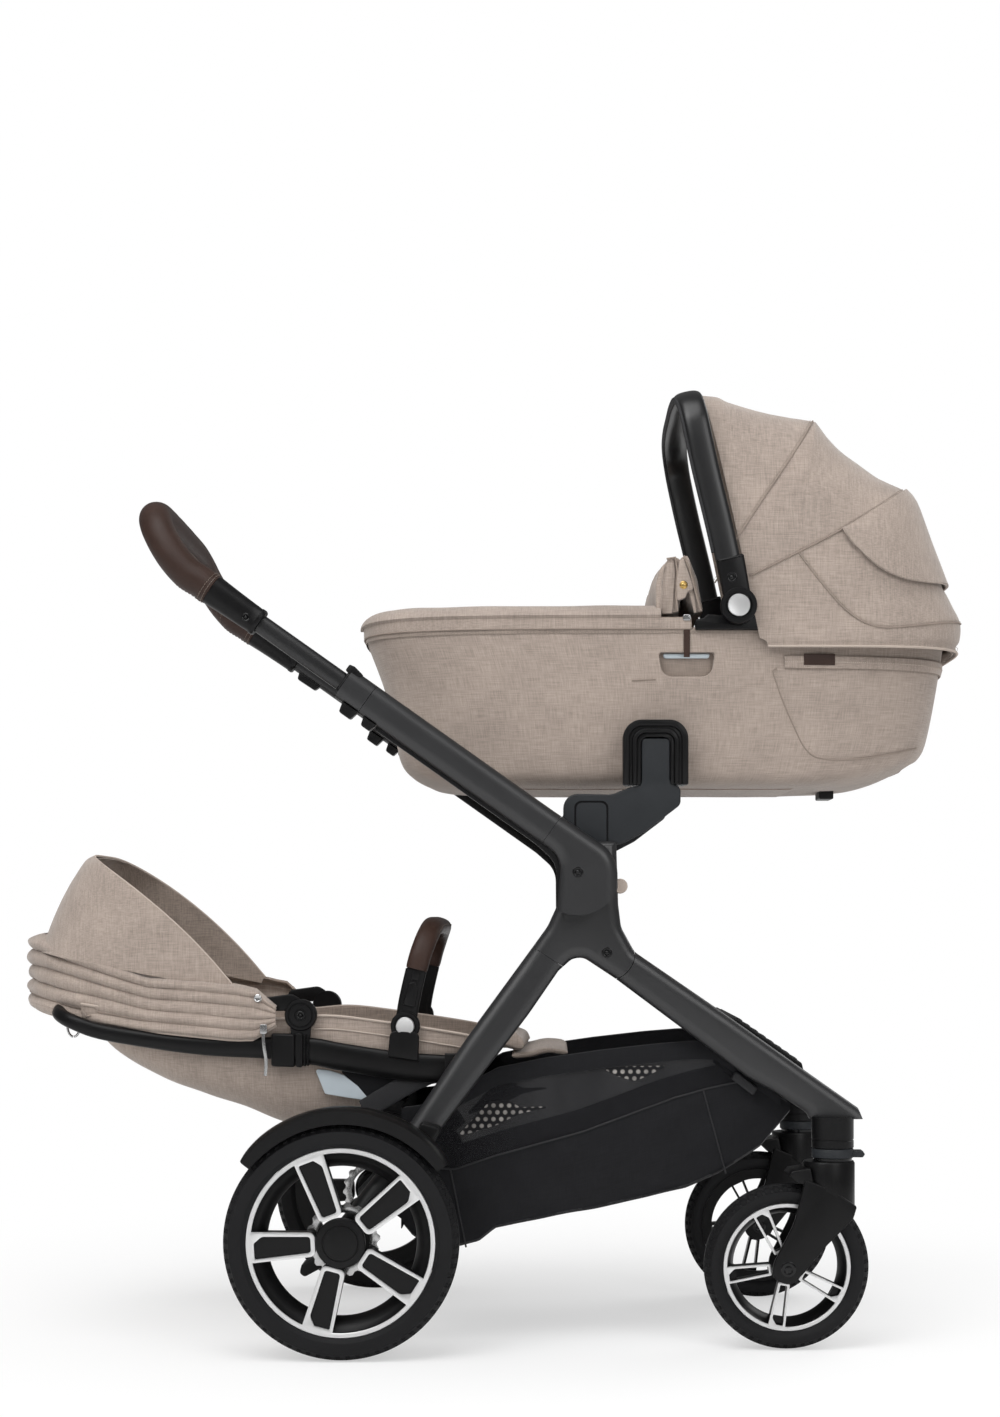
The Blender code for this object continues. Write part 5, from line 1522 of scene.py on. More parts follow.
@dataclass
class Tub:
    """The carrycot's rounded shell shape; each level is (rear x, front x, half width, height, lift)."""

    power: float = 3.6
    around: int = 176
    levels: Sequence[tuple[float, ...]] = ((60.0, 300.0, 60.0, 712.0, 0.0),
                                           (-62.0, 440.0, 116.0, 712.3, 0.1),
                                           (-98.0, 516.0, 140.0, 714.5, 0.9),
                                           (-120.0, 543.0, 155.0, 723.5, 0.9),
                                           (-131.0, 556.0, 160.5, 745.0, 0.3),
                                           (-138.0, 567.0, 164.0, 776.0, 0.0),
                                           (-153.0, 581.0, 170.0, 845.0, 0.0),
                                           (-178.0, 591.0, 174.0, 911.0, 0.0))
    angles: list[float] = field(default_factory=list)
    rows: list[Vector] = field(default_factory=list)

    def __post_init__(self) -> None:
        """Smooth the levels and space the angles evenly."""
        self.angles = oval_angles(375.0, 170.0, self.power, self.around)
        self.rows = curve_through(self.levels, 7)

    def lift(self, x: float) -> float:
        """Upward sweep of the floor toward both ends."""
        rear = max(0.0, (-20.0 - x) / 90.0)
        front = max(0.0, (x - 380.0) / 150.0)
        return 9.0 * rear**2 + 20.0 * front**2

    def ring_point(self, row: Vector, angle: float, out: float = 0.0) -> Vector:
        """Point of a level at an angle, moved outward."""
        x0, x1, half, z, lifted = row
        x, y = oval_point((x1 - x0) / 2 + out, half + out, self.power, angle)
        x += (x0 + x1) / 2
        return Vector((x, y, z + self.lift(x) * lifted))

    def skin(self, rows: Sequence[Vector], angles: Sequence[float]) -> Mesh:
        """Surface through levels with a point at each angle."""
        def place(u: float, v: float) -> Vector:
            return self.ring_point(rows[round(v * (len(rows) - 1))], angles[round(u * (len(angles) - 1))])

        return surface(place, len(angles) - 1, len(rows) - 1, welded=True)

    def row_at(self, z: float) -> Vector:
        """The level at a height above the lower corner."""
        for a, b in zip(self.rows, self.rows[1:]):
            if a[3] <= z <= b[3] and b[3] > a[3]:
                return a + (b - a) * ((z - a[3]) / (b[3] - a[3]))
        return self.rows[-1]

    def side(self, x: float, z: float, out: float = 0.0) -> Vector:
        """Point on the +Y wall at (x, z)."""
        x0, x1, half, _z, _lift = self.row_at(z)
        share = min(abs(x - (x0 + x1) / 2) / ((x1 - x0) / 2 + out), 1.0)
        return Vector((x, (half + out) * (1 - share**self.power) ** (1 / self.power), z))

    def wrap(self, z: float, x_from: float, front: bool, out: float = 0.0,
             steps: int = 120) -> list[Vector]:
        """Points along a level around one end, from the near wall at x_from to the far one."""
        row = self.row_at(z).copy()
        row[3] = z
        fine = [math.pi * (k / 400 - 1) if front else math.pi * k / 400 for k in range(801)]
        spots = [self.ring_point(row, angle, out) for angle in fine]
        kept = [p for p in spots if (p.x >= x_from if front else p.x <= x_from)]
        line = along(kept, sum((b - a).length for a, b in zip(kept, kept[1:])) / steps)
        return line if line[0].y < 0 else list(reversed(line))


@dataclass
class Carrycot:
    """Tub, apron, mattress, base and receivers of the carrycot."""

    tub: Tub = field(default_factory=Tub)
    body: str = "carrycot"
    rim: float = 911.0
    foot_end: float = 262.0
    head_end: float = 364.0
    cover_middle: float = 206.0
    cover_half_length: float = 386.5
    cover_half_width: float = 176.5
    cover_edge: float = 924.5
    cover_rise: float = 15.5
    cover_shoulder: float = 44.0

    def build(self) -> None:
        """Make every piece of the carrycot."""
        self.shell()
        self.liner()
        self.bands()
        self.seams()
        self.mattress()
        self.apron()
        self.flap()
        for side in Side:
            self.hand_hole(side)
            self.receiver(side)
            self.pivot_base(side)
        self.base()

    def shell(self) -> None:
        """Taupe outer shell with both hand holes cut in it."""
        bm = faced(self.tub.skin(self.tub.rows, self.tub.angles))
        rumple(bm, 60.0, 0.9, 3.0)
        cut = Cut.of(bm)
        obj = piece("tub_shell", thicken(bm, 4.0), TAUPE, self.body, ["carrycot_tub"], sharp=60)
        carve(obj, both_sides(slab(self.hole_outline(0.0), 120, 220)), 60)
        cut.declare(obj, "stretched", ["base_board"])

    def base(self) -> None:
        """Thin board under the tub with one small foot at the front."""
        board = block([(-16, 713.4, 1), (-12, 710.6, 1), (381, 710.6, 1), (391, 713.4, 1)], -90, 90)
        piece("base_board", board, TAUPE_SOLID, self.body, ["carrycot_base"], slot="black_plastic")
        foot = block([(428, 702, 2), (428, 717, 1), (447, 717, 1), (447, 702, 2)], -24, 24, 1.5)
        piece("base_foot", foot, PLASTIC, self.body)

    def hole_outline(self, inset: float) -> list[Flat]:
        """Outline of the hand hole in the side wall."""
        return rounded([(205 + inset, 882 - inset, 4), (278 - inset, 882 - inset, 4),
                        (274 - inset, 850 + inset, 15), (210 + inset, 850 + inset, 15)])

    def hand_hole(self, side: Side) -> None:
        """Lined hand pocket with its pale grip."""
        tag = side.tag
        cup = plate([self.hole_outline(-2.5), self.hole_outline(0.6)], 157.0,
                    self.tub.side(240, 866).y - 0.8, 0.6)
        back = slab(self.hole_outline(-2.5), 155.0, 157.5)
        piece(f"hand_pocket_{tag}", mirrored(joined([cup, back]), side), TAUPE_SOLID, self.body)
        grip = block([(211, 880.5, 2), (272, 880.5, 2), (270, 874.5, 3), (213, 874.5, 3)], 158.0, 166.0,
                     1.5)
        piece(f"hand_grip_{tag}", mirrored(grip, side), PANEL, self.body)
        pull = [self.tub.side(241.5, z, 1.4) for z in (925, 912, 898, 884, 875)]
        strap = bar(pull, (4.0, 1.1), (1, 0, 0), 16, 4.0)
        piece(f"zip_pull_{tag}", mirrored(strap, side), HIDE, self.body)
        slider = block([(236, 921, 2), (247, 921, 2), (246, 929, 2), (237, 929, 2)], 174.5, 179.0, 1.0)
        piece(f"zip_slider_{tag}", mirrored(slider, side), STEEL, self.body)

    def liner(self) -> None:
        """Inner lining from the rolled rim down to the floor."""
        lower = [(-100, 530, 140, 736.0, 0.0), (-112, 539, 148, 748.0, 0.0), (-143, 570, 159, 845.0, 0.0),
                 (-167, 580, 163, 905.0, 0.0), (-170, 583, 166.5, 911.0, 0.0), (-174, 587, 170, 913.6, 0.0),
                 (-178.6, 591.4, 174.6, 911.0, 0.0), (-178.2, 591.2, 174.2, 905.0, 0.0)]
        rows = curve_through(lower, 4)
        floor = [Vector((100.0, 300.0, 40.0, 735.0, 0.0)), Vector((-60.0, 480.0, 110.0, 735.0, 0.0))]
        rows = floor + rows
        bm = self.tub.skin(rows, self.tub.angles)
        rims = [e for e in bm.edges if e.is_boundary and e.verts[0].co.z < 740]
        bmesh.ops.holes_fill(bm, edges=rims, sides=0)
        cut = Cut.of(bm)
        # Tub lining in the darkened taupe, painted shade inside the tub.
        obj = piece("tub_lining", rumple(bm, 45.0, 0.8, 1.0), SHADED_INNER_CLOTH, self.body, sharp=60)
        cut.declare(obj, "stretched", ["tub_shell"])

    def ribbon(self, name: str, z0: float, z1: float, x_from: float, front: bool,
               out: float) -> None:
        """Flat band around one end of the tub between two heights."""
        steps, rows = 150, 5
        lines = [self.tub.wrap(z0 + (z1 - z0) * k / rows, x_from, front, out,
                               steps) for k in range(rows + 1)]
        count = min(len(line) for line in lines) - 1

        def place(u: float, v: float) -> Vector:
            spot = lines[round(v * rows)][round(u * count)]
            bulge = 0.7 * math.sin(math.pi * v)
            return spot + Vector((spot.x - 200.0, spot.y * 3.0, 0.0)).normalized() * bulge

        bm = faced(surface(place, count, rows))
        piece(name, thicken(bm, 1.4), TAUPE_SOLID, self.body, sharp=50)

    def bands(self) -> None:
        """Zip bands around both ends, the rim's piping and the bottom piping."""
        self.ribbon("foot_zip_band", self.rim, 925.5, self.foot_end, False, 1.0)
        self.ribbon("head_zip_band", 862.0, 876.5, self.head_end, True, 1.4)
        lines = [self.tub.wrap(self.rim, self.foot_end, False, 1.8),
                 self.tub.wrap(862.0, self.head_end, True, 1.6),
                 self.tub.wrap(876.5, self.head_end, True, 1.6),
                 self.tub.wrap(925.0, self.foot_end, False, 1.8)]
        # Rim and bottom piping in the welt colour, darkened as painted seam shade.
        piece("tub_piping", joined([cordlet(line, 1.1) for line in lines]), SHADED_WELT, self.body)
        teeth = self.tub.wrap(869.5, self.head_end + 2.0, True, 3.0)
        piece("head_zip_teeth", stitches(teeth, 1.6, 1.0, 1.0), TAPE, self.body)
        for side in Side:
            tab = [self.tub.side(x, 872.5, 3.4) for x in (391, 400, 411, 422, 431)]
            label = bar(tab, (7.2, 1.1), (0, 0, 1), 16, 5.0)
            piece(f"leather_tab_{side.tag}", mirrored(label, side), HIDE, self.body)

    def seams(self) -> None:
        """Seams of the front storage panel on both walls."""
        corners = [(357, 861), (352, 857), (358, 838), (368, 812), (381, 784), (394, 760), (412, 748),
                   (450, 746), (500, 753), (545, 764)]
        flat = curve_through(corners, 6)
        line = [self.tub.side(p[0], p[1], 0.5) for p in flat]
        inner = [self.tub.side(p[0] + 3.5, p[1] + 3.0, 0.5) for p in flat[:-3]]
        # The panel seam's dark cord paints the shadow of the overlapping panel's edge.
        piece("panel_seam", both_sides(cordlet(line, 0.9)), SHADED_WELT, self.body)
        piece("panel_stitches", both_sides(stitches(inner)), THREAD_PALE, self.body)
        piece("rim_stitches", stitches(self.tub.wrap(906.5, self.foot_end, False, 1.0)), THREAD_PALE,
              self.body)
        tick = [self.tub.side(x, 845.5 + (x - 172) * 0.06, 0.6) for x in range(172, 204, 3)]
        # Short tick in the welt colour, darkened as painted shade.
        piece("wall_tick", both_sides(cordlet(tick, 0.9)), SHADED_WELT, self.body)

    def mattress(self) -> None:
        """Quilted mattress on the tub's floor."""
        levels = [(-70, 500, 120, 737.0, 0.0), (-90, 520, 136, 738.0, 0.0), (-97, 526, 142, 745.0, 0.0),
                  (-97, 526, 142, 758.0, 0.0), (-88, 517, 134, 766.0, 0.0), (-40, 470, 100, 768.0, 0.0),
                  (100, 330, 30, 768.5, 0.0)]
        rows = curve_through(levels, 5)
        bm = capped(self.tub.skin(rows, self.tub.angles[::2]))
        for vert in bm.verts:
            if vert.co.z > 755:
                quilt = abs(math.sin(vert.co.x / 48.0 * math.pi / 2)) * abs(math.sin(vert.co.y / 48.0
                                                                                     * math.pi / 2))
                vert.co.z += 3.0 * quilt**0.5 - 2.0
        obj = piece("mattress_pad", bm, PADDING, self.body, ["carrycot_mattress"], sharp=60)

    def cover_half(self, x: float) -> float:
        """Half width of the cover at x."""
        share = min(abs(x - self.cover_middle) / self.cover_half_length, 1.0)
        return self.cover_half_width * (1 - share**self.tub.power) ** (1 / self.tub.power)

    def cover_height(self, x: float, y: float, half: float) -> float:
        """Height of the padded cover over the rim."""
        edge = min(half - abs(y), (x + 180.5) * 0.9)
        rise = 1 - (1 - min(max(edge, 0.0) / self.cover_shoulder, 1.0)) ** 2.6
        soft = 1.4 * noise.noise(Vector((x / 70.0, y / 55.0, 4.0)))
        return self.cover_edge + self.cover_rise * rise + soft * rise

    def apron(self) -> None:
        """Padded foot cover, its fold panel and its piping."""
        def place(u: float, v: float) -> Vector:
            x = -180.3 + 389.0 * (1 - math.cos(v * math.pi / 2))
            half = self.cover_half(x)
            y = half * math.sin((u - 0.5) * math.pi)
            return Vector((x, y, self.cover_height(x, y, half)))

        bm = faced(surface(place, 96, 110))
        cover = piece("apron_cover", thicken(bm, 5.0), TAUPE_SOLID, self.body, ["carrycot_apron"], sharp=60)

        def fold(u: float, v: float) -> Vector:
            reach = 158.0 * (1 - 0.42 * abs(2 * u - 1) ** 3)
            x = -179.0 + reach * v**1.4
            half = self.cover_half(x) * 0.985
            y = half * math.sin((u - 0.5) * math.pi * 0.96)
            lift = 1.2 + 2.2 * math.sin(math.pi * min(v * 1.05, 1.0)) ** 0.5
            return Vector((x, y, self.cover_height(x, y, half) + lift))

        bm = faced(surface(fold, 72, 48))
        edge = [fold(k / 72, 1.0) + Vector((0.4, 0, 0.4)) for k in range(73)]
        cut = Cut.of(bm)
        obj = piece("apron_fold", thicken(bm, 2.2), TAUPE_SOLID, self.body, sharp=60)
        cut.declare(obj, "laid", ["apron_cover"])
        # Fold piping in the welt colour, darkened as painted shade along the fold's edge.
        piece("apron_fold_piping", cordlet(edge, 1.3), SHADED_WELT, self.body)
        inset = [fold(0.02 + 0.96 * k / 72, 0.965) + Vector((0, 0, 0.5)) for k in range(73)]
        piece("apron_fold_stitches", stitches(inset), THREAD_PALE, self.body)

    def flap(self) -> None:
        """Upright wind flap, folded back on itself, with a snapped corner on each side."""
        front = rounded([(203, 930, 6), (203.5, 974, 50), (208, 993, 22), (219, 1004.5, 9), (233, 1006, 5),
                         (236, 985, 40), (231, 930, 6)], 8)
        back = rounded([(229, 992, 10), (236, 1009, 5), (243, 1006, 8), (252, 978, 60), (262, 933, 5),
                        (254, 929, 5), (246, 952, 40), (236, 975, 30)], 8)
        for name, outline, mid in (("front", front, (217, 965)), ("back", back, (244, 970))):
            def place(u: float, v: float) -> Vector:
                s = math.sin((u - 0.5) * math.pi)
                x, z = outline[round(v * len(outline)) % len(outline)]
                keep = 1 - 0.5 * max(0.0, (abs(s) - 0.955) / 0.045) ** 2
                x = mid[0] + (x - mid[0]) * keep
                z = 930 + (z - 930) * (1 - 0.05 * s * s)
                return Vector((x, s * 169.0, z))

            bm = capped(surface(place, 84, len(outline), welded=True))
            obj = piece(f"wind_flap_{name}", rumple(bm, 38.0, 2.0, 7.0), TAUPE_SOLID, self.body, sharp=60)
            puff(obj, 4.0)
        folds = []
        for y in (-1, 1):
            folds.append(cordlet([Vector((216, y * 169, 1001)), Vector((227, y * 170, 1003)),
                                  Vector((230, y * 170.5, 984)), Vector((228, y * 171, 955)),
                                  Vector((230, y * 171, 934))], 1.3))
            folds.append(cordlet([Vector((238, y * 170, 1005)), Vector((246, y * 170.5, 985)),
                                  Vector((254, y * 171, 955)), Vector((260, y * 171, 934))], 1.3))
        # Flap seams in the welt colour, darkened as painted shade.
        piece("flap_seams", joined(folds), SHADED_WELT, self.body)
        for side in Side:
            corner = rounded([(232, 1000, 4), (238, 1001, 3), (251, 962, 4), (243, 958, 3), (240, 951, 3),
                              (229, 946, 3), (229, 970, 10)])
            piece(f"flap_corner_{side.tag}", mirrored(slab(corner, 165.0, 173.6, 1.8), side), TAUPE_SOLID,
                  self.body)
            snap = turned([(0, 0), (5.2, 0), (5.2, 0.8), (4.1, 1.5), (3.3, 0.9), (2.6, 1.4), (0, 1.8)],
                          (237.5, 173.2, 967.0), 32)
            piece(f"flap_snap_{side.tag}", mirrored(snap, side), BRASS, self.body)

    def receiver(self, side: Side) -> None:
        """Ridged arched socket that drops over the adaptor."""
        tag = side.tag
        low, middle = 711.0, 200.8
        tiers = [(41.4, 793.5, 33.5, 199.5), (34.2, 786.8, 28.5, 196.8), (29.2, 782.0, 24.0, 200.8),
                 (24.5, 777.4, 18.7, 197.4)]
        parts = [slab(rounded([(middle - 40, low, 4), (middle - 40, 792, 27), (middle + 40, 792, 27),
                               (middle + 40, low, 4)], 10), 158.0, 178.6)]
        for half, top, inner, y in tiers:
            inner_top = top - (half - inner)
            shape = [(middle - half, low, 2.5), (middle - half, top, half * 0.58),
                     (middle + half, top, half * 0.58), (middle + half, low, 2.5),
                     (middle + inner, low, 1.5), (middle + inner, inner_top, inner * 0.5),
                     (middle - inner, inner_top, inner * 0.5), (middle - inner, low, 1.5)]
            parts.append(slab(rounded(shape, 12), 176.0, y, 1.2, 2))
        piece(f"receiver_{tag}_socket", mirrored(joined(parts), side), PLASTIC, self.body,
              [f"receiver_{tag}"])

    def pivot_base(self, side: Side) -> None:
        """Black hinge base below the arch's pivot."""
        base = block([(252, 909, 2), (333, 909, 2), (333, 924, 5), (320, 934, 8), (292, 934, 6),
                      (286, 927, 3), (268, 929, 3), (262, 924, 3), (252, 922, 2)], 163.0, 183.6, 2.0)
        piece(f"pivot_base_{side.tag}", mirrored(base, side), PLASTIC, self.body)


@dataclass
class Arch:
    """Carry arch with its pivots and silver buttons."""

    pivot: Flat = (306.0, 938.0)
    disc_y: float = 184.0
    body: str = "arch"

    def path(self) -> list[Vector]:
        """Centre line from the near pivot over the top to the far one."""
        lean = [(301, 960), (292, 1000), (283, 1040), (266, 1110), (255, 1160)]
        near = [Vector((x, -192.0, z)) for x, z in lean]
        near += [Vector(p) for p in ((250, -187, 1184), (246, -170, 1203), (243.5, -136, 1213.5),
                                     (242, -70, 1217.5), (242, 0, 1218))]
        return curve_through(over(near), 8)

    def build(self) -> None:
        """Make the arch, its feet, discs, screws and buttons."""
        path = self.path()
        bm = bar(path, lambda t: (16.0 + 1.2 * math.sin(math.pi * t) ** 4,
                                  7.4 + 1.0 * math.sin(math.pi * t) ** 4), (0.97, 0.0, 0.24), 40, 2.7)
        piece("arch_bow", bm, COATED_BLACK, self.body, ["carry_arch"], sharp=60)
        inner = [p + Vector((-16.4, 0, -3.8)) for p in path[10:-10]]
        piece("arch_strap", bar(inner, (2.2, 4.5), (0.97, 0, 0.24), 12, 3.0), WEBBING, self.body,
              slot="black_plastic")
        centre = (self.pivot[0], self.disc_y, self.pivot[1])
        for side in Side:
            tag = side.tag
            foot = rounded([(277, 996, 3), (289, 940, 30), (306, 914, 20), (325, 930, 20), (312, 1004, 3)],
                           8)
            parts = [slab(foot, 183.8, 200.3, 4.0)]
            ring = [(14.9, 2), (23.0, 2), (23.0, 15.6), (21.6, 17.0), (17.0, 17.0), (16.0, 15.4),
                    (14.9, 15.4)]
            parts.append(turned(ring, centre, 72))
            parts.append(rod(15.2, 2, 12.4, centre, 48))
            piece(f"arch_foot_{tag}", mirrored(joined(parts), side), PLASTIC, self.body)
            screw((297.0, 973.0), 199.6, side, self.body, f"arch_screw_{tag}", 3.4)
            button = [(0, 12.8), (14.1, 12.8), (14.1, 17.6), (13.4, 18.4), (9.0, 17.9), (0, 17.3)]
            piece(f"arch_button_{tag}_face", mirrored(turned(button, centre, 64), side), SILVER,
                  f"arch_button_{tag}", [f"arch_button_{tag}"])


@dataclass
class Hood:
    """Fabric hood whose bows fan out from a point; curves drawn in side view are laid on it.

    Attributes:
        name: beginning of its pieces' names.
        centre: (x, z) of the point.
        gores: side-view outline of each gore, from the open edge on.
        half: half width.
        power: squareness of its section.
        low: share of the outline at which the sides begin.
        fold: the bodies that it lies between.
        held_by: pieces that it is stretched on.
        bow: depth of the curve in its open edge.
        outline: the gores' smoothed points.
    """

    name: str
    centre: Flat
    gores: Sequence[Sequence[Flat]]
    half: float
    power: float
    low: float
    fold: Fold
    held_by: Sequence[str]
    bow: float = 0.0
    outline: list[Vector] = field(default_factory=list)

    def __post_init__(self) -> None:
        """Smooth each gore's outline and join them into one."""
        points: list[Vector] = []
        for gore in self.gores:
            points += curve_through(gore, 10)
        self.outline = [Vector((p[0], p[1])) for p in points]

    def reach(self, x: float, z: float) -> float:
        """Distance of the outline from the centre in the direction of (x, z)."""
        wanted = math.atan2(z - self.centre[1], x - self.centre[0])
        best, found = 9.0, 0.0
        centre = Vector(self.centre)
        for a, b in zip(self.outline, self.outline[1:]):
            va, vb = a - centre, b - centre
            ta, tb = math.atan2(va.y, va.x), math.atan2(vb.y, vb.x)
            if min(ta, tb) - 1e-6 <= wanted <= max(ta, tb) + 1e-6 and abs(ta - tb) > 1e-9:
                return va.length + (vb.length - va.length) * (wanted - ta) / (tb - ta)
            for angle, length in ((ta, va.length), (tb, vb.length)):
                if abs(angle - wanted) < best:
                    best, found = abs(angle - wanted), length
        return found

    def share(self, x: float, z: float) -> float:
        """How far out (x, z) lies, 0 at the centre and 1 on the outline."""
        return math.hypot(x - self.centre[0], z - self.centre[1]) / self.reach(x, z)

    def on_side(self, x: float, z: float, out: float = 0.0) -> Vector:
        """The +Y point of the hood at (x, z)."""
        inside = min(self.share(x, z), 1.0)
        return Vector((x, (self.half + out) * (1 - inside**self.power) ** (1 / self.power), z))

    def laid(self, curve: Sequence[Flat], out: float = 0.5) -> list[Vector]:
        """Lay a side-view curve, running outward, over the hood from the near side to the far one."""
        fine = [Vector((p[0], p[1])) for p in curve_through(curve, 24)]
        shares = [min(self.share(p.x, p.y), 1.0) for p in fine]
        turn = shares.index(min(shares))
        half = [self.on_side(p.x, p.y, out) for p in fine[:turn]]
        fine, shares = fine[turn:], shares[turn:]
        i = 0
        start = math.asin(min(max(shares[0], 0.001), 1.0) ** (self.power / 2))
        steps = 70
        for k in range(steps + 1):
            angle = start + (math.pi / 2 - start) * k / steps
            f = math.sin(angle) ** (2 / self.power)
            y = math.cos(angle) ** (2 / self.power) * self.half
            while i < len(fine) - 2 and shares[i + 1] < f:
                i += 1
            gap = shares[i + 1] - shares[i]
            spot = fine[i] + (fine[i + 1] - fine[i]) * min(max((f - shares[i]) / gap if gap > 1e-6 else 0.0,
                                                               0.0), 1.0)
            point = Vector((spot.x, y, spot.y))
            normal = Vector((point.x - self.centre[0], 0, point.z - self.centre[1])).normalized() * f**6
            normal += ACROSS * (1 - f**6)
            half.append(point + normal.normalized() * out)
        return over([Vector((p.x, -p.y, p.z)) for p in half])

    def place(self, u: float, v: float, inset: float = 0.0) -> Vector:
        """Point of the hood; u runs along the outline, v from the near side to the far one."""
        spot = self.outline[round(u * (len(self.outline) - 1))]
        start = math.asin(self.low ** (self.power / 2))
        lean = v + math.sin(4 * math.pi * v) * 0.012
        angle = math.pi - start - (math.pi - 2 * start) * lean
        c, s = math.cos(angle), math.sin(angle)
        f = abs(s) ** (2 / self.power)
        offset = Vector((spot.x - self.centre[0], spot.y - self.centre[1]))
        keep = (offset.length - inset) / offset.length
        y = math.copysign(abs(c) ** (2 / self.power), c) * (self.half - inset)
        flat = offset * (f * keep) + Vector((-offset.y, offset.x)).normalized() * (-4 * self.bow * f
                                                                                   * (1 - f) * (1 - u))
        return Vector((self.centre[0] + flat.x, y, self.centre[1] + flat.y))

    def shell(self, across: int, replaces: Sequence[str], depth: float) -> None:
        """Outer cloth of the hood."""
        bm = faced(surface(self.place, len(self.outline) - 1, across))
        rumple(bm, 42.0, depth, 5.0)
        rumple(bm, 15.0, depth * 0.3, 9.0)
        cut = Cut.of(bm)
        obj = piece(f"{self.name}_cloth", thicken(bm, 1.6), TAUPE_SOLID, self.fold, replaces, sharp=50)
        cut.declare(obj, "stretched", self.held_by)

    def lining(self, across: int, inset: float, crease: float = 0.6) -> None:
        """Lining inside the hood, its taupe darkened as painted shade, creased by so many millimetres."""
        bm = faced(surface(lambda u, v: self.place(u, v, inset), len(self.outline) - 1, across))
        cut = Cut.of(bm)
        obj = piece(f"{self.name}_lining", thicken(rumple(bm, 24.0, crease, 2.0), 1.0), SHADED_INNER_CLOTH_SOLID,
                    self.fold, sharp=60)
        cut.declare(obj, "stretched", self.held_by)

    def overlay(self, name: str, first: Sequence[Flat], second: Sequence[Flat], out: float, wall: float,
                lift: float) -> None:
        """Raised panel between two side-view curves that run outward.

        Args:
            name: the piece's name.
            first: curve of the edge that lies on the hood.
            second: curve of the edge that stands off.
            out: distance from the hood.
            wall: the panel's thickness.
            lift: how much further the second edge stands off.
        """
        a, b = self.laid(first, out), self.laid(second, out)
        rows = 12

        def between(u: float, v: float) -> Vector:
            p, q = a[round(u * (len(a) - 1))], b[round(u * (len(b) - 1))]
            spot = p + (q - p) * v
            return self.settled(spot, out + lift * v * v)

        bm = faced(surface(between, len(a) - 1, rows))
        cut = Cut.of(bm)
        obj = piece(name, thicken(bm, wall), TAUPE_SOLID, self.fold, sharp=50)
        cut.declare(obj, "hung", [f"{self.name}_cloth"])

    def settled(self, spot: Vector, out: float) -> Vector:
        """Push a point onto the hood, kept out by a distance."""
        ratio = min(abs(spot.y) / self.half, 0.9999)
        inside = min(self.share(spot.x, spot.z), 0.99999)
        total = (ratio**self.power + inside**self.power) ** (1 / self.power)
        if total < 0.2:
            return spot
        flat = Vector((spot.x - self.centre[0], spot.z - self.centre[1])) / total
        reach = flat.length
        push = out if inside > 0.5 else 0.0
        if reach > 1:
            flat *= (reach + push * inside**4) / reach
        y = math.copysign(abs(spot.y) / total + out * (1 - inside**4), spot.y)
        return Vector((self.centre[0] + flat.x, y, self.centre[1] + flat.y))

    def seam(self, name: str, curve: Sequence[Flat], offset: float = 3.2) -> None:
        """Welted seam along a side-view curve with a row of stitches beside it."""
        fine = curve_through(curve, 4)
        # The welt's darker taupe paints the shade along the seam.
        piece(f"{name}_welt", cordlet(self.laid(curve, 0.9), 1.1), SHADED_WELT, self.fold)
        shifted = []
        for i, p in enumerate(fine):
            q = fine[min(i + 1, len(fine) - 1)]
            r = fine[max(i - 1, 0)]
            run = Vector((q[0] - r[0], q[1] - r[1])).normalized()
            shifted.append((p[0] - run.y * offset, p[1] + run.x * offset))
        piece(f"{name}_stitches", stitches(self.laid(shifted, 1.0)), THREAD_PALE, self.fold)


def carrycot_hood() -> None:
    """Make the carrycot's hood with its gores, vent flap, seams and hem."""
    fold = Fold("carrycot", "arch", (560, 0, 880), (290, 0, 1130))
    gores = [[(262, 1231), (284, 1228.5), (300, 1221), (338, 1209.5), (376, 1201.5), (411, 1196)],
             [(415, 1195), (431, 1175), (449, 1156.5), (473, 1138), (497, 1121.5), (531, 1104.5)],
             [(536, 1101.5), (547, 1086), (557, 1058), (566, 1030), (576, 1000), (583, 977)],
             [(584, 974), (594, 956), (605, 935), (608, 920), (606, 905), (601, 896), (603, 888)]]
    hood = Hood("canopy", (336.0, 888.0), gores, half=184.0, power=4.4, low=0.03, fold=fold,
                held_by=["arch_bow", "tub_shell"])
    hood.shell(120, ["carrycot_canopy"], 1.1)
    hood.lining(90, 5.0)
    hood.seam("front_rib", [(303, 1022), (343, 1083), (384, 1145), (412, 1194)])
    hood.seam("rear_rib", [(321, 977), (382, 1007), (440, 1038), (490, 1069), (532, 1101)])
    rib = [(440, 1038), (470, 1056.5), (503, 1078), (532, 1101)]
    vent = [(440, 1038), (452, 1020), (467, 1005), (482, 992), (499, 982.5), (521, 975), (550, 972),
            (583, 975)]
    hood.overlay("vent_flap", rib, vent, 2.4, 2.2, 4.5)
    piece("vent_flap_edge", cordlet(hood.laid(vent, 5.8), 1.7), TAUPE_SOLID, fold)
    hood.seam("vent_panel", [(383, 1007), (399, 985), (424, 954), (447, 931), (470, 917), (497, 912),
                             (545, 917), (602, 926)], 2.6)
    hem = [hood.place(1.0, k / 160) for k in range(161)]
    raised = [p + Vector((0, 0, 6.0)) for p in hem]
    piece("canopy_hem", cordlet(hem, 1.8), TAPE, fold)
    piece("canopy_hem_stitches", stitches([p + Vector((p.x - 336, p.y * 1.5,
                                                       0)).normalized() * 1.0 for p in raised]),
          THREAD_PALE, fold)


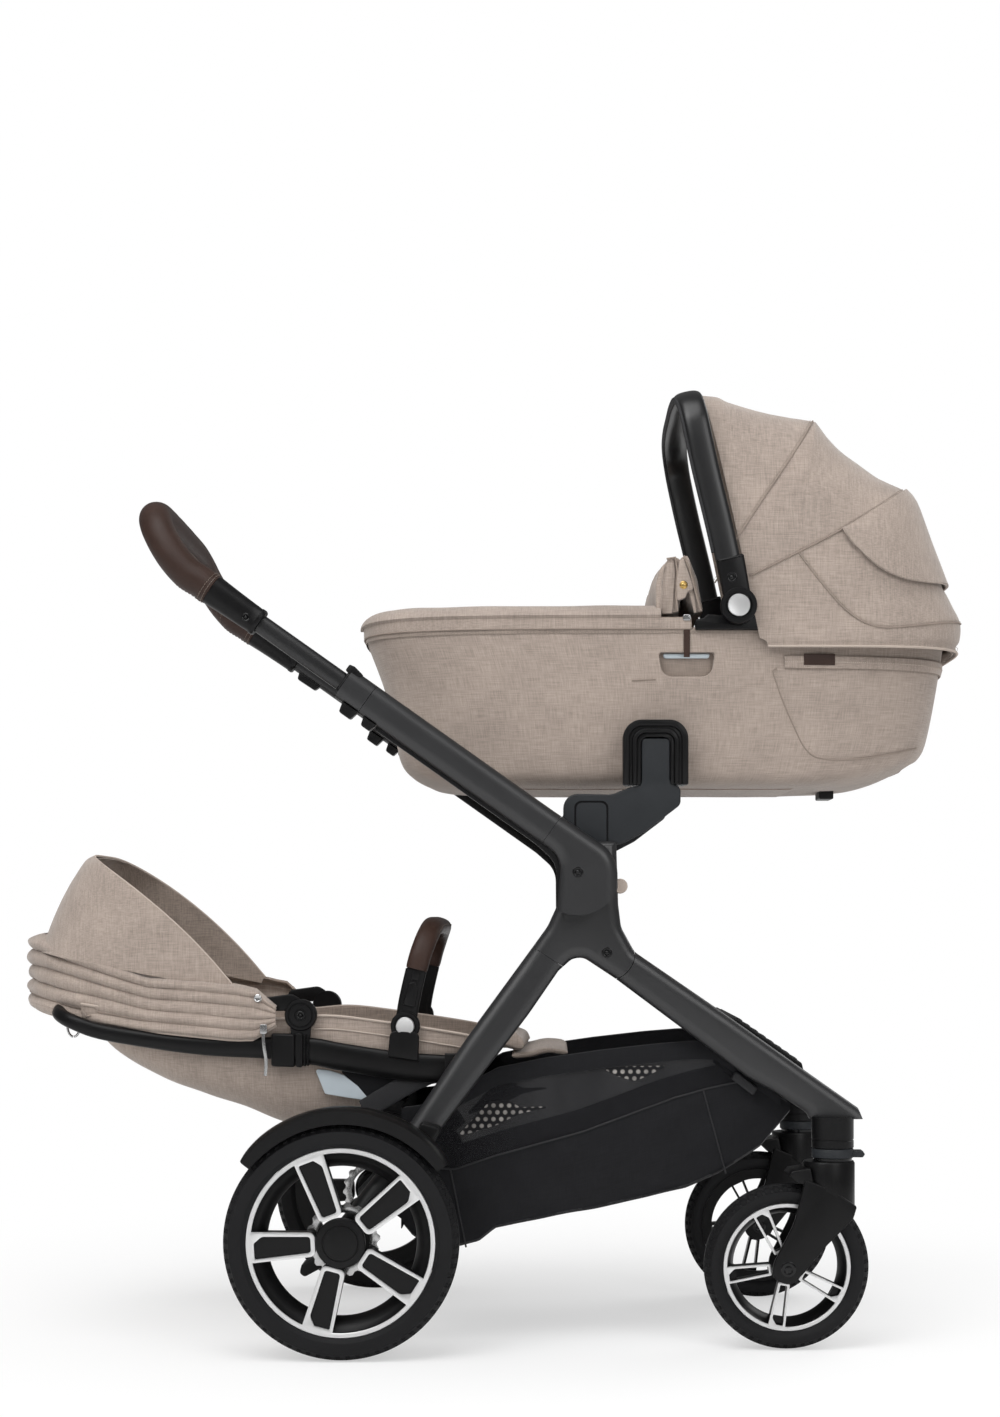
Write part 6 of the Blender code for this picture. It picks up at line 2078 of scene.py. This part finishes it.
@dataclass
class Gather:
    """Rolled folds of the sibling seat's hood, wrapped around the seat's rear end."""

    front: float = -281.0
    rear: float = -619.0
    half: float = 184.0
    power: float = 3.0
    rolls: float = 5.0
    top: Sequence[Flat] = ((-622, 524), (-592, 518), (-540, 501), (-444, 468), (-335, 459), (-300, 452),
                           (-286, 442), (-280, 428))
    bottom: Sequence[Flat] = ((-622, 428), (-592, 419), (-540, 408), (-444, 397), (-335, 386), (-300, 387),
                              (-286, 394), (-280, 408))

    def place(self, u: float, v: float) -> Vector:
        """Point of the folds; u runs from the near tab to the far one, v from top to bottom."""
        angle = math.pi * u
        c, s = math.cos(angle), math.sin(angle)
        bow = s ** (2 / self.power)
        x = self.front + (self.rear - self.front) * bow
        y = -math.copysign(abs(c) ** (2 / self.power), c) * self.half
        wander = 0.35 * noise.noise(Vector((u * 7.0, v * 2.0, 3.0))) + 0.12 * math.sin(u * 9.0)
        turn = self.rolls * v + wander * (1 - abs(2 * v - 1))
        deep = 0.35 + 0.65 * bow
        roll = abs(math.sin(math.pi * turn)) ** 0.55
        swell = (8.5 * roll + 2.5 * noise.noise(Vector((u * 16.0, v * 5.0, 8.0)))) * deep
        tuck = -13.0 * max(0.0, 1 - v / 0.1) ** 2 - 7.0 * max(0.0, (v - 0.93) / 0.07) ** 2
        flat = Vector((-s, 0.0, 0.0))
        out = Vector((flat.x * bow**4, math.copysign(1 - bow**6, y), 0.0)).normalized()
        high, low = blend_between(self.top, x), blend_between(self.bottom, x)
        return Vector((x, y, high + (low - high) * v)) + out * (swell + tuck)

    def build(self, fold: Fold) -> None:
        """Make the folds, the floor that joins them to the seat, the zip, its pull and the snap."""
        seat = Seat()

        def under(u: float, v: float) -> Vector:
            sling = seat.wall_point(-530.0, u)
            folds = self.place(0.2 + 0.6 * u, 0.86)
            spot = sling + (folds - sling) * v
            return spot - Vector((0.0, 0.0, 7.0 * math.sin(math.pi * v)))

        bm = faced(surface(under, 72, 14))
        cut = Cut.of(bm)
        obj = piece("seat_head_floor", thicken(bm, 1.4), TAUPE_SOLID, "seat", sharp=60)
        cut.declare(obj, "hung", ["seat_hood_folds"])
        bm = faced(surface(self.place, 150, 96))
        rumple(bm, 26.0, 1.2, 4.0)
        cut = Cut.of(bm)
        obj = piece("seat_hood_folds", thicken(bm, 3.0), TAUPE_SOLID, fold, sharp=60)
        cut.declare(obj, "gathered", ["seat_rail_tube"])
        line = [self.place(k / 120, 0.79) for k in range(121)]
        # Zip line in the welt colour, darkened as painted shade.
        piece("seat_hood_zip", cordlet(line, 1.3), SHADED_WELT, fold)
        edge = [self.place(k / 120, 0.985) for k in range(121)]
        piece("seat_hood_binding", cordlet(edge, 1.8), TAPE, fold)
        pulls = []
        for y in (-1, 1):
            cord = curve_through([(-296, y * 192, 402), (-295, y * 194, 384), (-292, y * 194, 362),
                                  (-293, y * 194, 343)], 6)
            pulls.append(bar(cord, (2.2, 1.0), (1, 0, 0), 10, 3.0))
            pulls.append(block([(-300, 396, 1.5), (-300, 408, 1.5), (-291, 408, 1.5), (-291, 396, 1.5)],
                               y * 192 - 2.4, y * 192 + 2.4, 0.8))
        piece("seat_hood_pulls", joined(pulls), STEEL, fold)
        snap = turned([(0, 0), (5.0, 0), (5.0, 0.8), (4.0, 1.4), (3.0, 0.8), (0, 1.0)],
                      (-303.0, 190.0, 441.0), 32)
        piece("seat_hood_snaps", both_sides(snap), STEEL, fold)


def seat_hood() -> None:
    """Make the sibling seat's hood: visor, lining and gathered folds."""
    fold = Fold("seat", "seat_hood", (-600, 0, 400), (-600, 0, 520))
    visor = [(-532, 625), (-545, 617), (-560, 594), (-578, 560), (-593, 524), (-602, 500)]
    hood = Hood("seat_hood", (-330.0, 448.0), [visor], half=173.0, power=4.4, low=0.05, fold=fold,
                held_by=["hood_arm_near", "hood_arm_far"], bow=13.0)
    hood.shell(110, ["seat_canopy"], 1.0)
    hood.lining(96, 4.0, 2.4)
    edge = [hood.place(0.0, k / 140) for k in range(141)]
    piece("seat_hood_edge", cordlet(edge, 1.6), TAPE, fold)
    centre = Vector((hood.centre[0], 0.0, hood.centre[1]))
    inside = [hood.place(0.06, k / 140) for k in range(141)]
    inset = [p + (p - centre).normalized() * 0.9 for p in inside]
    piece("seat_hood_edge_stitches", stitches(inset), THREAD_PALE, fold)
    Gather().build(fold)


@dataclass
class Seat:
    """Sibling seat: shell, rails, pads, harness, bumper bar and leg rest."""

    half: float = 166.0
    power: float = 4.2
    top: Sequence[Flat] = ((-532, 433), (-469, 424), (-387, 417), (-281, 414), (-220, 418), (-160, 412),
                           (-60, 397), (-14, 388))
    floor: Sequence[Flat] = ((-532, 406), (-519, 396), (-488, 362), (-435, 331), (-378, 309), (-328, 293),
                             (-290, 276), (-250, 265), (-215, 268), (-165, 293), (-110, 326), (-60, 343),
                             (-14, 352))

    def build(self) -> None:
        """Make every piece of the seat."""
        self.shell()
        self.rail()
        self.pads()
        self.harness()
        self.bumper()
        for side in Side:
            self.hinge(side)

    def wall_point(self, x: float, v: float, inset: float = 0.0) -> Vector:
        """Point of the shell's trough; v runs from the near edge to the far one."""
        top, floor = blend_between(self.smooth_top, x), blend_between(self.smooth_floor, x)
        angle = math.pi * (1 - v)
        c, s = math.cos(angle), math.sin(angle)
        y = (self.half - inset) * math.copysign(abs(c) ** (2 / self.power), c)
        return Vector((x, y, top - (top - floor - inset) * abs(s) ** (2 / self.power)))

    def __post_init__(self) -> None:
        """Smooth the side-view lines of the shell."""
        self.smooth_top = [(p[0], p[1]) for p in curve_through(self.top, 8)]
        self.smooth_floor = [(p[0], p[1]) for p in curve_through(self.floor, 8)]

    def shell(self) -> None:
        """Taupe sling with a lining, piped edges and pale side panels."""
        def outer(u: float, v: float) -> Vector:
            return self.wall_point(-532 + 518 * u, v)

        def inner(u: float, v: float) -> Vector:
            return self.wall_point(-527 + 508 * u, v, 4.0)

        bm = faced(surface(outer, 96, 72))
        rumple(bm, 48.0, 1.4, 11.0)
        cut = Cut.of(bm)
        obj = piece("seat_sling", thicken(bm, 1.8), TAUPE_SOLID, "seat", ["seat_shell"], sharp=60)
        cut.declare(obj, "hung", ["seat_rail_tube"])
        bm = surface(inner, 80, 60)
        cut = Cut.of(bm)
        # Seat lining in the darkened taupe, painted shade inside the seat.
        obj = piece("seat_lining", rumple(bm, 40.0, 0.8, 2.0), SHADED_INNER_CLOTH_SOLID, "seat", sharp=60)
        cut.declare(obj, "hung", ["seat_rail_tube"])
        top = [Vector((x, self.half + 0.5, z)) for x, z in self.smooth_top]
        low = [Vector((x, self.half + 0.8, z - 17)) for x, z in self.smooth_top if x > -235]
        piece("seat_piping", both_sides(joined([cordlet(top, 2.0), cordlet(low, 1.1)])), TAPE, "seat")
        rows = [self.wall_point(x, 0.965, -0.4) for x in range(-520, -240, 8)]
        piece("seat_stitches", both_sides(stitches([Vector((p.x, p.y + 0.6, p.z)) for p in rows])),
              THREAD_PALE, "seat")
        corners = [(-233, 350), (-214, 348), (-196, 342), (-178, 328), (-162, 309), (-190, 313),
                   (-220, 318)]
        panel = block([(*p, 3) for p in corners], self.half - 6, self.half + 1.2, 0.8)
        piece("seat_side_panels", both_sides(panel), PANEL, "seat")
        corners = [(-204, 350), (-130, 346), (-60, 341), (-58, 335), (-110, 326), (-160, 296), (-176, 299),
                   (-170, 312), (-182, 330)]
        mesh = block([(*p, 3) for p in corners], self.half - 4, self.half + 0.8, 0.6)
        piece("seat_side_mesh", both_sides(mesh), BASKET_CLOTH, "seat")

    def rail(self) -> None:
        """Oval rail around the seat with its joint collars and ring."""
        near = [(-28, -174, 349, 18), (-80, -174, 351, 18), (-130, -174, 355, 18), (-200, -174, 366, 17.5),
                (-236, -174, 373, 17), (-288, -174, 377, 14), (-370, -174, 379, 11.5),
                (-440, -174, 387, 10.5), (-505, -174, 398, 10), (-538, -172, 409, 9.5),
                (-557, -160, 417, 9), (-567, -132, 423, 9), (-570, -80, 426, 9), (-570, 0, 426, 9)]
        line = curve_through([p[:3] for p in near], 5)
        tall = curve_through([(p[3], 0.0) for p in near], 5)
        path = over(line)
        sizes = [t[0] for t in tall] + [t[0] for t in reversed(tall[:-1])]
        last = len(path) - 1
        bm = bar(path, lambda t: (sizes[round(t * last)], 7.2 if sizes[round(t * last)] > 11 else 8.2),
                 (0.05, 0.0, 1.0), 32, 2.6)
        piece("seat_rail_tube", bm, PLASTIC, "seat", ["seat_rail"], sharp=60)
        parts = []
        steps = ((-287, -257, 21.0), (-256, -247, 21.6), (-246, -243, 20.4), (-242, -239, 19.6))
        for x0, x1, grow in steps:
            collar = block([(x0, 375 - grow, 3), (x0, 375 + grow, 3), (x1, 374 + grow, 3),
                            (x1, 374 - grow, 3)], 164.8, 183.8, 1.4 if x1 > -250 else 2.8, 4)
            parts.append(collar)
        piece("seat_rail_collars", both_sides(joined(parts)), PLASTIC, "seat")
        ring = bar([Vector((-545 + 8 * math.cos(a), -148,
                            404 + 14 * math.sin(a))) for a in [math.pi / 2 + math.radians(k * 10 - 175)
                                                               for k in range(36)]], (1.6, 1.6), (0, 1, 0),
                   10)
        piece("seat_ring", ring, STEEL, "seat")

    def hinge(self, side: Side) -> None:
        """Round hood pivot with a grooved face, and the hood's arm on it."""
        tag = side.tag
        face = [(0, -8), (19.6, -8), (20.2, -7), (20.2, 6.0), (18.8, 7.8), (16.2, 7.8), (15.6, 6.9),
                (14.8, 6.9), (14.2, 7.8), (7.6, 8.0), (7.0, 6.6), (0, 6.6)]
        parts = [turned(face, HOOD_PIVOT, 64)]
        parts.append(block([(-262, 388, 2), (-238, 388, 2), (-236, 412, 6), (-264, 412, 6)], 172.4, 180.0,
                           2))
        piece(f"hood_pivot_{tag}", mirrored(joined(parts), side), PLASTIC, "seat")
        screw((HOOD_PIVOT[0], HOOD_PIVOT[2]), 180.4, side, "seat", f"hood_screw_{tag}", 2.6)
        arm = block([(-306, 440, 8), (-262, 446, 14), (-246, 436, 8), (-262, 424, 8), (-304, 424, 8)],
                    166.5, 171.2, 1.5)
        piece(f"hood_arm_{tag}", mirrored(arm, side), PLASTIC, "seat_hood")

    def pads(self) -> None:
        """Backrest pad, leg rest pad and calf cover."""
        line = [(-512, 404), (-464, 382.5), (-380, 343), (-300, 305), (-250, 291), (-214, 291)]
        path = curve_through([(x, 0.0, z) for x, z in line], 9)
        count = len(path) - 1

        def size(t: float) -> Flat:
            end = min(t, 1 - t) * count
            swell = min(1.0, 0.45 + 0.55 * math.sin(min(end / 4.0, 1.0) * math.pi / 2))
            return (8.4 * swell, 140.0 * (0.94 + 0.06 * min(end / 4.0, 1.0)))

        bm = bar(path, size, (0, 0, 1), 72, 5.0)
        pad = piece("backrest_pad", bm, PADDING, "backrest", ["seat_backrest"], sharp=60)
        puff(pad, 5.0, 3.0)
        rest = curve_through([(-11, 0, 379), (4, 0, 383), (20, 0, 382), (37, 0, 376)], 8)
        last = len(rest) - 1

        def rest_size(t: float) -> Flat:
            end = min(t, 1 - t) * last
            swell = min(1.0, 0.4 + 0.6 * math.sin(min(end / 4.0, 1.0) * math.pi / 2))
            return (blend_between([(0, 11.0), (0.4, 14.5), (1.0, 12.5)], t) * swell, 131.0)

        bm = bar(rest, rest_size, (0, 0, 1), 64, 5.0)
        leg = piece("leg_rest_pad", rumple(bm, 30.0, 0.8), TAUPE_SOLID, "leg_rest_panel", ["leg_rest"],
                    sharp=60)
        puff(leg, 4.0, 3.0)
        tongue = curve_through([(18, 0, 364), (40, 0, 366), (64, 0, 371), (90, 0, 368)], 8)
        end = len(tongue) - 1

        def tongue_size(t: float) -> Flat:
            return (5.2 * math.sin(min(min(t, 1 - t) * end / 4.0 + 0.2, 1.0) * math.pi / 2), 124.0)

        calf = piece("calf_pad", rumple(bar(tongue, tongue_size, (0, 0, 1), 56, 5.0), 26.0, 0.8),
                     TAUPE_SOLID, "leg_rest_panel", sharp=60)

    def harness(self) -> None:
        """Shoulder and lap straps, crotch strap and buckle lying on the pad."""
        parts = []
        for side in (-1, 1):
            shoulder = curve_through([(-420, side * 40, 374), (-360, side * 42, 347),
                                      (-300, side * 34, 320), (-262, side * 14, 305)], 8)
            parts.append(bar(shoulder, (1.0, 12.0), (0.3, 0, 1), 12, 4.0))
            lap = curve_through([(-236, side * 128, 303), (-244, side * 80, 302), (-256, side * 16, 304)],
                                8)
            parts.append(bar(lap, (1.0, 11.0), (0.1, 0, 1), 12, 4.0))
        crotch = curve_through([(-216, 0, 300), (-236, 0, 303), (-252, 0, 306)], 6)
        parts.append(bar(crotch, (1.0, 12.0), (0, 0, 1), 12, 4.0))
        piece("harness_straps", joined(parts), WEBBING, "backrest", slot="black_plastic")
        buckle = block([(-276, 303, 3), (-276, 314, 5), (-246, 317, 5), (-246, 305, 3)], -19, 19, 3.0)
        piece("harness_buckle", buckle, PLASTIC, "backrest")

    def bumper(self) -> None:
        """Leather bumper bar on black legs with silver release buttons."""
        legs = [(-117, -171, 405), (-113.5, -171, 430), (-109, -171, 452), (-103.4, -170.4, 476)]
        bow = [(-103, -170, 477), (-98, -168, 496), (-92, -159, 514), (-87, -140, 527), (-84.5, -108, 532),
               (-84, -60, 533), (-84, 0, 533)]
        path = over(curve_through(bow, 7))
        last = len(path) - 1

        def size(t: float) -> Flat:
            end = min(t, 1 - t) * last
            swell = 0.95 + 0.05 * min(end / 2.0, 1.0)
            return (14.0 * swell, 10.5 * swell)

        bm = rumple(bar(path, size, (0.97, 0.0, -0.2), 36, 2.3), 26.0, 0.3)
        piece("bumper_leather", bm, HIDE, "bumper", ["bumper_bar"], sharp=60)
        seam = [p + Vector((0.97, 0, 0.1)) * 14.4 for p in path[3:-3]]
        piece("bumper_stitches", stitches(seam, 2.8, 1.8, 0.4), THREAD, "bumper")
        for side in Side:
            tag = side.tag
            leg = curve_through([(x, -y, z) for x, y, z in legs], 6)
            parts = [bar(leg, (13.6, 5.6), (0.97, 0, -0.2), 28, 3.2)]
            inside = curve_through([(-105, 170.6, 470), (-102, 169.6, 482), (-97, 166.4, 497)], 4)
            parts.append(bar(inside, (12.0, 4.6), (0.97, 0, -0.2), 28, 3.0))
            parts.append(block([(-121, 432, 3), (-105, 428, 3), (-100, 452, 4), (-104, 462, 3),
                                (-112, 460, 3)], 172.0, 178.4, 1.5))
            parts.append(block([(-110, 464, 2), (-100, 462, 2), (-98, 472, 2), (-108, 474, 2)], 172.0,
                               177.4, 1.0))
            ring = [(12.4, -7), (18.6, -7), (18.6, 4.6), (17.4, 6.0), (14.0, 6.0), (13.2, 5.0), (12.4, 5.0)]
            parts.append(turned(ring, BUMPER_PIVOT, 56))
            parts.append(rod(12.8, -7, 2.6, BUMPER_PIVOT, 40))
            piece(f"bumper_leg_{tag}", mirrored(joined(parts), side), PLASTIC, "bumper")
            cradle = block([(-139, 366, 2), (-100, 360, 2), (-99, 398, 8), (-136, 400, 8)], 175.6, 183.0,
                           2.0)
            piece(f"bumper_cradle_{tag}", mirrored(cradle, side), PLASTIC, "seat")
            button = [(0, 3.0), (11.6, 3.0), (11.6, 8.2), (10.8, 9.0), (7.0, 8.6), (0, 8.2)]
            piece(f"bumper_button_{tag}_face", mirrored(turned(button, BUMPER_PIVOT, 56), side), SILVER,
                  f"bumper_button_{tag}", [f"bumper_button_{tag}"])


@dataclass
class Basket:
    """Fabric basket slung between the frames, with net sides and a hem."""

    half: float = 165.0
    rear: float = -122.0
    front: float = 374.0
    fade: float = 60.0
    fold: Fold = field(default_factory=lambda: Fold("chassis", "front_frame", (150, 0, 300), (360, 0, 300)))
    top: Sequence[Flat] = ((-122, 300), (-96, 303), (-62, 318), (1, 351), (60, 363), (130, 373), (200, 381),
                           (250, 385), (278, 384), (312, 361), (350, 334), (374, 314))
    waist: Sequence[Flat] = ((-122, 226), (-55, 222), (0, 240), (110, 270), (226, 313), (268, 325),
                             (310, 334), (350, 322), (374, 306))
    floor: Sequence[Flat] = ((-122, 148), (-108, 131), (-84, 121), (-48, 119), (-24, 125), (-3, 142),
                             (70, 157), (155, 173.5), (241, 193.8), (284, 212), (337, 247), (374, 290))

    def build(self) -> None:
        """Make every piece of the basket."""
        self.cloth()
        self.net()
        self.hem()
        self.details()

    def bulge(self, x: float, z: float) -> float:
        """Outward swell and wrinkles of the side panel."""
        top, floor = blend_between(self.top, x), blend_between(self.floor, x)
        share = min(max((z - floor) / max(top - floor, 1.0), 0.0), 1.0)
        fade = math.sin(math.pi * share) * min((x - self.rear) / self.fade,
                                               1.0) * min((self.front - x) / self.fade, 1.0)
        crease = noise.noise(Vector((x / 34.0 + z / 60.0, z / 130.0, 2.0)))
        soft = noise.noise(Vector((x / 75.0 - z / 45.0, z / 50.0, 6.0)))
        return fade * (3.0 * crease + 4.0 * soft + 2.0)

    def cloth(self) -> None:
        """Opaque tray: floor, lower sides and the two end walls."""
        def place(u: float, v: float) -> Vector:
            x = self.rear + (self.front - self.rear) * u
            floor, waist = blend_between(self.floor, x), blend_between(self.waist, x)
            t = v * 3
            if t <= 1:
                z = waist + (floor + 8 - waist) * t
                return Vector((x, -self.half - self.bulge(x, z), z))
            if t >= 2:
                z = floor + 8 + (waist - floor - 8) * (t - 2)
                return Vector((x, self.half + self.bulge(x, z), z))
            share = (t - 1) * 2 - 1
            y = self.half * share
            lift = 8.0 * abs(share) ** 12
            return Vector((x, y, floor + lift + 1.5 * noise.noise(Vector((x / 50, y / 50, 0)))))

        bm = faced(surface(place, 120, 90))
        cut = Cut.of(bm)
        obj = piece("basket_tray", thicken(bm, 1.2), BASKET_CLOTH, self.fold, ["basket"], sharp=60)
        cut.declare(obj, "hung", ["front_leg_near_tube", "front_leg_far_tube", "rear_leg_near_tube",
                                  "rear_leg_far_tube"])

        def back(u: float, v: float) -> Vector:
            x = self.rear - 3 * math.sin(math.pi * u) + 2 * noise.noise(Vector((u * 5, v * 2, 0)))
            return Vector((x, self.half * (2 * u - 1), 146 + 152 * v))

        rear = surface(back, 50, 20)
        cut = Cut.of(rear)
        obj = piece("basket_rear_wall", thicken(rear, 1.2), BASKET_CLOTH, self.fold, sharp=60)
        cut.declare(obj, "hung", ["basket_tray"])

    def net(self) -> None:
        """Sheer net sides above the tray."""
        def place(u: float, v: float) -> Vector:
            x = self.rear + (self.front - self.rear) * u
            waist, top = blend_between(self.waist, x), blend_between(self.top, x)
            z = waist + (top - waist) * v
            return Vector((x, self.half + self.bulge(x, z), z))

        bm = faced(surface(place, 110, 22))
        cut = Cut.of(bm, 2)
        obj = piece("basket_net_sides", both_sides(bm), BASKET_NET, self.fold, sharp=60)
        cut.declare(obj, "hung", ["basket_tray"])

    def hem(self) -> None:
        """Opaque hem along the top edge, seams and piping."""
        def place(u: float, v: float) -> Vector:
            x = self.rear + 484 * u
            top = blend_between(self.top, x)
            z = top - 22 * (1 - v)
            return Vector((x, self.half + 1.2 + self.bulge(x, z) + 0.8 * math.sin(math.pi * v), z))

        bm = faced(surface(place, 90, 6))
        piece("basket_hem", both_sides(thicken(bm, 2.4)), BASKET_CLOTH, self.fold, sharp=60)
        lines = []
        for points in (self.waist, self.top):
            spots = []
            for k in range(100):
                x = self.rear + 4 + 488 * k / 99
                z = blend_between(points, x)
                spots.append(Vector((x, self.half + 1.0 + self.bulge(x, z), z)))
            lines.append(cordlet(spots, 1.4))
        for x0, z0, x1, z1 in ((263, 322, 292, 216), (-60, 222, -40, 122)):
            spots = []
            for k in range(24):
                x, z = x0 + (x1 - x0) * k / 23, z0 + (z1 - z0) * k / 23
                spots.append(Vector((x, self.half + 0.8 + self.bulge(x, z), z)))
            lines.append(cordlet(spots, 1.2))
        piece("basket_piping", both_sides(joined(lines)), WEBBING, self.fold)

    def details(self) -> None:
        """Comb patches on the net, hanging tabs and the rear straps."""
        patches = []
        for low, high in (([(-48, 264), (-24, 271), (1, 279), (29, 293), (62, 300)],
                           [(-48, 267), (-30, 288), (-9, 309), (17, 308), (29, 301), (62, 302)]),
                          ([(139, 348), (155, 340), (176, 334), (196, 343), (213, 352)],
                           [(139, 351), (176, 353.5), (213, 354)])):
            def place(u: float, v: float) -> Vector:
                x = low[0][0] + (low[-1][0] - low[0][0]) * u
                z = blend_between(low, x) + (blend_between(high, x) - blend_between(low, x)) * v
                return Vector((x, self.half + 0.5 + self.bulge(x, z), z))

            bm = surface(place, 40, 12)
            layer = bm.loops.layers.uv.verify()
            for face in bm.faces:
                for loop in face.loops:
                    loop[layer].uv = (loop.vert.co.x * MM, loop.vert.co.z * MM)
            patches.append(faced(bm))
        piece("basket_comb", both_sides(joined(patches)), BASKET_COMB, self.fold)
        strap = curve_through([(-170, 0, 298), (-140, 0, 316), (-108, 0, 334), (-72, 0, 350)], 6)
        straps = bar([Vector((p.x, 171.0, p.z)) for p in strap], (13.0, 1.6), (-0.5, 0, 0.86), 20, 4.0)
        piece("basket_rear_straps", both_sides(straps), WEBBING, "chassis")
        tabs = block([(-98, 262, 3), (-80, 256, 3), (-58, 300, 3), (-74, 306, 3)], 164.0, 204.0, 2.0)
        piece("basket_rear_tabs", both_sides(tabs), WEBBING, "chassis")
        fronts = block([(298, 338, 3), (326, 316, 3), (332, 326, 3), (304, 348, 3)], 162.5, 177.6, 2.0)
        piece("basket_front_tabs", both_sides(fronts), WEBBING, "front_frame")


def repaint(node: str, finish: Finish) -> None:
    """Give a node that the frame still shows a detailed finish."""
    slots = bpy.data.objects[node].data.materials
    for index in range(len(slots)):
        slots[index] = finish.material()


@dataclass
class Crossmembers:
    """Tubes, axle, brake pedal, footboard and mounts that join the two sides."""

    def build(self) -> None:
        """Make the crossmembers and repaint the plain ones."""
        self.pedal()
        self.footboard()
        for node in ("hub_cross_tube", "front_cross_tube", "rear_axle"):
            repaint(node, COATED)
        for side in Side:
            repaint(f"seat_mount_{side.tag}", PLASTIC)
        self.stop_buttons()

    def pedal(self) -> None:
        """Brake pedal with ribs, on a sleeve around the axle."""
        x, z = REAR_AXLE
        parts = [turned([(11.6, -23), (18.4, -23), (19, -22), (19, 22), (18.4, 23), (11.6, 23)], (x, 0, z),
                        48)]
        outline = rounded([(-199, 131, 3), (-205, 137, 4), (-238, 93, 20), (-266, 78, 6), (-269, 66, 6),
                           (-262, 61, 5), (-232, 77, 14), (-196, 126, 4)])
        parts.append(slab(outline, -21, 21, 3.0))
        for k in range(5):
            cx, cz = -262 + k * 6.2, 77.4 + k * 3.4
            rib = rounded([(cx - 1.4, cz, 0.5), (cx + 1.4, cz + 0.8, 0.5), (cx + 0.9, cz + 3.0, 0.5),
                           (cx - 1.2, cz + 2.2, 0.5)])
            parts.append(slab(rib, -16, 16, 0.4))
        piece("pedal_body", joined(parts), PLASTIC, "pedal", ["brake_pedal"])

    def footboard(self) -> None:
        """Ridged board between the front legs."""
        outline = rounded([(298, 409, 3), (304, 417, 4), (388, 358, 5), (390, 349, 4), (382, 341, 4),
                           (298, 399, 4)])
        parts = [slab(outline, -177.4, 177.4, 2.5)]
        for k in range(8):
            share = (k + 0.5) / 8
            cx, cz = 306 + 80 * share, 415.8 - 56.2 * share
            rib = rounded([(cx - 2.2, cz - 1, 0.6), (cx + 1.8, cz - 3.4, 0.6), (cx + 2.9, cz - 1.2, 0.6),
                           (cx - 0.6, cz + 1.8, 0.6)])
            parts.append(slab(rib, -160, 160, 0.5))
        piece("footboard_ribbed", joined(parts), PLASTIC, "front_frame", ["footboard"])

    def stop_buttons(self) -> None:
        """Soft round stops on the front of both hubs."""
        stops = turned([(0, -9), (8.4, -9), (9.4, -7.6), (9.4, 7.6), (8.4, 9), (0, 9)],
                       (156.0, 189.0, 583.0), 40)
        piece("hub_stops", both_sides(stops), TAPE, "chassis")


def main() -> None:
    """Build the stage and every sub-assembly."""
    logging.basicConfig(level=logging.INFO, format="%(message)s")
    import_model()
    Studio().build()
    for side in Side:
        Wheel("rear", side, axle=REAR_AXLE, y=TRACK_REAR, radius=145.0, rim=116.2, ring=110.2, well=92.0,
              hub=31.0, turn=39.0, slotted=False, blocks=72,
              spoke=[(31.5, -14.5, 7), (112.5, -19.5, 1), (112.5, 19.0, 1), (31.5, 14.5, 7)],
              panel=[(36.5, -9.8, 4), (96, -13.0, 9), (106, -5.0, 3), (106, 14.6, 2),
                     (36.5, 9.8, 4)]).build()
        Wheel("front", side, axle=FRONT_AXLE, y=TRACK_FRONT, radius=103.8, rim=80.2, ring=75.0, well=66.0,
              hub=17.0, turn=44.0, slotted=True, blocks=56,
              spoke=[(20.0, -7.2, 2), (76.5, -11.0, 1), (76.5, 10.6, 1), (20.0, 7.2, 2)],
              panel=[(23.2, -4.4, 1.2), (66, -7.2, 7), (73.5, -1.0, 3), (73.5, 7.6, 1.5),
                     (23.2, 4.4, 1.2)]).build()
        Caster(side).build()
        SideFrame(side).build()
    Handle().build()
    Carrycot().build()
    Arch().build()
    carrycot_hood()
    seat_hood()
    Seat().build()
    Basket().build()
    Crossmembers().build()


if __name__ == "__main__":
    main()
